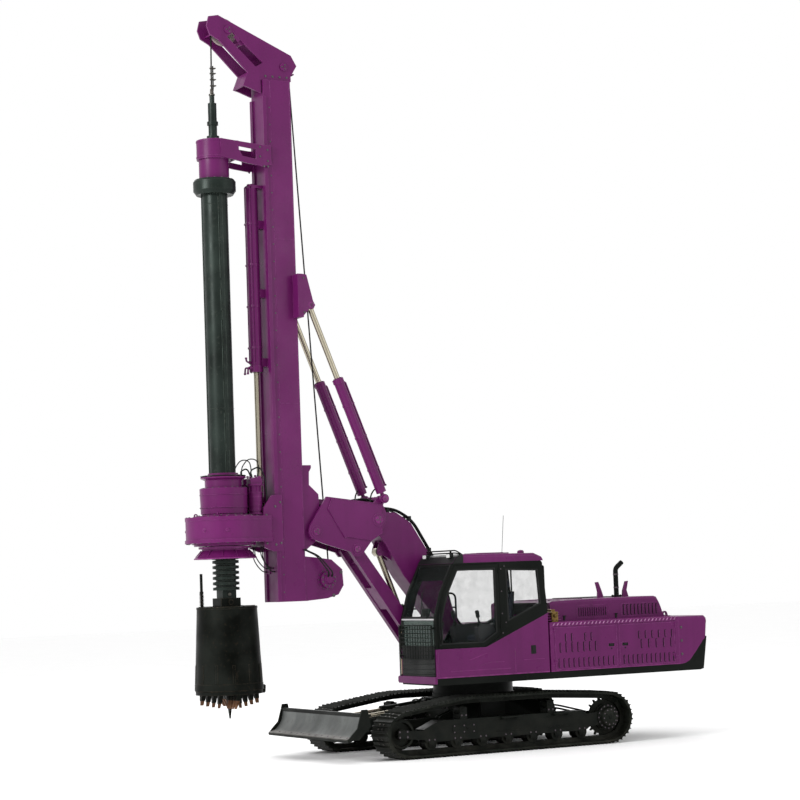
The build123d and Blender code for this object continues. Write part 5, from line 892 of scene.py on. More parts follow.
def hood_fittings():
    """Side louvres, rubber latches, a slatted outlet and top ribs on the engine hood."""
    for side, name in ((1, "left"), (-1, "right")):
        dark, lids = bmesh.new(), bmesh.new()
        wall = side * HOOD_X
        louvres(dark, lids, wall, side, spread(1.39, 1.87, 13), 1.875, 2.005, 0.022)
        louvres(dark, lids, wall, side, spread(2.2, 2.8, 10), 1.865, 2.025, 0.036)
        finish_piece(f"hood_{name}_slots", dark, "hood", "purple_paint", "shadow_gap")
        for low, high in ((1.34, 1.92), (2.15, 2.845)):
            soft_band(lids, (low + high) / 2, 1.945, (high - low) / 2, 0.097, 0.007, (0.02, 0.015),
                wall - side * 0.001, wall + side * 0.003)
        finish_piece(f"hood_{name}_lids", lids, "hood", "purple_paint", smooth=60.0)
        latch = bmesh.new()
        grip = wall + side * 0.014
        for y in (1.12, 2.05):
            prism(latch, soft_box(y, 1.865, 0.016, 0.035, 0.012), wall, wall + side * 0.01)
            bar(latch, (grip, y - 0.028, 1.893), (grip, y + 0.028, 1.893), 0.006)
            block(latch, (wall, y - 0.006, 1.887), (grip, y + 0.006, 1.899))
        finish_piece(f"hood_{name}_latches", latch, "hood", "purple_paint", "hose_rubber")
    slats = bmesh.new()
    soft_band(slats, -0.2, 2.25, 0.42, 0.4, 0.03, (0.04, 0.03), 2.134, 2.144, "z")
    for y in spread(1.91, 2.59, 18):
        prism(slats, [(y - 0.012, 2.1355), (y + 0.006, 2.1355), (y + 0.014, 2.1435), (y + 0.008, 2.1435)],
            -0.59, 0.19)
    finish_piece("hood_outlet", slats, "hood", "purple_paint", "black_paint")
    dark = bmesh.new()
    prism(dark, soft_box(-0.2, 2.25, 0.39, 0.37, 0.03), 2.1345, 2.1355, "z")
    finish_piece("hood_outlet_shade", dark, "hood", "purple_paint", "shadow_gap")
    pads = bmesh.new()
    for y, top in ((1.2, 2.133), (1.6, 2.1385)):
        prism(pads, soft_box(0.0, y, 0.62, 0.012, 0.01), 2.118, top, "z")
    for x in (-0.6, 0.6):
        bolt(pads, (x, 1.021, 2.1225), UP, 0.014, 0.0112)
    finish_piece("hood_ribs", pads, "hood", "purple_paint", bevel=0.003)


def exhaust_fittings():
    """Band clamps and foot bolts on the exhaust pipe."""
    data = bmesh.new()
    foot = Vector((0.4, 2.384, 0.0))
    bolt_ring(data, foot + UP * 2.165, UP, 0.06, 4, 0.009, 0.4)
    for z in (2.27, 2.47):
        hoop(data, z, z + 0.022, 0.0385, 0.0425, foot, UP, 24)
        block(data, (0.43, 2.376, z + 0.002), (0.456, 2.392, z + 0.02))
        bar(data, (0.447, 2.366, z + 0.011), (0.447, 2.402, z + 0.011), 0.004, 8)
    finish_piece("exhaust_clamps", data, "upper", "black_paint", "bolt_zinc")


def valve_stack():
    """Stacked pipes and a brass-brown valve block on the housing, behind the cab."""
    block_mesh = bmesh.new()
    prism(block_mesh, soft_box(0.735, 1.895, 0.055, 0.075, 0.012), 1.02, 1.2)
    prism(block_mesh, soft_box(0.735, 1.985, 0.035, 0.018, 0.008), 1.05, 1.15)
    lathe(block_mesh, [(0.0, 0.026), (0.03, 0.026), (0.036, 0.02), (0.036, 0.012)], (1.2, 0.735, 1.91),
        (1, 0, 0), 20)
    for y in (0.7, 0.77):
        for z in (1.845, 1.945):
            bolt(block_mesh, (1.2, y, z), (1, 0, 0), 0.01)
    finish_piece("valve_block", block_mesh, "upper", "purple_paint", "brass_brown", bevel=0.003)
    pipes = bmesh.new()
    for i, z in enumerate((1.845, 1.88, 1.915, 1.95)):
        reach = 1.18 - 0.015 * i
        pipe(pipes, rounded([(0.87, 0.62, z), (reach, 0.62, z), (reach, 0.69, z)], 0.03), 0.011)
        pipe(pipes, rounded([(reach, 0.78, z), (reach, 0.85, z), (0.87, 0.85, z)], 0.03), 0.011)
    for y in (0.62, 0.85):
        for x in (0.92, 1.08):
            block(pipes, (x, y - 0.014, SIDE_TOP), (x + 0.03, y + 0.014, 1.966))
    finish_piece("stacked_pipes", pipes, "upper", "purple_paint", smooth=50.0)


def tail_fittings():
    """Lamps in dark bezels, bolts and lifting pads on the counterweight."""
    bezel, lens = bmesh.new(), bmesh.new()
    for side in (-1, 1):
        x = side * 1.02
        prism(bezel, soft_box(x, 1.615, 0.115, 0.045, 0.02), 3.385, 3.419, "y")
        prism(lens, soft_box(x - 0.045, 1.615, 0.055, 0.032, 0.012), 3.4, 3.4235, "y")
        for z in spread(1.592, 1.638, 5):
            bar(lens, (x - 0.095, 3.4235, z), (x + 0.005, 3.4235, z), 0.0018, 6)
        prism(lens, soft_box(x + 0.062, 1.615, 0.034, 0.032, 0.012), 3.4, 3.4235, "y")
    prism(bezel, soft_box(0.0, 1.7, 0.05, 0.03, 0.01), 3.395, 3.427, "y")
    lathe(bezel, [(0.0, 0.018), (0.0015, 0.018), (0.0015, 0.012)], (0.0, 3.427, 1.7), (0, 1, 0), 16)
    finish_piece("tail_lamp_bezels", bezel, "upper", "purple_paint", "moulded_black", bevel=0.003)
    finish_piece("tail_lamp_lenses", lens, "upper", "purple_paint", "red_lens", smooth=50.0)
    bolts = bmesh.new()
    for x in (-0.55, -0.25, 0.25, 0.55):
        bolt(bolts, (x, 3.02, SIDE_TOP), UP, 0.024)
    for side in (-1, 1):
        for z in (1.25, 1.45, 1.65):
            bolt(bolts, (side * SIDE_X, 2.935, z), (side, 0, 0), 0.016)
    finish_piece("counterweight_bolts", bolts, "upper", "purple_paint", "bolt_zinc")
    pads = bmesh.new()
    for x in (-0.7, 0.7):
        prism(pads, soft_box(x, 3.05, 0.05, 0.085, 0.02), SIDE_TOP, 1.824, "z")
    block(pads, (-1.05, 2.905, 1.8155), (1.05, 2.912, 1.821))
    finish_piece("counterweight_pads", pads, "upper", "purple_paint", bevel=0.002)


def right_side_fittings():
    """Handrail, filler cap, lock and steps on the right side's tank."""
    rail = bmesh.new()
    route = [(-1.21, -0.34, 1.82), (-1.21, -0.34, 2.28), (-1.21, 0.46, 2.28), (-1.21, 0.46, 1.82)]
    pipe(rail, rounded(route), 0.016)
    bar(rail, (-1.21, -0.34, 2.06), (-1.21, 0.46, 2.06), 0.013)
    for y in (-0.34, 0.46):
        lathe(rail, [(0.0, 0.032), (0.008, 0.032), (0.01, 0.026)], (-1.21, y, SIDE_TOP), UP, 16)
    finish_piece("right_handrails", rail, "upper", "purple_paint", "black_paint")
    data = bmesh.new()
    lathe(data, [(0.0, 0.064), (0.004, 0.068), (0.028, 0.068), (0.034, 0.06)], (-0.9, 0.15, 1.868), UP, 28)
    for place in ring_places((-0.9, 0.15, 1.886), UP, 0.067, 12):
        lathe(data, [(-0.014, 0.006), (0.012, 0.006)], place, UP, 8)
    lathe(data, [(0.0, 0.014), (0.004, 0.014)], (-1.276, 0.05, 1.45), (-1, 0, 0), 16)
    finish_piece("tank_cap_and_locks", data, "upper", "purple_paint", "moulded_black", bevel=0.002)
    steps = bmesh.new()
    y = TANK_FRONT - 0.08
    for z in (1.27, 1.53):
        pipe(steps, rounded([(-1.05, TANK_FRONT, z), (-1.05, y, z), (-0.62, y, z), (-0.62, TANK_FRONT, z)],
            0.03), 0.012)
        for x in (-1.05, -0.62):
            lathe(steps, [(0.0, 0.026), (0.008, 0.026)], (x, TANK_FRONT, z), (0, -1, 0), 16)
        for x in spread(-0.99, -0.68, 9):
            block(steps, (x - 0.006, y - 0.013, z - 0.004), (x + 0.006, y + 0.013, z + 0.015))
    finish_piece("tank_steps", steps, "upper", "purple_paint", "black_paint")


def node_data(name):
    """A CAD node's mesh from the slew axis, with its split corners joined again."""
    mesh = frame["nodes"][name].data
    data = bmesh.new()
    spots = [data.verts.new(corner.co - Vector((0.0, SLEW_Y, 0.0))) for corner in mesh.vertices]
    for face in mesh.polygons:
        data.faces.new([spots[i] for i in face.vertices])
    bmesh.ops.remove_doubles(data, verts=data.verts, dist=1e-5)
    return data


def cut_away(piece, outline, low, high):
    """Takes an upright prism out of a piece."""
    data = bmesh.new()
    prism(data, [(x, y + SLEW_Y) for x, y in outline], low, high, "z")
    bmesh.ops.recalc_face_normals(data, faces=data.faces)
    mesh = bpy.data.meshes.new("cutter")
    data.to_mesh(mesh)
    data.free()
    cutter = bpy.data.objects.new("cutter", mesh)
    bpy.context.scene.collection.objects.link(cutter)
    cut = piece.modifiers.new("cut", "BOOLEAN")
    cut.operation = "DIFFERENCE"
    cut.solver = "EXACT"
    cut.object = cutter
    bake(piece)
    bpy.data.objects.remove(cutter)
    bpy.data.meshes.remove(mesh)


def right_front():
    """The deck cut back ahead of the tank, with a lip along its edge, and the tank alone behind it."""
    deck = finish_piece("deck_and_cheeks", node_data("upper_frame"), "upper", "black_paint")
    cut_away(deck, [(-1.4, -1.4), (-0.2, -1.4), (-0.2, -0.97), (-0.3, -0.97), (-0.66, DECK_END),
        (-1.4, DECK_END)], 0.9, 1.12)
    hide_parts("upper_frame")
    lip = bmesh.new()
    front, back = DECK_END - 0.005, DECK_END + 0.03
    prism(lip, [(-1.2745, front), (-0.6626, front), (-0.3026, -0.975), (-0.25, -0.975), (-0.25, -0.94),
        (-0.285, -0.94), (-0.645, back), (-1.2745, back)], *DECK_LEVELS, "z")
    finish_piece("deck_lip", lip, "upper", "black_paint", bevel=0.002)
    data = node_data("right_boxes")
    ahead = [corner for corner in data.verts if corner.co.y < TANK_FRONT - 0.0001]
    bmesh.ops.delete(data, geom=ahead, context="VERTS")
    tank = finish_piece("fuel_tank", data, "upper", "purple_paint")
    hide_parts("right_boxes")


# ---------------------------------------------------------------- cab
DOOR_LINE = [(-1.29, 1.518), (-1.29, 1.935), (-1.185, 2.3), (-0.985, 2.69), (-0.25, 2.7), (-0.25, 1.68),
    (-0.52, 1.518)]
QUARTER_LINE = [(-0.12, 2.61), (0.405, 2.59), (0.44, 2.11), (-0.11, 1.88)]
INNER_LINE = [(-1.15, 1.6), (-1.15, 2.0), (-1.06, 2.3), (-0.88, 2.64), (0.4, 2.62), (0.43, 1.97),
    (-0.42, 1.6)]


def front_y(z):
    """The cab's front face: upright below its waist, leaning back above it and more so above its bend."""
    waist, bend, eaves = 1.93, 2.3, 2.735
    lean, top_lean = 0.107, 0.219
    if z < waist:
        return CAB_FRONT
    if z < bend:
        return CAB_FRONT + lean * (z - waist) / (bend - waist)
    return CAB_FRONT + lean + top_lean * (z - bend) / (eaves - bend)


def window_gaskets():
    """Rubber seals round every pane, the windscreen's sill and the lower pane's tint."""
    data = bmesh.new()
    band(data, inset(DOOR_LINE, 0.056), inset(DOOR_LINE, 0.078), 1.262, 1.2795)
    finish_piece("door_glass_seal", data, "cab_door_leaf", "black_paint", "hose_rubber", bevel=0.003)
    data = bmesh.new()
    band(data, inset(QUARTER_LINE, -0.014), inset(QUARTER_LINE, 0.01), 1.262, 1.2795)
    band(data, inset(INNER_LINE, -0.014), inset(INNER_LINE, 0.01), CAB_IN - 0.0035, CAB_IN + 0.014)
    soft_band(data, CAB_MID, 2.37, 0.467, 0.284, 0.022, (0.03, 0.02), 0.546, 0.5635, "y")
    for low in (0.288, 1.214):
        line = [(front_y(z) - 0.006, z) for z in (1.955, 2.3, 2.7)] + [(-0.985, 2.728), (-0.97, 2.715)]
        line += [(front_y(z) + 0.012, z) for z in (2.7, 2.3, 1.955)]
        prism(data, line, low, low + 0.024)
    for z in (1.966, 2.7):
        y = front_y(z)
        prism(data, [(y - 0.006, z - 0.012), (y + 0.012, z - 0.012), (y + 0.018, z + 0.012), (y, z + 0.012)],
            0.29, 1.236)
    finish_piece("cab_window_seals", data, "upper", "black_paint", "hose_rubber", bevel=0.003)
    data = bmesh.new()
    block(data, (0.296, -1.3355, 1.926), (1.23, -1.325, 1.948))
    finish_piece("windscreen_sill", data, "upper", "black_paint", "pale_trim", bevel=0.003)
    data = bmesh.new()
    block(data, (0.3105, -1.3145, 1.5605), (1.2155, -1.3115, 1.9245))
    finish_piece("lower_pane_tint", data, "upper", "cab_window", "green_glass", smooth=0.0)


def front_guard():
    """Black panel and barred stone guard before the lower pane, with a grab bar and a conduit beside it."""
    data = bmesh.new()
    block(data, (0.286, -1.34, 1.128), (1.24, -1.3262, 1.562))
    for z in (1.17, 1.24, 1.31):
        prism(data, [(-1.34, z - 0.018), (-1.347, z - 0.01), (-1.347, z + 0.01), (-1.34, z + 0.018)], 0.31,
            1.216)
    finish_piece("front_panel", data, "upper", "black_paint", "moulded_black", bevel=0.003)
    data = bmesh.new()
    soft_band(data, CAB_MID, 1.615, 0.47, 0.247, 0.014, (0.03, 0.018), -1.372, -1.356, "y")
    for x in spread(0.345, 1.181, 12):
        bar(data, (x, -1.36, 1.375), (x, -1.36, 1.855), 0.0045, 8)
    for z in spread(1.43, 1.8, 7):
        block(data, (0.3, -1.37, z - 0.006), (1.226, -1.364, z + 0.006))
    for x in (0.315, 1.211):
        for z in (1.42, 1.81):
            block(data, (x - 0.012, -1.358, z - 0.012), (x + 0.012, -1.326, z + 0.012))
    finish_piece("front_stone_guard", data, "upper", "black_paint", bevel=0.001)
    data = bmesh.new()
    prism(data, soft_box(-1.3385, 1.075, 0.0275, 0.05, 0.025, 6), 0.18, 0.205)
    finish_piece("bumper_end", data, "upper", "purple_paint", bevel=0.01)
    data = bmesh.new()
    bar(data, (0.226, -1.318, 1.13), (0.226, -1.318, 1.7), 0.013, 16)
    bar(data, (0.226, -1.318, 1.7), (0.262, -1.318, 1.76), 0.01)
    finish_piece("front_grab_bar", data, "upper", "black_paint", "tan_paint")
    data = bmesh.new()
    bar(data, (0.223, -1.343, 1.13), (0.223, -1.343, 1.86), 0.009)
    for z in (1.135, 1.45, 1.7):
        block(data, (0.214, -1.35, z - 0.012), (0.254, -1.306, z + 0.012))
    finish_piece("front_conduit", data, "upper", "black_paint", "moulded_black", bevel=0.002)


def cab_side_details():
    """Pressed lines, lip, lock and pillar bolts on the cab's left side, and the door's grab handle."""
    data = bmesh.new()
    lines = ([(-0.78, 1.345), (-0.7, 1.362), (-0.5, 1.424)], [(-0.6, 1.252), (-0.43, 1.296), (-0.21, 1.288)],
        [(0.13, 1.3), (0.48, 1.3)], [(-1.1, 1.19), (-0.1, 1.19)])
    for route in lines:
        pipe(data, rounded([(SIDE_X, y, z) for y, z in route], 0.05), 0.0045, 8)
    for y, half in ((-1.3, 0.17), (-0.02, 0.17), (0.555, 0.185)):
        prism(data, soft_box(y, 1.3, 0.003, half, 0.0029), SIDE_X - 0.001, SIDE_X + 0.0022)
    block(data, (SIDE_X, -1.324, 1.102), (1.2815, 0.558, 1.118))
    finish_piece("cab_side_pressings", data, "upper", "purple_paint", "worn_purple", smooth=50.0)
    data = bmesh.new()
    prism(data, soft_box(0.295, 1.44, 0.042, 0.062, 0.012), SIDE_X - 0.001, SIDE_X + 0.004)
    prism(data, soft_box(0.295, 1.452, 0.024, 0.034, 0.01), SIDE_X + 0.004, SIDE_X + 0.01)
    lathe(data, [(0.0, 0.01), (0.005, 0.01)], (SIDE_X + 0.004, 0.295, 1.398), (1, 0, 0), 14)
    finish_piece("cab_side_lock", data, "upper", "purple_paint", "moulded_black", bevel=0.002)
    data = bmesh.new()
    pipe(data, rounded([(1.264, -1.2525, 1.645), (1.277, -1.2525, 1.645), (1.277, -1.2525, 1.775),
        (1.264, -1.2525, 1.775)], 0.01, 3), 0.007)
    lathe(data, [(0.0, 0.012), (0.004, 0.012), (0.005, 0.008)], (1.276, -1.253, 1.57), (1, 0, 0), 16)
    bar(data, (1.281, -1.262, 2.02), (1.281, -1.262, 1.72), 0.0045, 8)
    finish_piece("cab_door_handle", data, "cab_door_leaf", "black_paint", "moulded_black")
    bolts = bmesh.new()
    for y, z in ((-0.212, 1.7), (-0.212, 1.98), (-0.212, 2.3), (-0.212, 2.62), (-0.155, 1.85),
            (-0.155, 2.66)):
        bolt(bolts, (SIDE_X, y, z), (1, 0, 0), 0.008)
    finish_piece("cab_pillar_bolts", bolts, "upper", "black_paint", "bolt_zinc")


def roof_visor():
    """Black visor lying over the cab roof's sloping front edge."""
    data = bmesh.new()
    data.from_mesh(frame["nodes"]["cab_roof"].data)
    bmesh.ops.translate(data, vec=(0.0, -SLEW_Y, 0.0), verts=data.verts)
    whole = data.verts[:] + data.edges[:] + data.faces[:]
    bmesh.ops.bisect_plane(data, geom=whole, plane_co=(0.0, -0.83, 0.0), plane_no=(0.0, 1.0, 0.0),
        clear_outer=True)
    hidden = [face for face in data.faces if face.normal.z < -0.3 or face.normal.y > 0.3]
    bmesh.ops.delete(data, geom=hidden, context="FACES")
    data.normal_update()
    for vert in data.verts:
        vert.co += vert.normal * 0.004
    finish_piece("roof_visor", data, "upper", "black_paint", "moulded_black")


def roof_fittings():
    """Light bar with two lamps, roof hatch, vent knob, aerial and wiper."""
    def on_glass(x, z, lift):
        return (x, front_y(z) - lift, z)

    data = bmesh.new()
    for z in (2.872, 2.908):
        pipe(data, rounded([(0.33, -0.8, 2.845), (0.33, -0.905, z), (1.2, -0.905, z), (1.2, -0.8, 2.845)],
            0.05), 0.01)
    for x in (0.48, 1.05):
        block(data, (x - 0.008, -0.917, 2.862), (x + 0.008, -0.893, 2.918))
    finish_piece("roof_light_bar", data, "upper", "purple_paint", "black_paint")
    lamps, lenses = bmesh.new(), bmesh.new()
    for x in (0.42, 1.11):
        prism(lamps, soft_box(x, 2.832, 0.055, 0.032, 0.012), -0.985, -0.925, "y")
        prism(lenses, soft_box(x, 2.832, 0.047, 0.025, 0.01), -0.989, -0.984, "y")
    finish_piece("roof_lamp_bodies", lamps, "upper", "purple_paint", "moulded_black", bevel=0.006)
    finish_piece("roof_lamp_lenses", lenses, "upper", "purple_paint", "clear_lens", bevel=0.002)
    data = bmesh.new()
    prism(data, soft_box(CAB_MID, -0.18, 0.3, 0.27, 0.05), 2.84, 2.86, "z")
    for x in (-0.18, 0.0, 0.18):
        prism(data, soft_box(CAB_MID + x, -0.18, 0.03, 0.22, 0.028), 2.86, 2.866, "z")
    lathe(data, [(0.0, 0.05), (0.03, 0.05), (0.048, 0.036), (0.055, 0.0)], (1.08, 0.26, 2.836), UP, 24)
    finish_piece("roof_hatch", data, "upper", "purple_paint", bevel=0.006)
    data = bmesh.new()
    lathe(data, [(0.0, 0.02), (0.012, 0.02), (0.03, 0.008)], (0.36, 0.38, 2.838), UP, 16)
    bar(data, (0.36, 0.38, 2.86), (0.36, 0.43, 3.42), 0.0035, 8)
    finish_piece("aerial", data, "upper", "purple_paint", "moulded_black")
    data = bmesh.new()
    lathe(data, [(0.0, 0.022), (0.012, 0.022), (0.018, 0.014)], on_glass(1.02, 1.965, 0.002), (0, -1, 0.25),
        16)
    bar(data, on_glass(1.02, 1.965, 0.016), on_glass(0.8, 2.19, 0.022), 0.006, 8)
    bar(data, on_glass(0.83, 2.02, 0.016), on_glass(0.77, 2.29, 0.016), 0.006, 8)
    bar(data, on_glass(0.77, 2.29, 0.016), on_glass(0.75, 2.42, 0.014), 0.005, 8)
    finish_piece("wiper", data, "upper", "black_paint", "moulded_black")


def cab_inside():
    """Lever boots, grips, display, switches, floor mat and a lamp behind the windscreen."""
    data = bmesh.new()
    for x in (0.413, 1.113):
        lean = Vector((0.0, -0.18, 1.0)).normalized()
        foot = Vector((x, -0.5, 1.8))
        lathe(data, [(0.0, 0.05), (0.01, 0.046), (0.014, 0.05), (0.026, 0.04), (0.03, 0.044), (0.044, 0.032),
            (0.048, 0.036), (0.064, 0.024), (0.068, 0.027), (0.082, 0.017)], foot, lean, 28)
        grip = foot + lean * 0.135
        lathe(data, [(0.0, 0.02), (0.01, 0.03), (0.06, 0.028), (0.09, 0.031), (0.105, 0.022), (0.11, 0.0)],
            grip, lean, 20)
        prism(data, soft_box(-0.16, 1.822, 0.155, 0.02, 0.018), x - 0.045, x + 0.045)
    for x in (0.693, 0.833):
        lathe(data, [(0.0, 0.036), (0.008, 0.034), (0.012, 0.037), (0.024, 0.03), (0.028, 0.033),
            (0.04, 0.02)], (x, -1.0, 1.175), (0, 0.055, 1.0), 20)
        lathe(data, [(0.0, 0.014), (0.012, 0.024), (0.05, 0.024), (0.062, 0.014)], (x, -0.962, 1.835),
            (0, 0.055, 1.0), 18)
    finish_piece("lever_boots", data, "upper", "console_plastic", "hose_rubber", smooth=50.0)
    data = bmesh.new()
    prism(data, [(-1.06, 1.9), (-1.04, 1.89), (-0.985, 2.075), (-1.005, 2.085)], 0.33, 0.56)
    bar(data, (0.36, -1.03, 1.98), (0.31, -1.03, 1.8), 0.014)
    prism(data, soft_box(-0.96, 1.7, 0.055, 0.22, 0.02), 0.298, 0.345)
    for z in spread(1.56, 1.84, 6):
        lathe(data, [(0.0, 0.012), (0.008, 0.012), (0.01, 0.009)], (0.345, -0.96, z), (1, 0, 0), 12)
    finish_piece("display_and_switches", data, "upper", "console_plastic", "moulded_black", bevel=0.005)
    data = bmesh.new()
    prism(data, [(-1.046, 1.912), (-0.999, 2.068), (-0.997, 2.067), (-1.044, 1.911)], 0.345, 0.545)
    finish_piece("display_pane", data, "upper", "console_plastic", "screen_glass", smooth=0.0)
    data = bmesh.new()
    prism(data, soft_box(CAB_MID, -0.83, 0.42, 0.41, 0.03), 1.1455, 1.151, "z")
    for y in spread(-1.18, -0.48, 15):
        block(data, (0.4, y - 0.008, 1.151), (1.126, y + 0.008, 1.155))
    finish_piece("floor_mat", data, "upper", "console_plastic", "hose_rubber", smooth=0.0)
    data = bmesh.new()
    prism(data, soft_box(0.98, 2.615, 0.075, 0.04, 0.015), -1.0, -0.955, "y")
    block(data, (0.96, -0.975, 2.65), (1.0, -0.965, 2.69))
    finish_piece("inner_lamp_body", data, "upper", "black_paint", "moulded_black", bevel=0.004)
    data = bmesh.new()
    prism(data, soft_box(0.98, 2.615, 0.065, 0.031, 0.012), -1.004, -0.999, "y")
    finish_piece("inner_lamp_lens", data, "upper", "black_paint", "clear_lens", bevel=0.001)


# ---------------------------------------------------------------- seat
SEAT_SIDE = 0.155         # from the seat's middle to the seam between panel and bolster
WELT_LEVEL = 1.64         # the cushion's welt, where the backrest starts
CLOTH_FRAMES = 20


def swollen(name, data, resting, cap, seams, voxel=0.007):
    """A padded form: remeshed, blown up as cloth round its resting points, seamed, and smoothed once."""
    piece = finish_piece(name, data, "upper", "seat_fabric", smooth=180.0)
    remesh = piece.modifiers.new("remesh", "REMESH")
    remesh.mode = "VOXEL"
    remesh.voxel_size = voxel * 1.0
    bake(piece)
    before = [vertex.co.copy() for vertex in piece.data.vertices]
    held = piece.vertex_groups.new(name="held")
    held.add([i for i, place in enumerate(before) if resting(place - at(0, 0, 0))], 1.0, "REPLACE")
    cloth = piece.modifiers.new("cloth", "CLOTH")
    cloth.settings.quality = 5
    cloth.settings.mass = 0.3
    cloth.settings.tension_stiffness = 12.0
    cloth.settings.compression_stiffness = 12.0
    cloth.settings.shear_stiffness = 5.0
    cloth.settings.bending_stiffness = 0.6
    cloth.settings.use_pressure = True
    cloth.settings.uniform_pressure_force = 4.0
    cloth.settings.effector_weights.gravity = 0.0
    cloth.settings.vertex_group_mass = "held"
    cloth.collision_settings.use_collision = False
    cloth.point_cache.frame_start = 1
    cloth.point_cache.frame_end = CLOTH_FRAMES
    for step in range(1, CLOTH_FRAMES + 1):
        bpy.context.scene.frame_set(step)
    bake(piece)
    bpy.context.scene.frame_set(1)
    for vertex, rest in zip(piece.data.vertices, before):
        moved = vertex.co - rest
        if moved.length > cap:
            vertex.co = rest + moved.normalized() * cap
    smooth = piece.modifiers.new("smooth", "SUBSURF")
    smooth.levels = 1
    smooth.render_levels = 1
    bake(piece)
    normals = [vertex.normal.copy() for vertex in piece.data.vertices]
    for vertex, normal in zip(piece.data.vertices, normals):
        vertex.co += normal * seams(vertex.co - at(0, 0, 0), normal)
    piece.data.shade_smooth()
    return piece


def groove(distance, width, depth):
    """A sewn channel: how far a point at a distance from the seam is drawn in."""
    return -depth * math.exp(-(distance / width) ** 2)


def pad(outline, half, crown=0.0, rounding=0.035):
    """Mesh data of a cushion's starting form: a side outline widened about the seat's middle."""
    data = bmesh.new()
    prism(data, outline, CAB_MID - half, CAB_MID + half)
    bmesh.ops.recalc_face_normals(data, faces=data.faces)
    bmesh.ops.bevel(data, geom=list(data.edges) + list(data.verts), offset=rounding, segments=3, profile=0.6,
        affect="EDGES")
    for vertex in data.verts:
        share = min(1.0, abs(vertex.co.x - CAB_MID) / half)
        vertex.co.y += crown * (1 - share ** 2)
    return data


def seat_cushions():
    """The operator's seat: a cushion, a backrest and a headrest, each sewn into panels."""
    def seat_seams(place, normal):
        across = abs(place.x - CAB_MID)
        depth = groove(across - SEAT_SIDE, 0.007, 0.007)
        if normal.z > 0.3:
            if across < SEAT_SIDE:
                for y in (-0.31, -0.2, -0.09):
                    depth += groove(place.y - y, 0.006, 0.005)
            else:
                depth += 0.004 * min(1.0, (across - SEAT_SIDE) / 0.04)
        welt = place.z - WELT_LEVEL
        return depth + 0.0035 * math.exp(-(welt / 0.005) ** 2) + groove(abs(welt) - 0.011, 0.005, 0.003)

    def back_seams(place, normal):
        across = abs(place.x - CAB_MID)
        depth = groove(across - SEAT_SIDE, 0.007, 0.006)
        if normal.y < -0.3 and across < SEAT_SIDE:
            for z in (1.8, 1.93, 2.06, 2.19):
                depth += groove(place.z - z, 0.006, 0.005)
        welt = place.y - (0.082 + (place.z - WELT_LEVEL) * 0.13)
        return depth + 0.003 * math.exp(-(welt / 0.005) ** 2)

    def head_seams(place, normal):
        depth = groove(abs(place.x - CAB_MID) - 0.085, 0.006, 0.005)
        return depth + groove(place.z - 2.405, 0.006, 0.003 if normal.y < -0.3 else 0.0)

    form = pad([(-0.405, 1.59), (0.035, 1.59), (0.045, 1.665), (-0.395, 1.66)], 0.235)
    cushion = swollen("seat_cushion", form, lambda place: place.z < 1.6, 0.01, seat_seams)
    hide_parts("operator_seat")
    form = pad([(0.04, 1.69), (0.122, 1.7), (0.172, 2.275), (0.118, 2.282)], 0.225, crown=0.006)
    swollen("seat_back", form, lambda place: place.y > 0.118 + (place.z - 1.69) * 0.08, 0.01, back_seams)
    form = pad([(0.112, 2.342), (0.172, 2.342), (0.176, 2.462), (0.122, 2.466)], 0.12, rounding=0.025)
    swollen("seat_headrest", form, lambda place: place.y > 0.168, 0.008, head_seams, voxel=0.006)


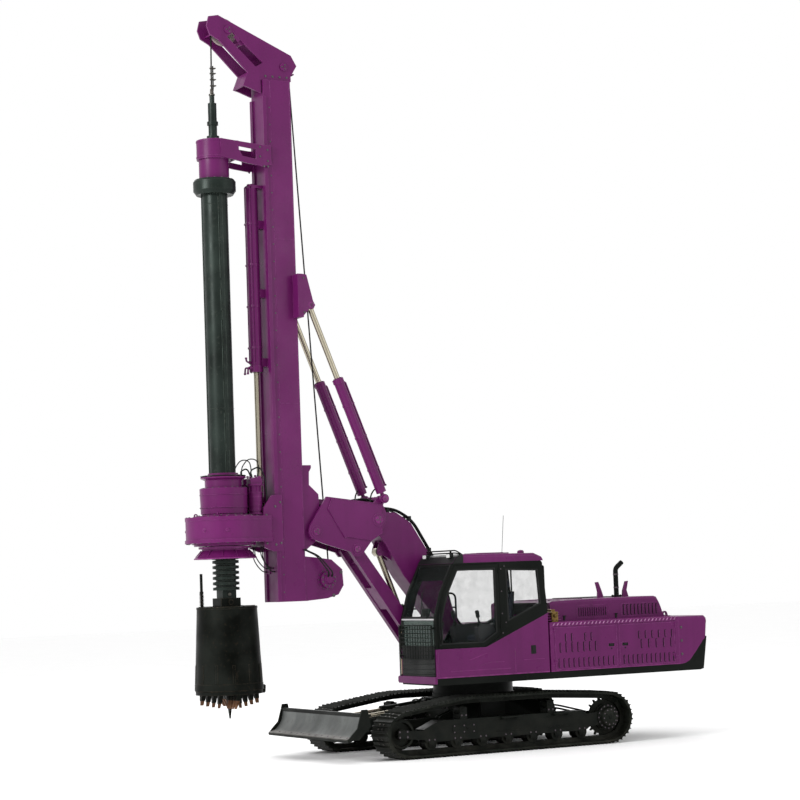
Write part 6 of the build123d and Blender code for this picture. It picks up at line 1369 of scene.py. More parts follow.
def seat_frame():
    """Moulded shells behind and under the cushions, bellows and base, and a belt."""
    shell = bmesh.new()
    prism(shell, soft_box(-0.18, 1.578, 0.228, 0.014, 0.012), CAB_MID - 0.235, CAB_MID + 0.235)
    prism(shell, [(0.128, 1.64), (0.146, 1.64), (0.196, 2.285), (0.178, 2.29)], CAB_MID - 0.205,
        CAB_MID + 0.205)
    prism(shell, soft_box(-0.16, 1.555, 0.17, 0.01, 0.009), CAB_MID - 0.19, CAB_MID + 0.19)
    for side in (-1, 1):
        x, post = CAB_MID + side * 0.243, CAB_MID + side * 0.05
        prism(shell, soft_box(0.075, 1.615, 0.045, 0.055, 0.03), x - 0.008, x + 0.008)
        bar(shell, (post, 0.15, 2.27), (post, 0.15, 2.36), 0.006)
        lathe(shell, [(0.0, 0.022), (0.016, 0.024), (0.02, 0.018)], (CAB_MID + side * 0.251, 0.075, 1.615),
            (side, 0, 0), 18)
    finish_piece("seat_shells", shell, "upper", "seat_fabric", "moulded_black", bevel=0.005)
    bellows = bmesh.new()
    levels = spread(1.3, 1.545, 15)
    for i, z in enumerate(levels[:-1]):
        wide, narrow = 0.165 - 0.01 * (i % 2), 0.155 + 0.01 * (i % 2)
        first, second = [[bellows.verts.new((x, y, level))
            for x, y in soft_box(CAB_MID, -0.16, half, half, 0.03)]
            for half, level in ((wide, z), (narrow, levels[i + 1]))]
        bridge(bellows, first, second)
        bellows.faces.new(first)
        bellows.faces.new(second)
    finish_piece("seat_bellows", bellows, "upper", "seat_fabric", "hose_rubber", smooth=20.0)
    base = bmesh.new()
    prism(base, soft_box(CAB_MID, -0.16, 0.175, 0.19, 0.03), 1.1455, 1.3, "z")
    for side in (-1, 1):
        x = CAB_MID + side * 0.13
        block(base, (x - 0.015, -0.355, 1.3), (x + 0.015, 0.03, 1.316))
        bolt(base, (CAB_MID + side * 0.17, -0.32, 1.2), (side, 0, 0), 0.01)
    finish_piece("seat_base", base, "upper", "seat_fabric", "black_paint", bevel=0.003)
    belt = bmesh.new()
    strap = [Vector(pair) for pair in ((0.075, 1.64), (0.066, 1.66), (0.02, 1.705), (-0.03, 1.712))]
    for side in (-1, 1):
        x = CAB_MID + side * 0.243
        for first, second in zip(strap, strap[1:]):
            run = (second - first).normalized()
            square = Vector((-run.y, run.x)) * 0.021
            prism(belt, [first + square, second + square, second - square, first - square], x - 0.0015,
                x + 0.0015)
    block(belt, (CAB_MID - 0.262, -0.075, 1.69), (CAB_MID - 0.236, -0.02, 1.732))
    finish_piece("seat_belt", belt, "upper", "seat_fabric", "hose_rubber", bevel=0.001)


# ---------------------------------------------------------------- linkage
def pin_end(data, bolts, x, y, z, side, radius):
    """A keeper plate over a pin's end, with three bolts and a grease fitting."""
    thick = 0.01
    outside = (side * (x + thick), y, z)
    lathe(data, [(0.0, radius), (thick * 0.6, radius), (thick, radius * 0.88)], (side * x, y, z),
        (side, 0, 0), 28)
    bolt_ring(bolts, outside, (side, 0, 0), radius * 0.55, 3, radius * 0.15, 0.5)
    lathe(bolts, [(0.0, radius * 0.12), (thick * 0.8, radius * 0.1), (thick, radius * 0.05)], outside,
        (side, 0, 0), 10)


def linkage_pins():
    """Keeper plates on every pin of the boom, link, support and mast cylinders."""
    groups = {
        "upper": ((0.242, BOOM_FOOT, 0.062), (0.242, LINK_FOOT, 0.05)),
        "support": ((0.277, BOOM_HEAD, 0.062), (0.267, LINK_HEAD, 0.048), (0.267, MAST_PIN, 0.056),
            (0.35, CYLINDER_FOOT, 0.048)),
        "mast_assembly": ((0.373, CYLINDER_EYE, 0.046),),
    }
    for body, ends in groups.items():
        data, bolts = bmesh.new(), bmesh.new()
        for x, place, radius in ends:
            for side in (-1, 1):
                pin_end(data, bolts, x, *place, side, radius)
        finish_piece(f"{body}_pin_plates", data, body, "purple_paint", "worn_purple", bevel=0.001)
        finish_piece(f"{body}_pin_bolts", bolts, body, "purple_paint", "bolt_zinc")


def weld(data, points, radius=0.006):
    """A bead of weld along a line."""
    route = []
    for first, second in zip(points, points[1:]):
        first, second = Vector(first), Vector(second)
        steps = max(2, round((second - first).length / 0.05))
        route += [first.lerp(second, i / steps) for i in range(steps)]
    route.append(Vector(points[-1]))
    pipe(data, route, radius, 6)


def linkage_welds():
    """Weld beads on boom and support, and raised rings round the linkage's pins."""
    data = bmesh.new()
    boom = [(-0.452, 1.9), (-0.56, 2.45), (-0.749, 2.85), (-1.066, 3.345), (-1.3, 3.5)]
    under = [(-0.64, 1.85), (-1.205, 2.562), (-1.53, 3.09)]
    for side in (-1, 1):
        x = side * 0.19
        for line, shift in ((boom, -0.016), (under, 0.016)):
            weld(data, [(x, y + shift, z) for y, z in line], 0.004)
        hoop(data, 0.0, 0.006, 0.118, 0.15, (x, *BOOM_FOOT), (side, 0, 0))
        hoop(data, 0.0, 0.006, 0.107, 0.128, (x, *BOOM_HEAD), (side, 0, 0))
    finish_piece("boom_welds", data, "boom_arm", "purple_paint", smooth=60.0)
    data = bmesh.new()
    for side in (-1, 1):
        x = side * 0.269
        weld(data, [(x, -2.395, 3.723), (x, -1.58, 3.614), (x, -1.592, 3.206), (x, -1.766, 3.102),
            (x, -2.15, 3.162), (x, -2.2, 3.152), (x, -2.458, 3.57), (x, -2.395, 3.723)], 0.004)
        for face, place, radius in ((0.269, BOOM_HEAD, 0.095), (0.255, MAST_PIN, 0.085),
                (0.255, LINK_HEAD, 0.075)):
            hoop(data, 0.0, 0.008, radius - 0.03, radius, (side * face, *place), (side, 0, 0))
    finish_piece("support_welds", data, "support", "purple_paint", smooth=60.0)
    data = bmesh.new()
    for side in (-1, 1):
        for place, radius in ((LINK_FOOT, 0.07), (LINK_HEAD, 0.078)):
            hoop(data, 0.0, 0.004, radius - 0.028, radius, (side * 0.1995, *place), (side, 0, 0), 28)
    finish_piece("link_bosses", data, "link", "purple_paint", smooth=60.0)


def linkage_hoses():
    """Hoses from the deck up the boom, over the support and on to the mast, and to the cylinders."""
    back = [(-0.362, 2.02), (-0.47, 2.43), (-0.668, 2.86), (-0.985, 3.375), (-1.255, 3.535), (-1.5, 3.565)]
    for side, name in ((-1, "right"), (1, "left")):
        for lane, shift in ((1, 0.06), (2, 0.1)):
            x, rise = side * shift, 0.01 * lane
            data = bmesh.new()
            pipe(data, rounded([(x, y, z + rise) for y, z in back], 0.18, 8), 0.013)
            finish_piece(f"{name}_boom_hose_{lane}", data, "boom_arm", "black_paint", "hose_rubber")
            for place, bodies, ends, bend, route in (
                    ("foot", ("upper", "boom_arm"), ((-0.02, 1.62), (-0.36, 2.0)), 0.12,
                        [(x, 0.1, 1.3), (x, -0.02, 1.62), (x, -0.26, 1.86), (x, -0.362, 2.02 + rise)]),
                    ("head", ("boom_arm", "support"), ((-1.52, 3.6), (-1.96, 3.6)), 0.12,
                        [(x, -1.5, 3.565 + rise), (x, -1.66, 3.7), (x, -1.9, 3.72), (x, -2.06, 3.575)]),
                    ("mast", ("support", "mast_assembly"), ((-2.15, 3.6), (-2.76, 3.6)), 0.14,
                        [(x, -2.06, 3.575), (x, -2.28, 3.5), (x, -2.5, 3.62), (x * 0.8, -2.7, 3.86),
                            (x * 0.8, -2.795, 4.3)])):
                data = bmesh.new()
                hose(data, route, 0.0135, bend, 3)
                finish_link(f"{name}_{place}_hose_{lane}", data, *bodies, (x, *ends[0]), (x, *ends[1]))
    clamps = bmesh.new()
    for y, z in ((-0.5, 2.5), (-0.72, 2.945), (-1.04, 3.42), (-1.4, 3.552)):
        for x in (-0.085, 0.085):
            block(clamps, (x - 0.04, y - 0.022, z - 0.045), (x + 0.04, y + 0.022, z + 0.03))
    finish_piece("boom_hose_clamps", clamps, "boom_arm", "purple_paint", "moulded_black", bevel=0.004)
    plate = bmesh.new()
    block(plate, (-0.14, -2.075, 3.53), (0.14, -2.045, 3.605))
    finish_piece("support_hose_plate", plate, "support", "purple_paint", bevel=0.004)
    for side, name in ((-1, "right"), (1, "left")):
        data = bmesh.new()
        hose(data, [(side * 0.236, -1.76, 3.63), (side * 0.252, -1.74, 3.8), (side * 0.3, -1.6, 3.92),
            (side * 0.3, -1.515, 3.905)], 0.011, 0.08, 3)
        finish_link(f"{name}_mast_cylinder_hose", data, "support", "mast_barrels", (side * 0.25, -1.74, 3.66),
            (side * 0.3, -1.56, 3.9))
    data = bmesh.new()
    for x in (-0.045, 0.045):
        hose(data, [(x, -0.6, 1.105), (x, -0.66, 1.3), (x, -0.74, 1.36), (x * 0.7, -0.845, 1.34)], 0.011,
            0.07, 3)
    finish_link("boom_cylinder_hoses", data, "upper", "boom_barrel", (0, -0.62, 1.34), (0, -0.82, 1.34))


def cylinder_bands():
    """Pipe clamps, gland faces and gland bolts on the mast cylinders' barrels."""
    foot = Vector((0.0, *CYLINDER_FOOT))
    along = (Vector((0.0, *CYLINDER_EYE)) - foot).normalized()
    data, bolts = bmesh.new(), bmesh.new()
    for side in (-1, 1):
        start = foot + Vector((side * 0.3, 0.0, 0.0))
        for share in (0.45, 0.95, 1.45):
            hoop(data, share, share + 0.03, 0.0735, 0.08, start, along, 28)
            place = start + along * (share + 0.015) + Vector((0.0, 0.0874, 0.0342))
            block(data, place - Vector((0.018, 0.022, 0.014)), place + Vector((0.018, 0.016, 0.014)))
        bolt_ring(bolts, start + along * 1.88, along, 0.064, 8, 0.008)
        lathe(data, [(1.879, 0.055), (1.892, 0.055), (1.894, 0.045)], start, along, 28)
    finish_piece("mast_cylinder_bands", data, "mast_barrels", "purple_paint", bevel=0.001)
    finish_piece("mast_cylinder_gland_bolts", bolts, "mast_barrels", "purple_paint", "bolt_zinc")


# ---------------------------------------------------------------- mast
def mast_fittings():
    """Side bolts, weld lines, section seams and rear pipes on the mast."""
    bolts, data = bmesh.new(), bmesh.new()
    for side in (-1, 1):
        for z in spread(2.4, 9.4, 29):
            bolt(bolts, (side * MAST_X, -3.168, z), (side, 0, 0), 0.009, 0.006)
        for y in (-3.145, -2.838):
            weld(data, [(side * MAST_X, y, 2.28), (side * MAST_X, y, 9.79)], 0.0035)
        for z in (5.1, 7.48):
            prism(data, soft_box(-2.985, z, 0.15, 0.006, 0.005), side * MAST_X, side * (MAST_X + 0.003))
        for x in (0.252, 0.378):
            for z in (6.9, 6.4):
                bolt(bolts, (side * x, -2.79, z), (side, 0, 0))
    for y, z in ((MAST_REAR + 0.025, 2.86), (MAST_REAR, 9.56)):
        for x in (-0.16, -0.05, 0.05, 0.16):
            bolt(bolts, (x, y, z), (0, 1, 0))
    finish_piece("mast_bolts", bolts, "mast_assembly", "purple_paint", "bolt_zinc")
    for x in (-0.08, -0.048, 0.048, 0.08):
        pipe(data, rounded([(x, -2.8, 4.28), (x, -2.8, 6.25), (x, -2.775, 6.33), (x, -2.775, 7.02),
            (x, -2.8, 7.1), (x, -2.8, 7.9)], 0.05), 0.01)
    for z in (4.5, 5.1, 5.7, 6.1, 7.3, 7.75):
        for x in (-0.064, 0.064):
            block(data, (x - 0.032, MAST_REAR, z - 0.018), (x + 0.032, MAST_REAR + 0.036, z + 0.018))
    finish_piece("mast_pipes_and_seams", data, "mast_assembly", "purple_paint", smooth=50.0)


def crowd_fittings():
    """Pipe ends, clamps and bolts on the crowd cylinder."""
    data, bolts = bmesh.new(), bmesh.new()
    y = CROWD_Y
    for x, z, rise in ((-0.05, 5.62, -0.09), (0.05, 5.62, -0.09), (0.0, 5.7, 0.06)):
        pipe(data, rounded([(x, y - 0.085, z), (x, y - 0.15, z + 0.01), (x, y - 0.16, z + rise)], 0.03),
            0.013)
        lathe(data, [(0.0, 0.021), (0.022, 0.021), (0.026, 0.016)], (x, y - 0.092, z), (0, -1, 0), 6)
        lathe(data, [(0.0, 0.019), (0.024, 0.019)], (x, y - 0.158, z + rise * 0.8),
            (0, 0, 1 if rise > 0 else -1), 6)
    for side in (-1, 1):
        elbow = [(side * 0.04, y - 0.02, 8.262), (side * 0.078, y - 0.062, 8.262),
            (side * 0.078, y - 0.062, 8.05)]
        pipe(data, rounded(elbow, 0.03), 0.0135)
        lathe(data, [(0.0, 0.02), (0.026, 0.02)], (side * 0.05, y - 0.031, 8.262), (side, -1, 0), 6)
    block(data, (-0.062, y - 0.062, 8.212), (0.062, y + 0.062, 8.226))
    for z in (5.9, 6.5, 7.1, 7.7):
        hoop(data, z, z + 0.028, 0.0875, 0.094, (0.0, y, 0.0), UP, 28)
        for side in (-1, 1):
            block(data, (side * 0.078 - 0.017, y - 0.082, z), (side * 0.078 + 0.017, y - 0.045, z + 0.028))
    bolt_ring(bolts, (0.0, y, 5.56), (0, 0, -1), 0.08, 8, 0.01)
    bolt_ring(bolts, (0.0, y, 8.29), UP, 0.04, 4, 0.009)
    finish_piece("crowd_cylinder_fittings", data, "mast_assembly", "purple_paint", smooth=40.0, bevel=0.001)
    finish_piece("crowd_cylinder_bolts", bolts, "mast_assembly", "purple_paint", "bolt_zinc")


def head_fittings():
    """Bolt rings, plugs, eyes, motor flanges and ports on the rotary head; ribs on its pressure plate."""
    bolts, data = bmesh.new(), bmesh.new()
    for turn in range(-216, 37, 14):
        place = KELLY + flat(turn) * 0.536
        if place.y < -3.62:
            bolt(bolts, place + UP * 3.49, UP, 0.014)
            bolt(bolts, place + UP * 3.1255, (0, 0, -1), 0.014)
    bolt_ring(bolts, KELLY + UP * 3.512, UP, 0.386, 24)
    bolt_ring(bolts, KELLY + UP * 3.9, UP, 0.3, 20)
    for x in (-MOTOR_X, MOTOR_X):
        bolt_ring(bolts, (x, MOTOR_Y, 3.59), UP, 0.0975, 10, 0.0045)
        bolt_ring(bolts, (x, MOTOR_Y, 3.95), UP, 0.087, 8, 0.006)
    for side in (-1, 1):
        for y, z in ((-3.44, 3.1), (-3.44, 3.5), (-3.3, 3.08), (-3.3, 3.62), (-3.22, 3.1), (-3.22, 3.68)):
            bolt(bolts, (side * 0.266, y, z), (side, 0, 0), 0.014)
    finish_piece("head_bolts", bolts, "head", "purple_paint", "bolt_zinc")
    for level, radius in ((3.62, 0.3355), (3.8, 0.3365)):
        hoop(data, level, level + 0.012, radius, radius + 0.008, KELLY, UP, 48)
    for turn in (200, 235, 305, 340):
        out = flat(turn)
        lathe(data, [(0.0, 0.03), (0.01, 0.03), (0.012, 0.018), (0.022, 0.017)],
            KELLY + out * 0.545 + UP * 3.3, out, 16)
    for turn in (215, 325):
        out = flat(turn)
        hoop(data, -0.008, 0.008, 0.016, 0.032, KELLY + out * 0.47 + UP * 3.525, out.cross(UP), 16)
    for x in (-MOTOR_X, MOTOR_X):
        axis = Vector((x, MOTOR_Y, 0.0))
        for low in (3.64, 3.7, 3.76):
            hoop(data, low, low + 0.012, 0.097, 0.102, axis, UP, 28)
        hoop(data, 3.925, 3.949, 0.092, 0.118, axis, UP, 28)
        ring(data, [(3.815, 0.096), (3.815, 0.106), (3.835, 0.106), (3.835, 0.078)], axis, UP, 28)
        for turn in range(0, 360, 45):
            foot = axis + UP * 3.835 + flat(turn) * 0.086
            bar(data, foot, foot + UP * 0.092, 0.011, 8)
        lathe(data, [(0.0, 0.024), (0.02, 0.024), (0.024, 0.018)], (x, -3.6, 4.035), (0, -0.45, 1), 6)
        lathe(data, [(0.0, 0.02), (0.02, 0.02), (0.024, 0.015)], (x, -3.535, 4.052), (0, 0.1, 1), 6)
    finish_piece("head_ribs_and_ports", data, "head", "purple_paint", bevel=0.0012)
    cap = bmesh.new()
    ring(cap, [(4.062, 0.318), (4.07, 0.324), (4.078, 0.318), (4.074, 0.3)], KELLY, UP, 48)
    finish_piece("head_top_seal", cap, "head", "black_paint", "hose_rubber")
    plate = bmesh.new()
    bolt_ring(plate, KELLY + UP * 4.11, UP, 0.2095, 16, 0.004)
    for level in (3.052, 3.066):
        hoop(plate, level, level + 0.006, 0.37, 0.3765, KELLY, UP, 48)
    for turn in range(0, 360, 30):
        out = flat(turn)
        wedge(plate, [KELLY + out * r + out.cross(UP) * offset + UP * z for offset in (-0.006, 0.006)
            for r, z in ((0.33, 3.01), (0.418, 2.932), (0.428, 2.936), (0.345, 3.03))])
    finish_piece("pressure_plate_ribs", plate, "sleeve", "purple_paint")
    lighter_edges = bmesh.new()
    ring(lighter_edges, [(2.8995, 0.3), (2.8995, 0.4445), (2.906, 0.4458), (2.914, 0.4458), (2.914, 0.44),
        (2.902, 0.3)], KELLY, UP, 56)
    finish_piece("pressure_plate_edge", lighter_edges, "sleeve", "purple_paint", "worn_purple")


def head_hoses():
    """Thin hoses from the gearbox's neck to its motors, and from below the carriage to the mast's foot."""
    data = bmesh.new()
    for side in (-1, 1):
        hose(data, [(side * 0.115, -3.735, 4.055), (side * 0.118, -3.742, 4.18), (side * 0.122, -3.64, 4.31),
            (side * 0.128, -3.5, 4.3), (side * 0.13, -3.47, 4.16), (side * 0.13, -3.5, 4.055)], 0.008, 0.09)
        hose(data, [(side * 0.15, -3.6, 4.05), (side * 0.175, -3.63, 4.14), (side * 0.215, -3.5, 4.2),
            (side * 0.218, -3.42, 4.02), (side * 0.216, -3.4, 3.7), (side * 0.216, -3.4, 3.492)], 0.011, 0.08)
    finish_piece("head_hoses", data, "head", "black_paint", "hose_rubber")
    for side, name in ((-1, "right"), (1, "left")):
        data = bmesh.new()
        for lane, drop in ((0.1, 0.0), (0.16, 0.05)):
            low = [(side * lane, -3.46, 3.064), (side * lane, -3.475, 2.95 - drop),
                (side * (lane - 0.01), -3.41, 2.83 - drop), (side * (lane - 0.02), -3.33, 2.75 - drop),
                (side * (lane - 0.02), -3.262, 2.745 - drop)]
            hose(data, low, 0.008, 0.08, 3)
        finish_link(f"{name}_lower_head_hoses", data, "mast_assembly", "head", (side * 0.12, -3.29, 2.76),
            (side * 0.12, -3.46, 3.0))
    data = bmesh.new()
    for side in (-1, 1):
        block(data, (side * 0.11 - 0.055, -3.268, 2.665), (side * 0.11 + 0.055, -3.25, 2.775))
    finish_piece("mast_hose_anchors", data, "mast_assembly", "purple_paint", bevel=0.004)


# ---------------------------------------------------------------- kelly, guide and bucket
def kelly_fittings():
    """Drive stops on the kelly's ribs, weld rings, collar bolts and guide-ring bolts."""
    data = bmesh.new()
    for turn in KELLY_RIBS:
        out = flat(turn)
        across = out.cross(UP)
        for ends in ((6.72, 6.86), (6.28, 6.4), (5.0, 5.16), (4.42, 4.52)):
            wedge(data, [KELLY + out * r + across * w + UP * z for z in ends
                for r, w in ((0.176, 0.038), (0.1978, 0.03), (0.1978, -0.03), (0.176, -0.038))])
    for z in (5.02, 7.95):
        ring(data, [(z, 0.18), (z + 0.003, 0.186), (z + 0.012, 0.1865), (z + 0.016, 0.18)], KELLY, UP, 40)
    finish_piece("kelly_stops", data, "outer_kelly", "kelly_steel", bevel=0.002)
    bolts = bmesh.new()
    bolt_ring(bolts, KELLY + UP * 8.32, UP, 0.262, 16)
    finish_piece("kelly_collar_bolts", bolts, "outer_kelly", "kelly_steel", "bolt_zinc")
    data = bmesh.new()
    ring(data, [(8.106, 0.268), (8.158, 0.3055), (8.29, 0.3055), (8.292, 0.302), (8.165, 0.302),
        (8.108, 0.262)], KELLY, UP, 48)
    finish_piece("kelly_collar_edge", data, "outer_kelly", "kelly_steel")
    # Weld beads beside each rib, in a lighter steel that paints a highlight line along the rib.
    seams = bmesh.new()
    for turn in KELLY_RIBS:
        for shift in (-9.5, 9.5):
            foot = KELLY + flat(turn + shift) * 0.1822
            for low, high in ((2.96, 4.96), (5.08, 6.3), (6.42, 6.74), (6.88, 8.06)):
                weld(seams, [foot + UP * low, foot + UP * high])
    finish_piece("kelly_seams", seams, "outer_kelly", "kelly_steel", "rib_highlight_steel")
    bolts = bmesh.new()
    bolt_ring(bolts, KELLY + UP * 8.89, UP, 0.205, 14, 0.013)
    for side in (-1, 1):
        for y, z in ((-3.36, 8.66), (-3.36, 8.8), (-3.24, 8.52), (-3.24, 8.6), (-3.24, 8.76), (-3.3, 8.52)):
            bolt(bolts, (side * 0.256, y, z), (side, 0, 0))
    finish_piece("guide_bolts", bolts, "guide", "purple_paint", "bolt_zinc")
    data = bmesh.new()
    ring(data, [(8.33, 0.1855), (8.33, 0.212), (8.345, 0.216), (8.61, 0.216), (8.61, 0.1855)], KELLY, UP, 48)
    for level in (8.64, 8.866):
        hoop(data, level, level + 0.014, 0.244, 0.251, KELLY, UP, 48)
    finish_piece("guide_ring_lips", data, "guide", "purple_paint")


def bucket_fittings():
    """Bands, wear bars, weld beads and spring on the bucket, its socket pin, and its teeth's worn tips."""
    data = bmesh.new()
    ring(data, [(1.062, 0.478), (1.062, 0.4855), (1.155, 0.4815), (1.16, 0.474)], KELLY, UP, 56)
    ring(data, [(2.196, 0.425), (2.198, 0.4315), (2.226, 0.4302), (2.229, 0.424)], KELLY, UP, 56)
    for turn in range(15, 375, 30):
        out = flat(turn)
        across = out.cross(UP)
        wedge(data, [KELLY + out * (0.425 + 0.055 * (2.23 - z) / 1.17 + r) + across * w + UP * z
            for z in (1.165, 1.42) for r, w in ((-0.003, 0.022), (0.0065, 0.016), (0.0065, -0.016),
            (-0.003, -0.022))])
    for turn in range(0, 360, 60):
        out, lid = flat(turn), KELLY + UP * 2.232
        weld(data, [lid + out * 0.19, lid + out * 0.4], 0.007)
    bar(data, (-0.153, KELLY_Y, 2.29), (0.153, KELLY_Y, 2.29), 0.03, 24)
    for x in (-0.153, 0.153):
        hoop(data, -0.005, 0.005, 0.03, 0.042, (x, KELLY_Y, 2.29), (1, 0, 0), 24)
    foot = Vector((-0.12, KELLY_Y - 0.33, 2.245))
    pipe(data, coil(foot, (1, 0, 0), (0, 1, 0), 0.03, UP * 0.175, 9, 14), 0.0045, 6)
    finish_piece("bucket_bands", data, "inner_kelly", "bucket_steel", smooth=40.0)
    data = bmesh.new()
    for side in (-1, 1):
        lathe(data, [(0.0, 0.026), (0.01, 0.026), (0.014, 0.02)], (side * 0.105, KELLY_Y, 2.4), (side, 0, 0),
            20)
    finish_piece("stub_pin", data, "inner_kelly", "kelly_steel", "worn_edge")
    teeth, holders = bmesh.new(), bmesh.new()
    for reach in (0.15, 0.24, 0.33, 0.42):
        for bearing in (0, 180):
            cutter(teeth, bearing, reach, (0.42, 1.015), 0.0015)
            cutter(holders, bearing, reach, (-0.17, 0.4), 0.01)
        for bearing in (90, 270):
            tip = 1.05 - 1.1 * (reach - 0.15)
            cutter(teeth, bearing, reach - 0.03, (tip - 0.35, tip), 0.0)
            cutter(holders, bearing, reach - 0.03, (-0.17, tip - 0.33), 0.006)
    finish_piece("bucket_tooth_tips", teeth, "floor", "bucket_steel", "rusty_teeth", bevel=0.002)
    prism(holders, [(KELLY_Y - 0.034, 1.0), (KELLY_Y + 0.034, 1.0), (KELLY_Y + 0.018, 0.82),
        (KELLY_Y - 0.018, 0.82)], -0.052, 0.052)
    finish_piece("bucket_tooth_holders", holders, "floor", "bucket_steel", bevel=0.003)


def cutter(data, bearing, reach, shares, grow):
    """Part of a digging tooth that leans the way the bucket turns; shares run from its root to its tip."""
    out, ahead = flat(bearing), flat(bearing - 90)
    corners = []
    for share in shares:
        lean = 0.03 + 0.07 * max(0.0, share)
        place = KELLY + UP * (1.005 - 0.19 * share) + out * reach + ahead * lean
        half_out, half_ahead = out * (0.026 - 0.006 * share + grow), ahead * (0.035 - 0.028 * share + grow)
        corners += [place + half_out * u + half_ahead * v for u, v in ((1, 1), (-1, 1), (-1, -1), (1, -1))]
    wedge(data, corners)


# ---------------------------------------------------------------- cathead, winch and ropes
ROPE = 0.011              # the rope's radius
FRONT_SHEAVE = Vector((0.0, -3.775, 10.5))
REAR_SHEAVE = Vector((0.0, -2.905, 10.02))
FRONT_WRAP, REAR_WRAP = 0.189, 0.159  # from each sheave's axis to the rope's middle
DRUM = Vector((0.0, -2.48, 2.56))
DRUM_WRAP = 0.142


def arc(centre, radius, first, last, steps):
    """Points on an arc in the machine's long plane, from one angle to another in degrees."""
    return [centre + Vector((0.0, math.cos(math.radians(turn)), math.sin(math.radians(turn)))) * radius
        for turn in spread(first, last, steps)]


def ropes():
    """The winch rope from the drum over both sheaves, its run down to the swivel, and its clipped end."""
    drop = DRUM - REAR_SHEAVE
    heading = math.degrees(math.atan2(drop.z, drop.y))
    lean = math.degrees(math.asin((REAR_WRAP - DRUM_WRAP) / drop.length))
    leave = heading + 90.0 - lean
    rise = FRONT_SHEAVE - REAR_SHEAVE
    top = math.degrees(math.atan2(rise.z, rise.y) + math.asin((FRONT_WRAP - REAR_WRAP) / rise.length)) - 90.0
    route = arc(DRUM, DRUM_WRAP, leave - 50, leave, 6)
    route += arc(REAR_SHEAVE, REAR_WRAP, leave, top, 16) + arc(FRONT_SHEAVE, FRONT_WRAP, top, 180.0, 16)
    data = bmesh.new()
    pipe(data, route, ROPE, 10)
    finish_piece("winch_rope", data, "mast_assembly", "kelly_steel", "wire_rope")
    data = bmesh.new()
    start = FRONT_SHEAVE + Vector((0.0, -FRONT_WRAP, 0.0))
    foot = Vector((0.0, -3.972, 10.01))
    pipe(data, [start.lerp(foot, i / 8) for i in range(9)], ROPE, 10)
    finish_link("hoist_rope_upper", data, "mast_assembly", "guide", start, foot, "kelly_steel", "wire_rope")
    data = bmesh.new()
    end = KELLY + UP * 9.975
    pipe(data, [foot.lerp(end, i / 4) for i in range(5)], ROPE, 10)
    finish_link("hoist_rope_middle", data, "outer_kelly", "inner_kelly", foot, end, "kelly_steel",
        "wire_rope")
    data = bmesh.new()
    pipe(data, [end, KELLY + UP * 9.6], ROPE, 10)
    tail = rounded([(0.0, KELLY_Y + 0.02, 9.62), (0.0, KELLY_Y + 0.026, 9.7), (0.0, KELLY_Y + 0.026, 9.99)],
        0.03)
    pipe(data, tail, ROPE * 0.95, 10)
    finish_piece("hoist_rope_end", data, "inner_kelly", "kelly_steel", "wire_rope")
    clips = bmesh.new()
    for z in (9.7, 9.79, 9.88, 9.955):
        block(clips, (-0.016, KELLY_Y - 0.018, z - 0.01), (0.016, KELLY_Y + 0.052, z + 0.01))
        for x in (-0.02, 0.02):
            bar(clips, (x, KELLY_Y - 0.016, z), (x, KELLY_Y + 0.066, z), 0.005, 8)
            lathe(clips, [(0.0, 0.01), (0.01, 0.01)], (x, KELLY_Y + 0.051, z), (0, 1, 0), 6)
    lathe(clips, [(0.0, 0.045), (0.02, 0.045), (0.034, 0.026), (0.09, 0.024), (0.1, 0.018)],
        KELLY + UP * 9.555, UP, 20)
    bar(clips, (-0.05, KELLY_Y, 9.59), (0.05, KELLY_Y, 9.59), 0.011, 14)
    finish_piece("rope_clips_and_socket", clips, "inner_kelly", "kelly_steel", "worn_edge", bevel=0.001)
    data = bmesh.new()
    wound = coil(DRUM - Vector((0.138, 0, 0)), (0, 1, 0), UP, DRUM_WRAP, Vector((0.276, 0, 0)), 12, 28)
    pipe(data, wound, ROPE, 8)
    finish_piece("wound_rope", data, "drum", "dark_housing", "wire_rope")


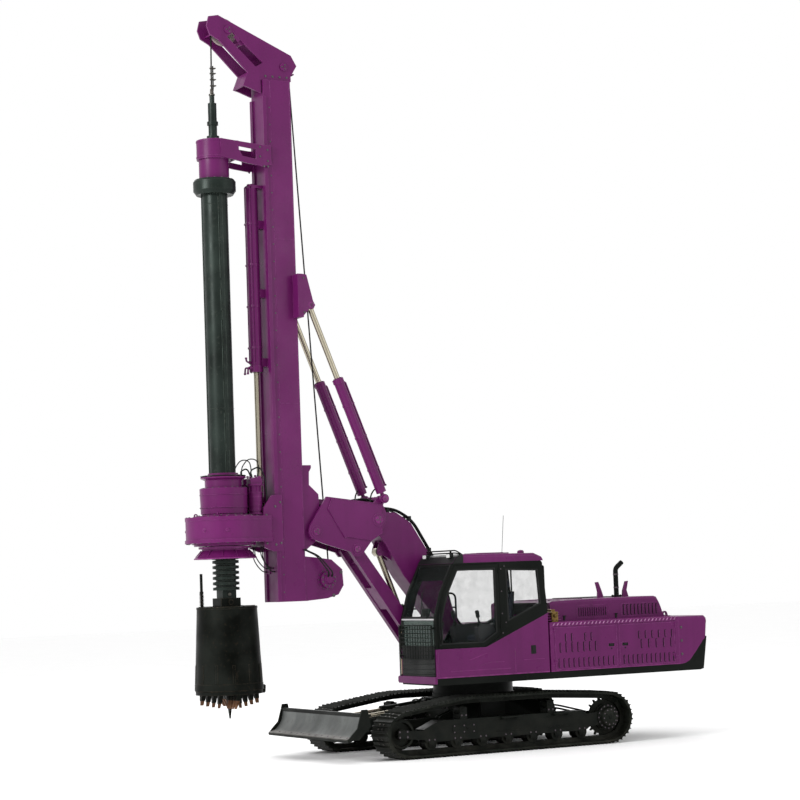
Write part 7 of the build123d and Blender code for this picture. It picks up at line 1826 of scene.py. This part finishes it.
def cathead_fittings():
    """Pin plates, rope guards, bolts and strut pads on the mast's head, and rims on its two sheaves."""
    data, bolts = bmesh.new(), bmesh.new()
    for sheave in (FRONT_SHEAVE, REAR_SHEAVE):
        for side in (-1, 1):
            pin_end(data, bolts, 0.1895, sheave.y, sheave.z, side, 0.06)
    for side in (-1, 1):
        for y in spread(-3.2, -2.86, 4):
            bolt(bolts, (side * 0.18, y, 9.865), (side, 0, 0), 0.014)
        x = side * 0.18
        weld(data, [(x, -3.47, 9.905), (x, -3.93, 10.35)], 0.005)
        prism(data, [(-3.69, 10.395), (-3.62, 10.33), (-3.585, 10.365), (-3.655, 10.43)], x, side * 0.186)
    for y, z in ((-3.985, 10.44), (-3.9, 10.68), (-2.735, 9.93), (-2.76, 10.15)):
        bar(data, (-0.15, y, z), (0.15, y, z), 0.012)
    finish_piece("cathead_fittings", data, "mast_assembly", "purple_paint", bevel=0.001)
    finish_piece("cathead_bolts", bolts, "mast_assembly", "purple_paint", "bolt_zinc")
    for centre, body, reach in ((FRONT_SHEAVE, "front_rope_sheave", 0.125),
            (REAR_SHEAVE, "rear_rope_sheave", 0.105)):
        data = bmesh.new()
        for side in (-1, 1):
            for place in ring_places(centre + Vector((side * 0.0142, 0, 0)), (side, 0, 0), reach, 6):
                hoop(data, 0.0, 0.003, 0.021, 0.027, place, (side, 0, 0), 16)
            hoop(data, 0.0, 0.006, 0.052, 0.07, centre + Vector((side * 0.0595, 0, 0)), (side, 0, 0), 24)
        finish_piece(f"{body}_rims", data, body, "dark_housing", "sheave_steel")


def winch_fittings():
    """Bolted drive covers, frame bolts and hoses on the winch."""
    data, bolts = bmesh.new(), bmesh.new()
    for side in (-1, 1):
        out = Vector((side, 0, 0))
        bolt_ring(bolts, DRUM + out * 0.262, out, 0.1, 10, 0.01)
        lathe(data, [(0.0, 0.07), (0.012, 0.07), (0.018, 0.06), (0.04, 0.052), (0.044, 0.0)],
            DRUM + out * 0.261, out, 28)
        hoop(data, 0.0, 0.01, 0.121, 0.15, DRUM + out * 0.2, out, 36)
        bolt_ring(bolts, DRUM + out * 0.21, out, 0.136, 12, 0.008)
        for y, z in ((-2.25, 2.66), (-2.38, 2.33)):
            bolt(bolts, (side * 0.2, y, z), (side, 0, 0), 0.02, 0.012)
    finish_piece("winch_covers", data, "mast_assembly", "purple_paint", bevel=0.001)
    finish_piece("winch_bolts", bolts, "mast_assembly", "purple_paint", "bolt_zinc")
    data = bmesh.new()
    for shift in (-0.03, 0.03):
        hose(data, [(0.3, -2.48 + shift, 2.6), (0.335, -2.48 + shift, 2.66), (0.3, -2.66 + shift * 0.5, 2.9),
            (0.224, -2.84 + shift * 0.3, 3.0)], 0.01, 0.07)
    finish_piece("winch_hoses", data, "mast_assembly", "black_paint", "hose_rubber")


make_camera()
make_light()
make_floor()
dress_nodes()
for side, name in ((1, "left"), (-1, "right")):
    track_fittings(side, name)
    track_frame_fittings(side, name)
travel_hoses()
blade_fittings()
side_louvres()
door_fittings()
tread_plates()
hood_fittings()
exhaust_fittings()
valve_stack()
tail_fittings()
right_side_fittings()
right_front()
window_gaskets()
front_guard()
cab_side_details()
roof_visor()
roof_fittings()
cab_inside()
seat_cushions()
seat_frame()
linkage_pins()
linkage_welds()
linkage_hoses()
cylinder_bands()
mast_fittings()
crowd_fittings()
head_fittings()
head_hoses()
kelly_fittings()
bucket_fittings()
ropes()
cathead_fittings()
winch_fittings()
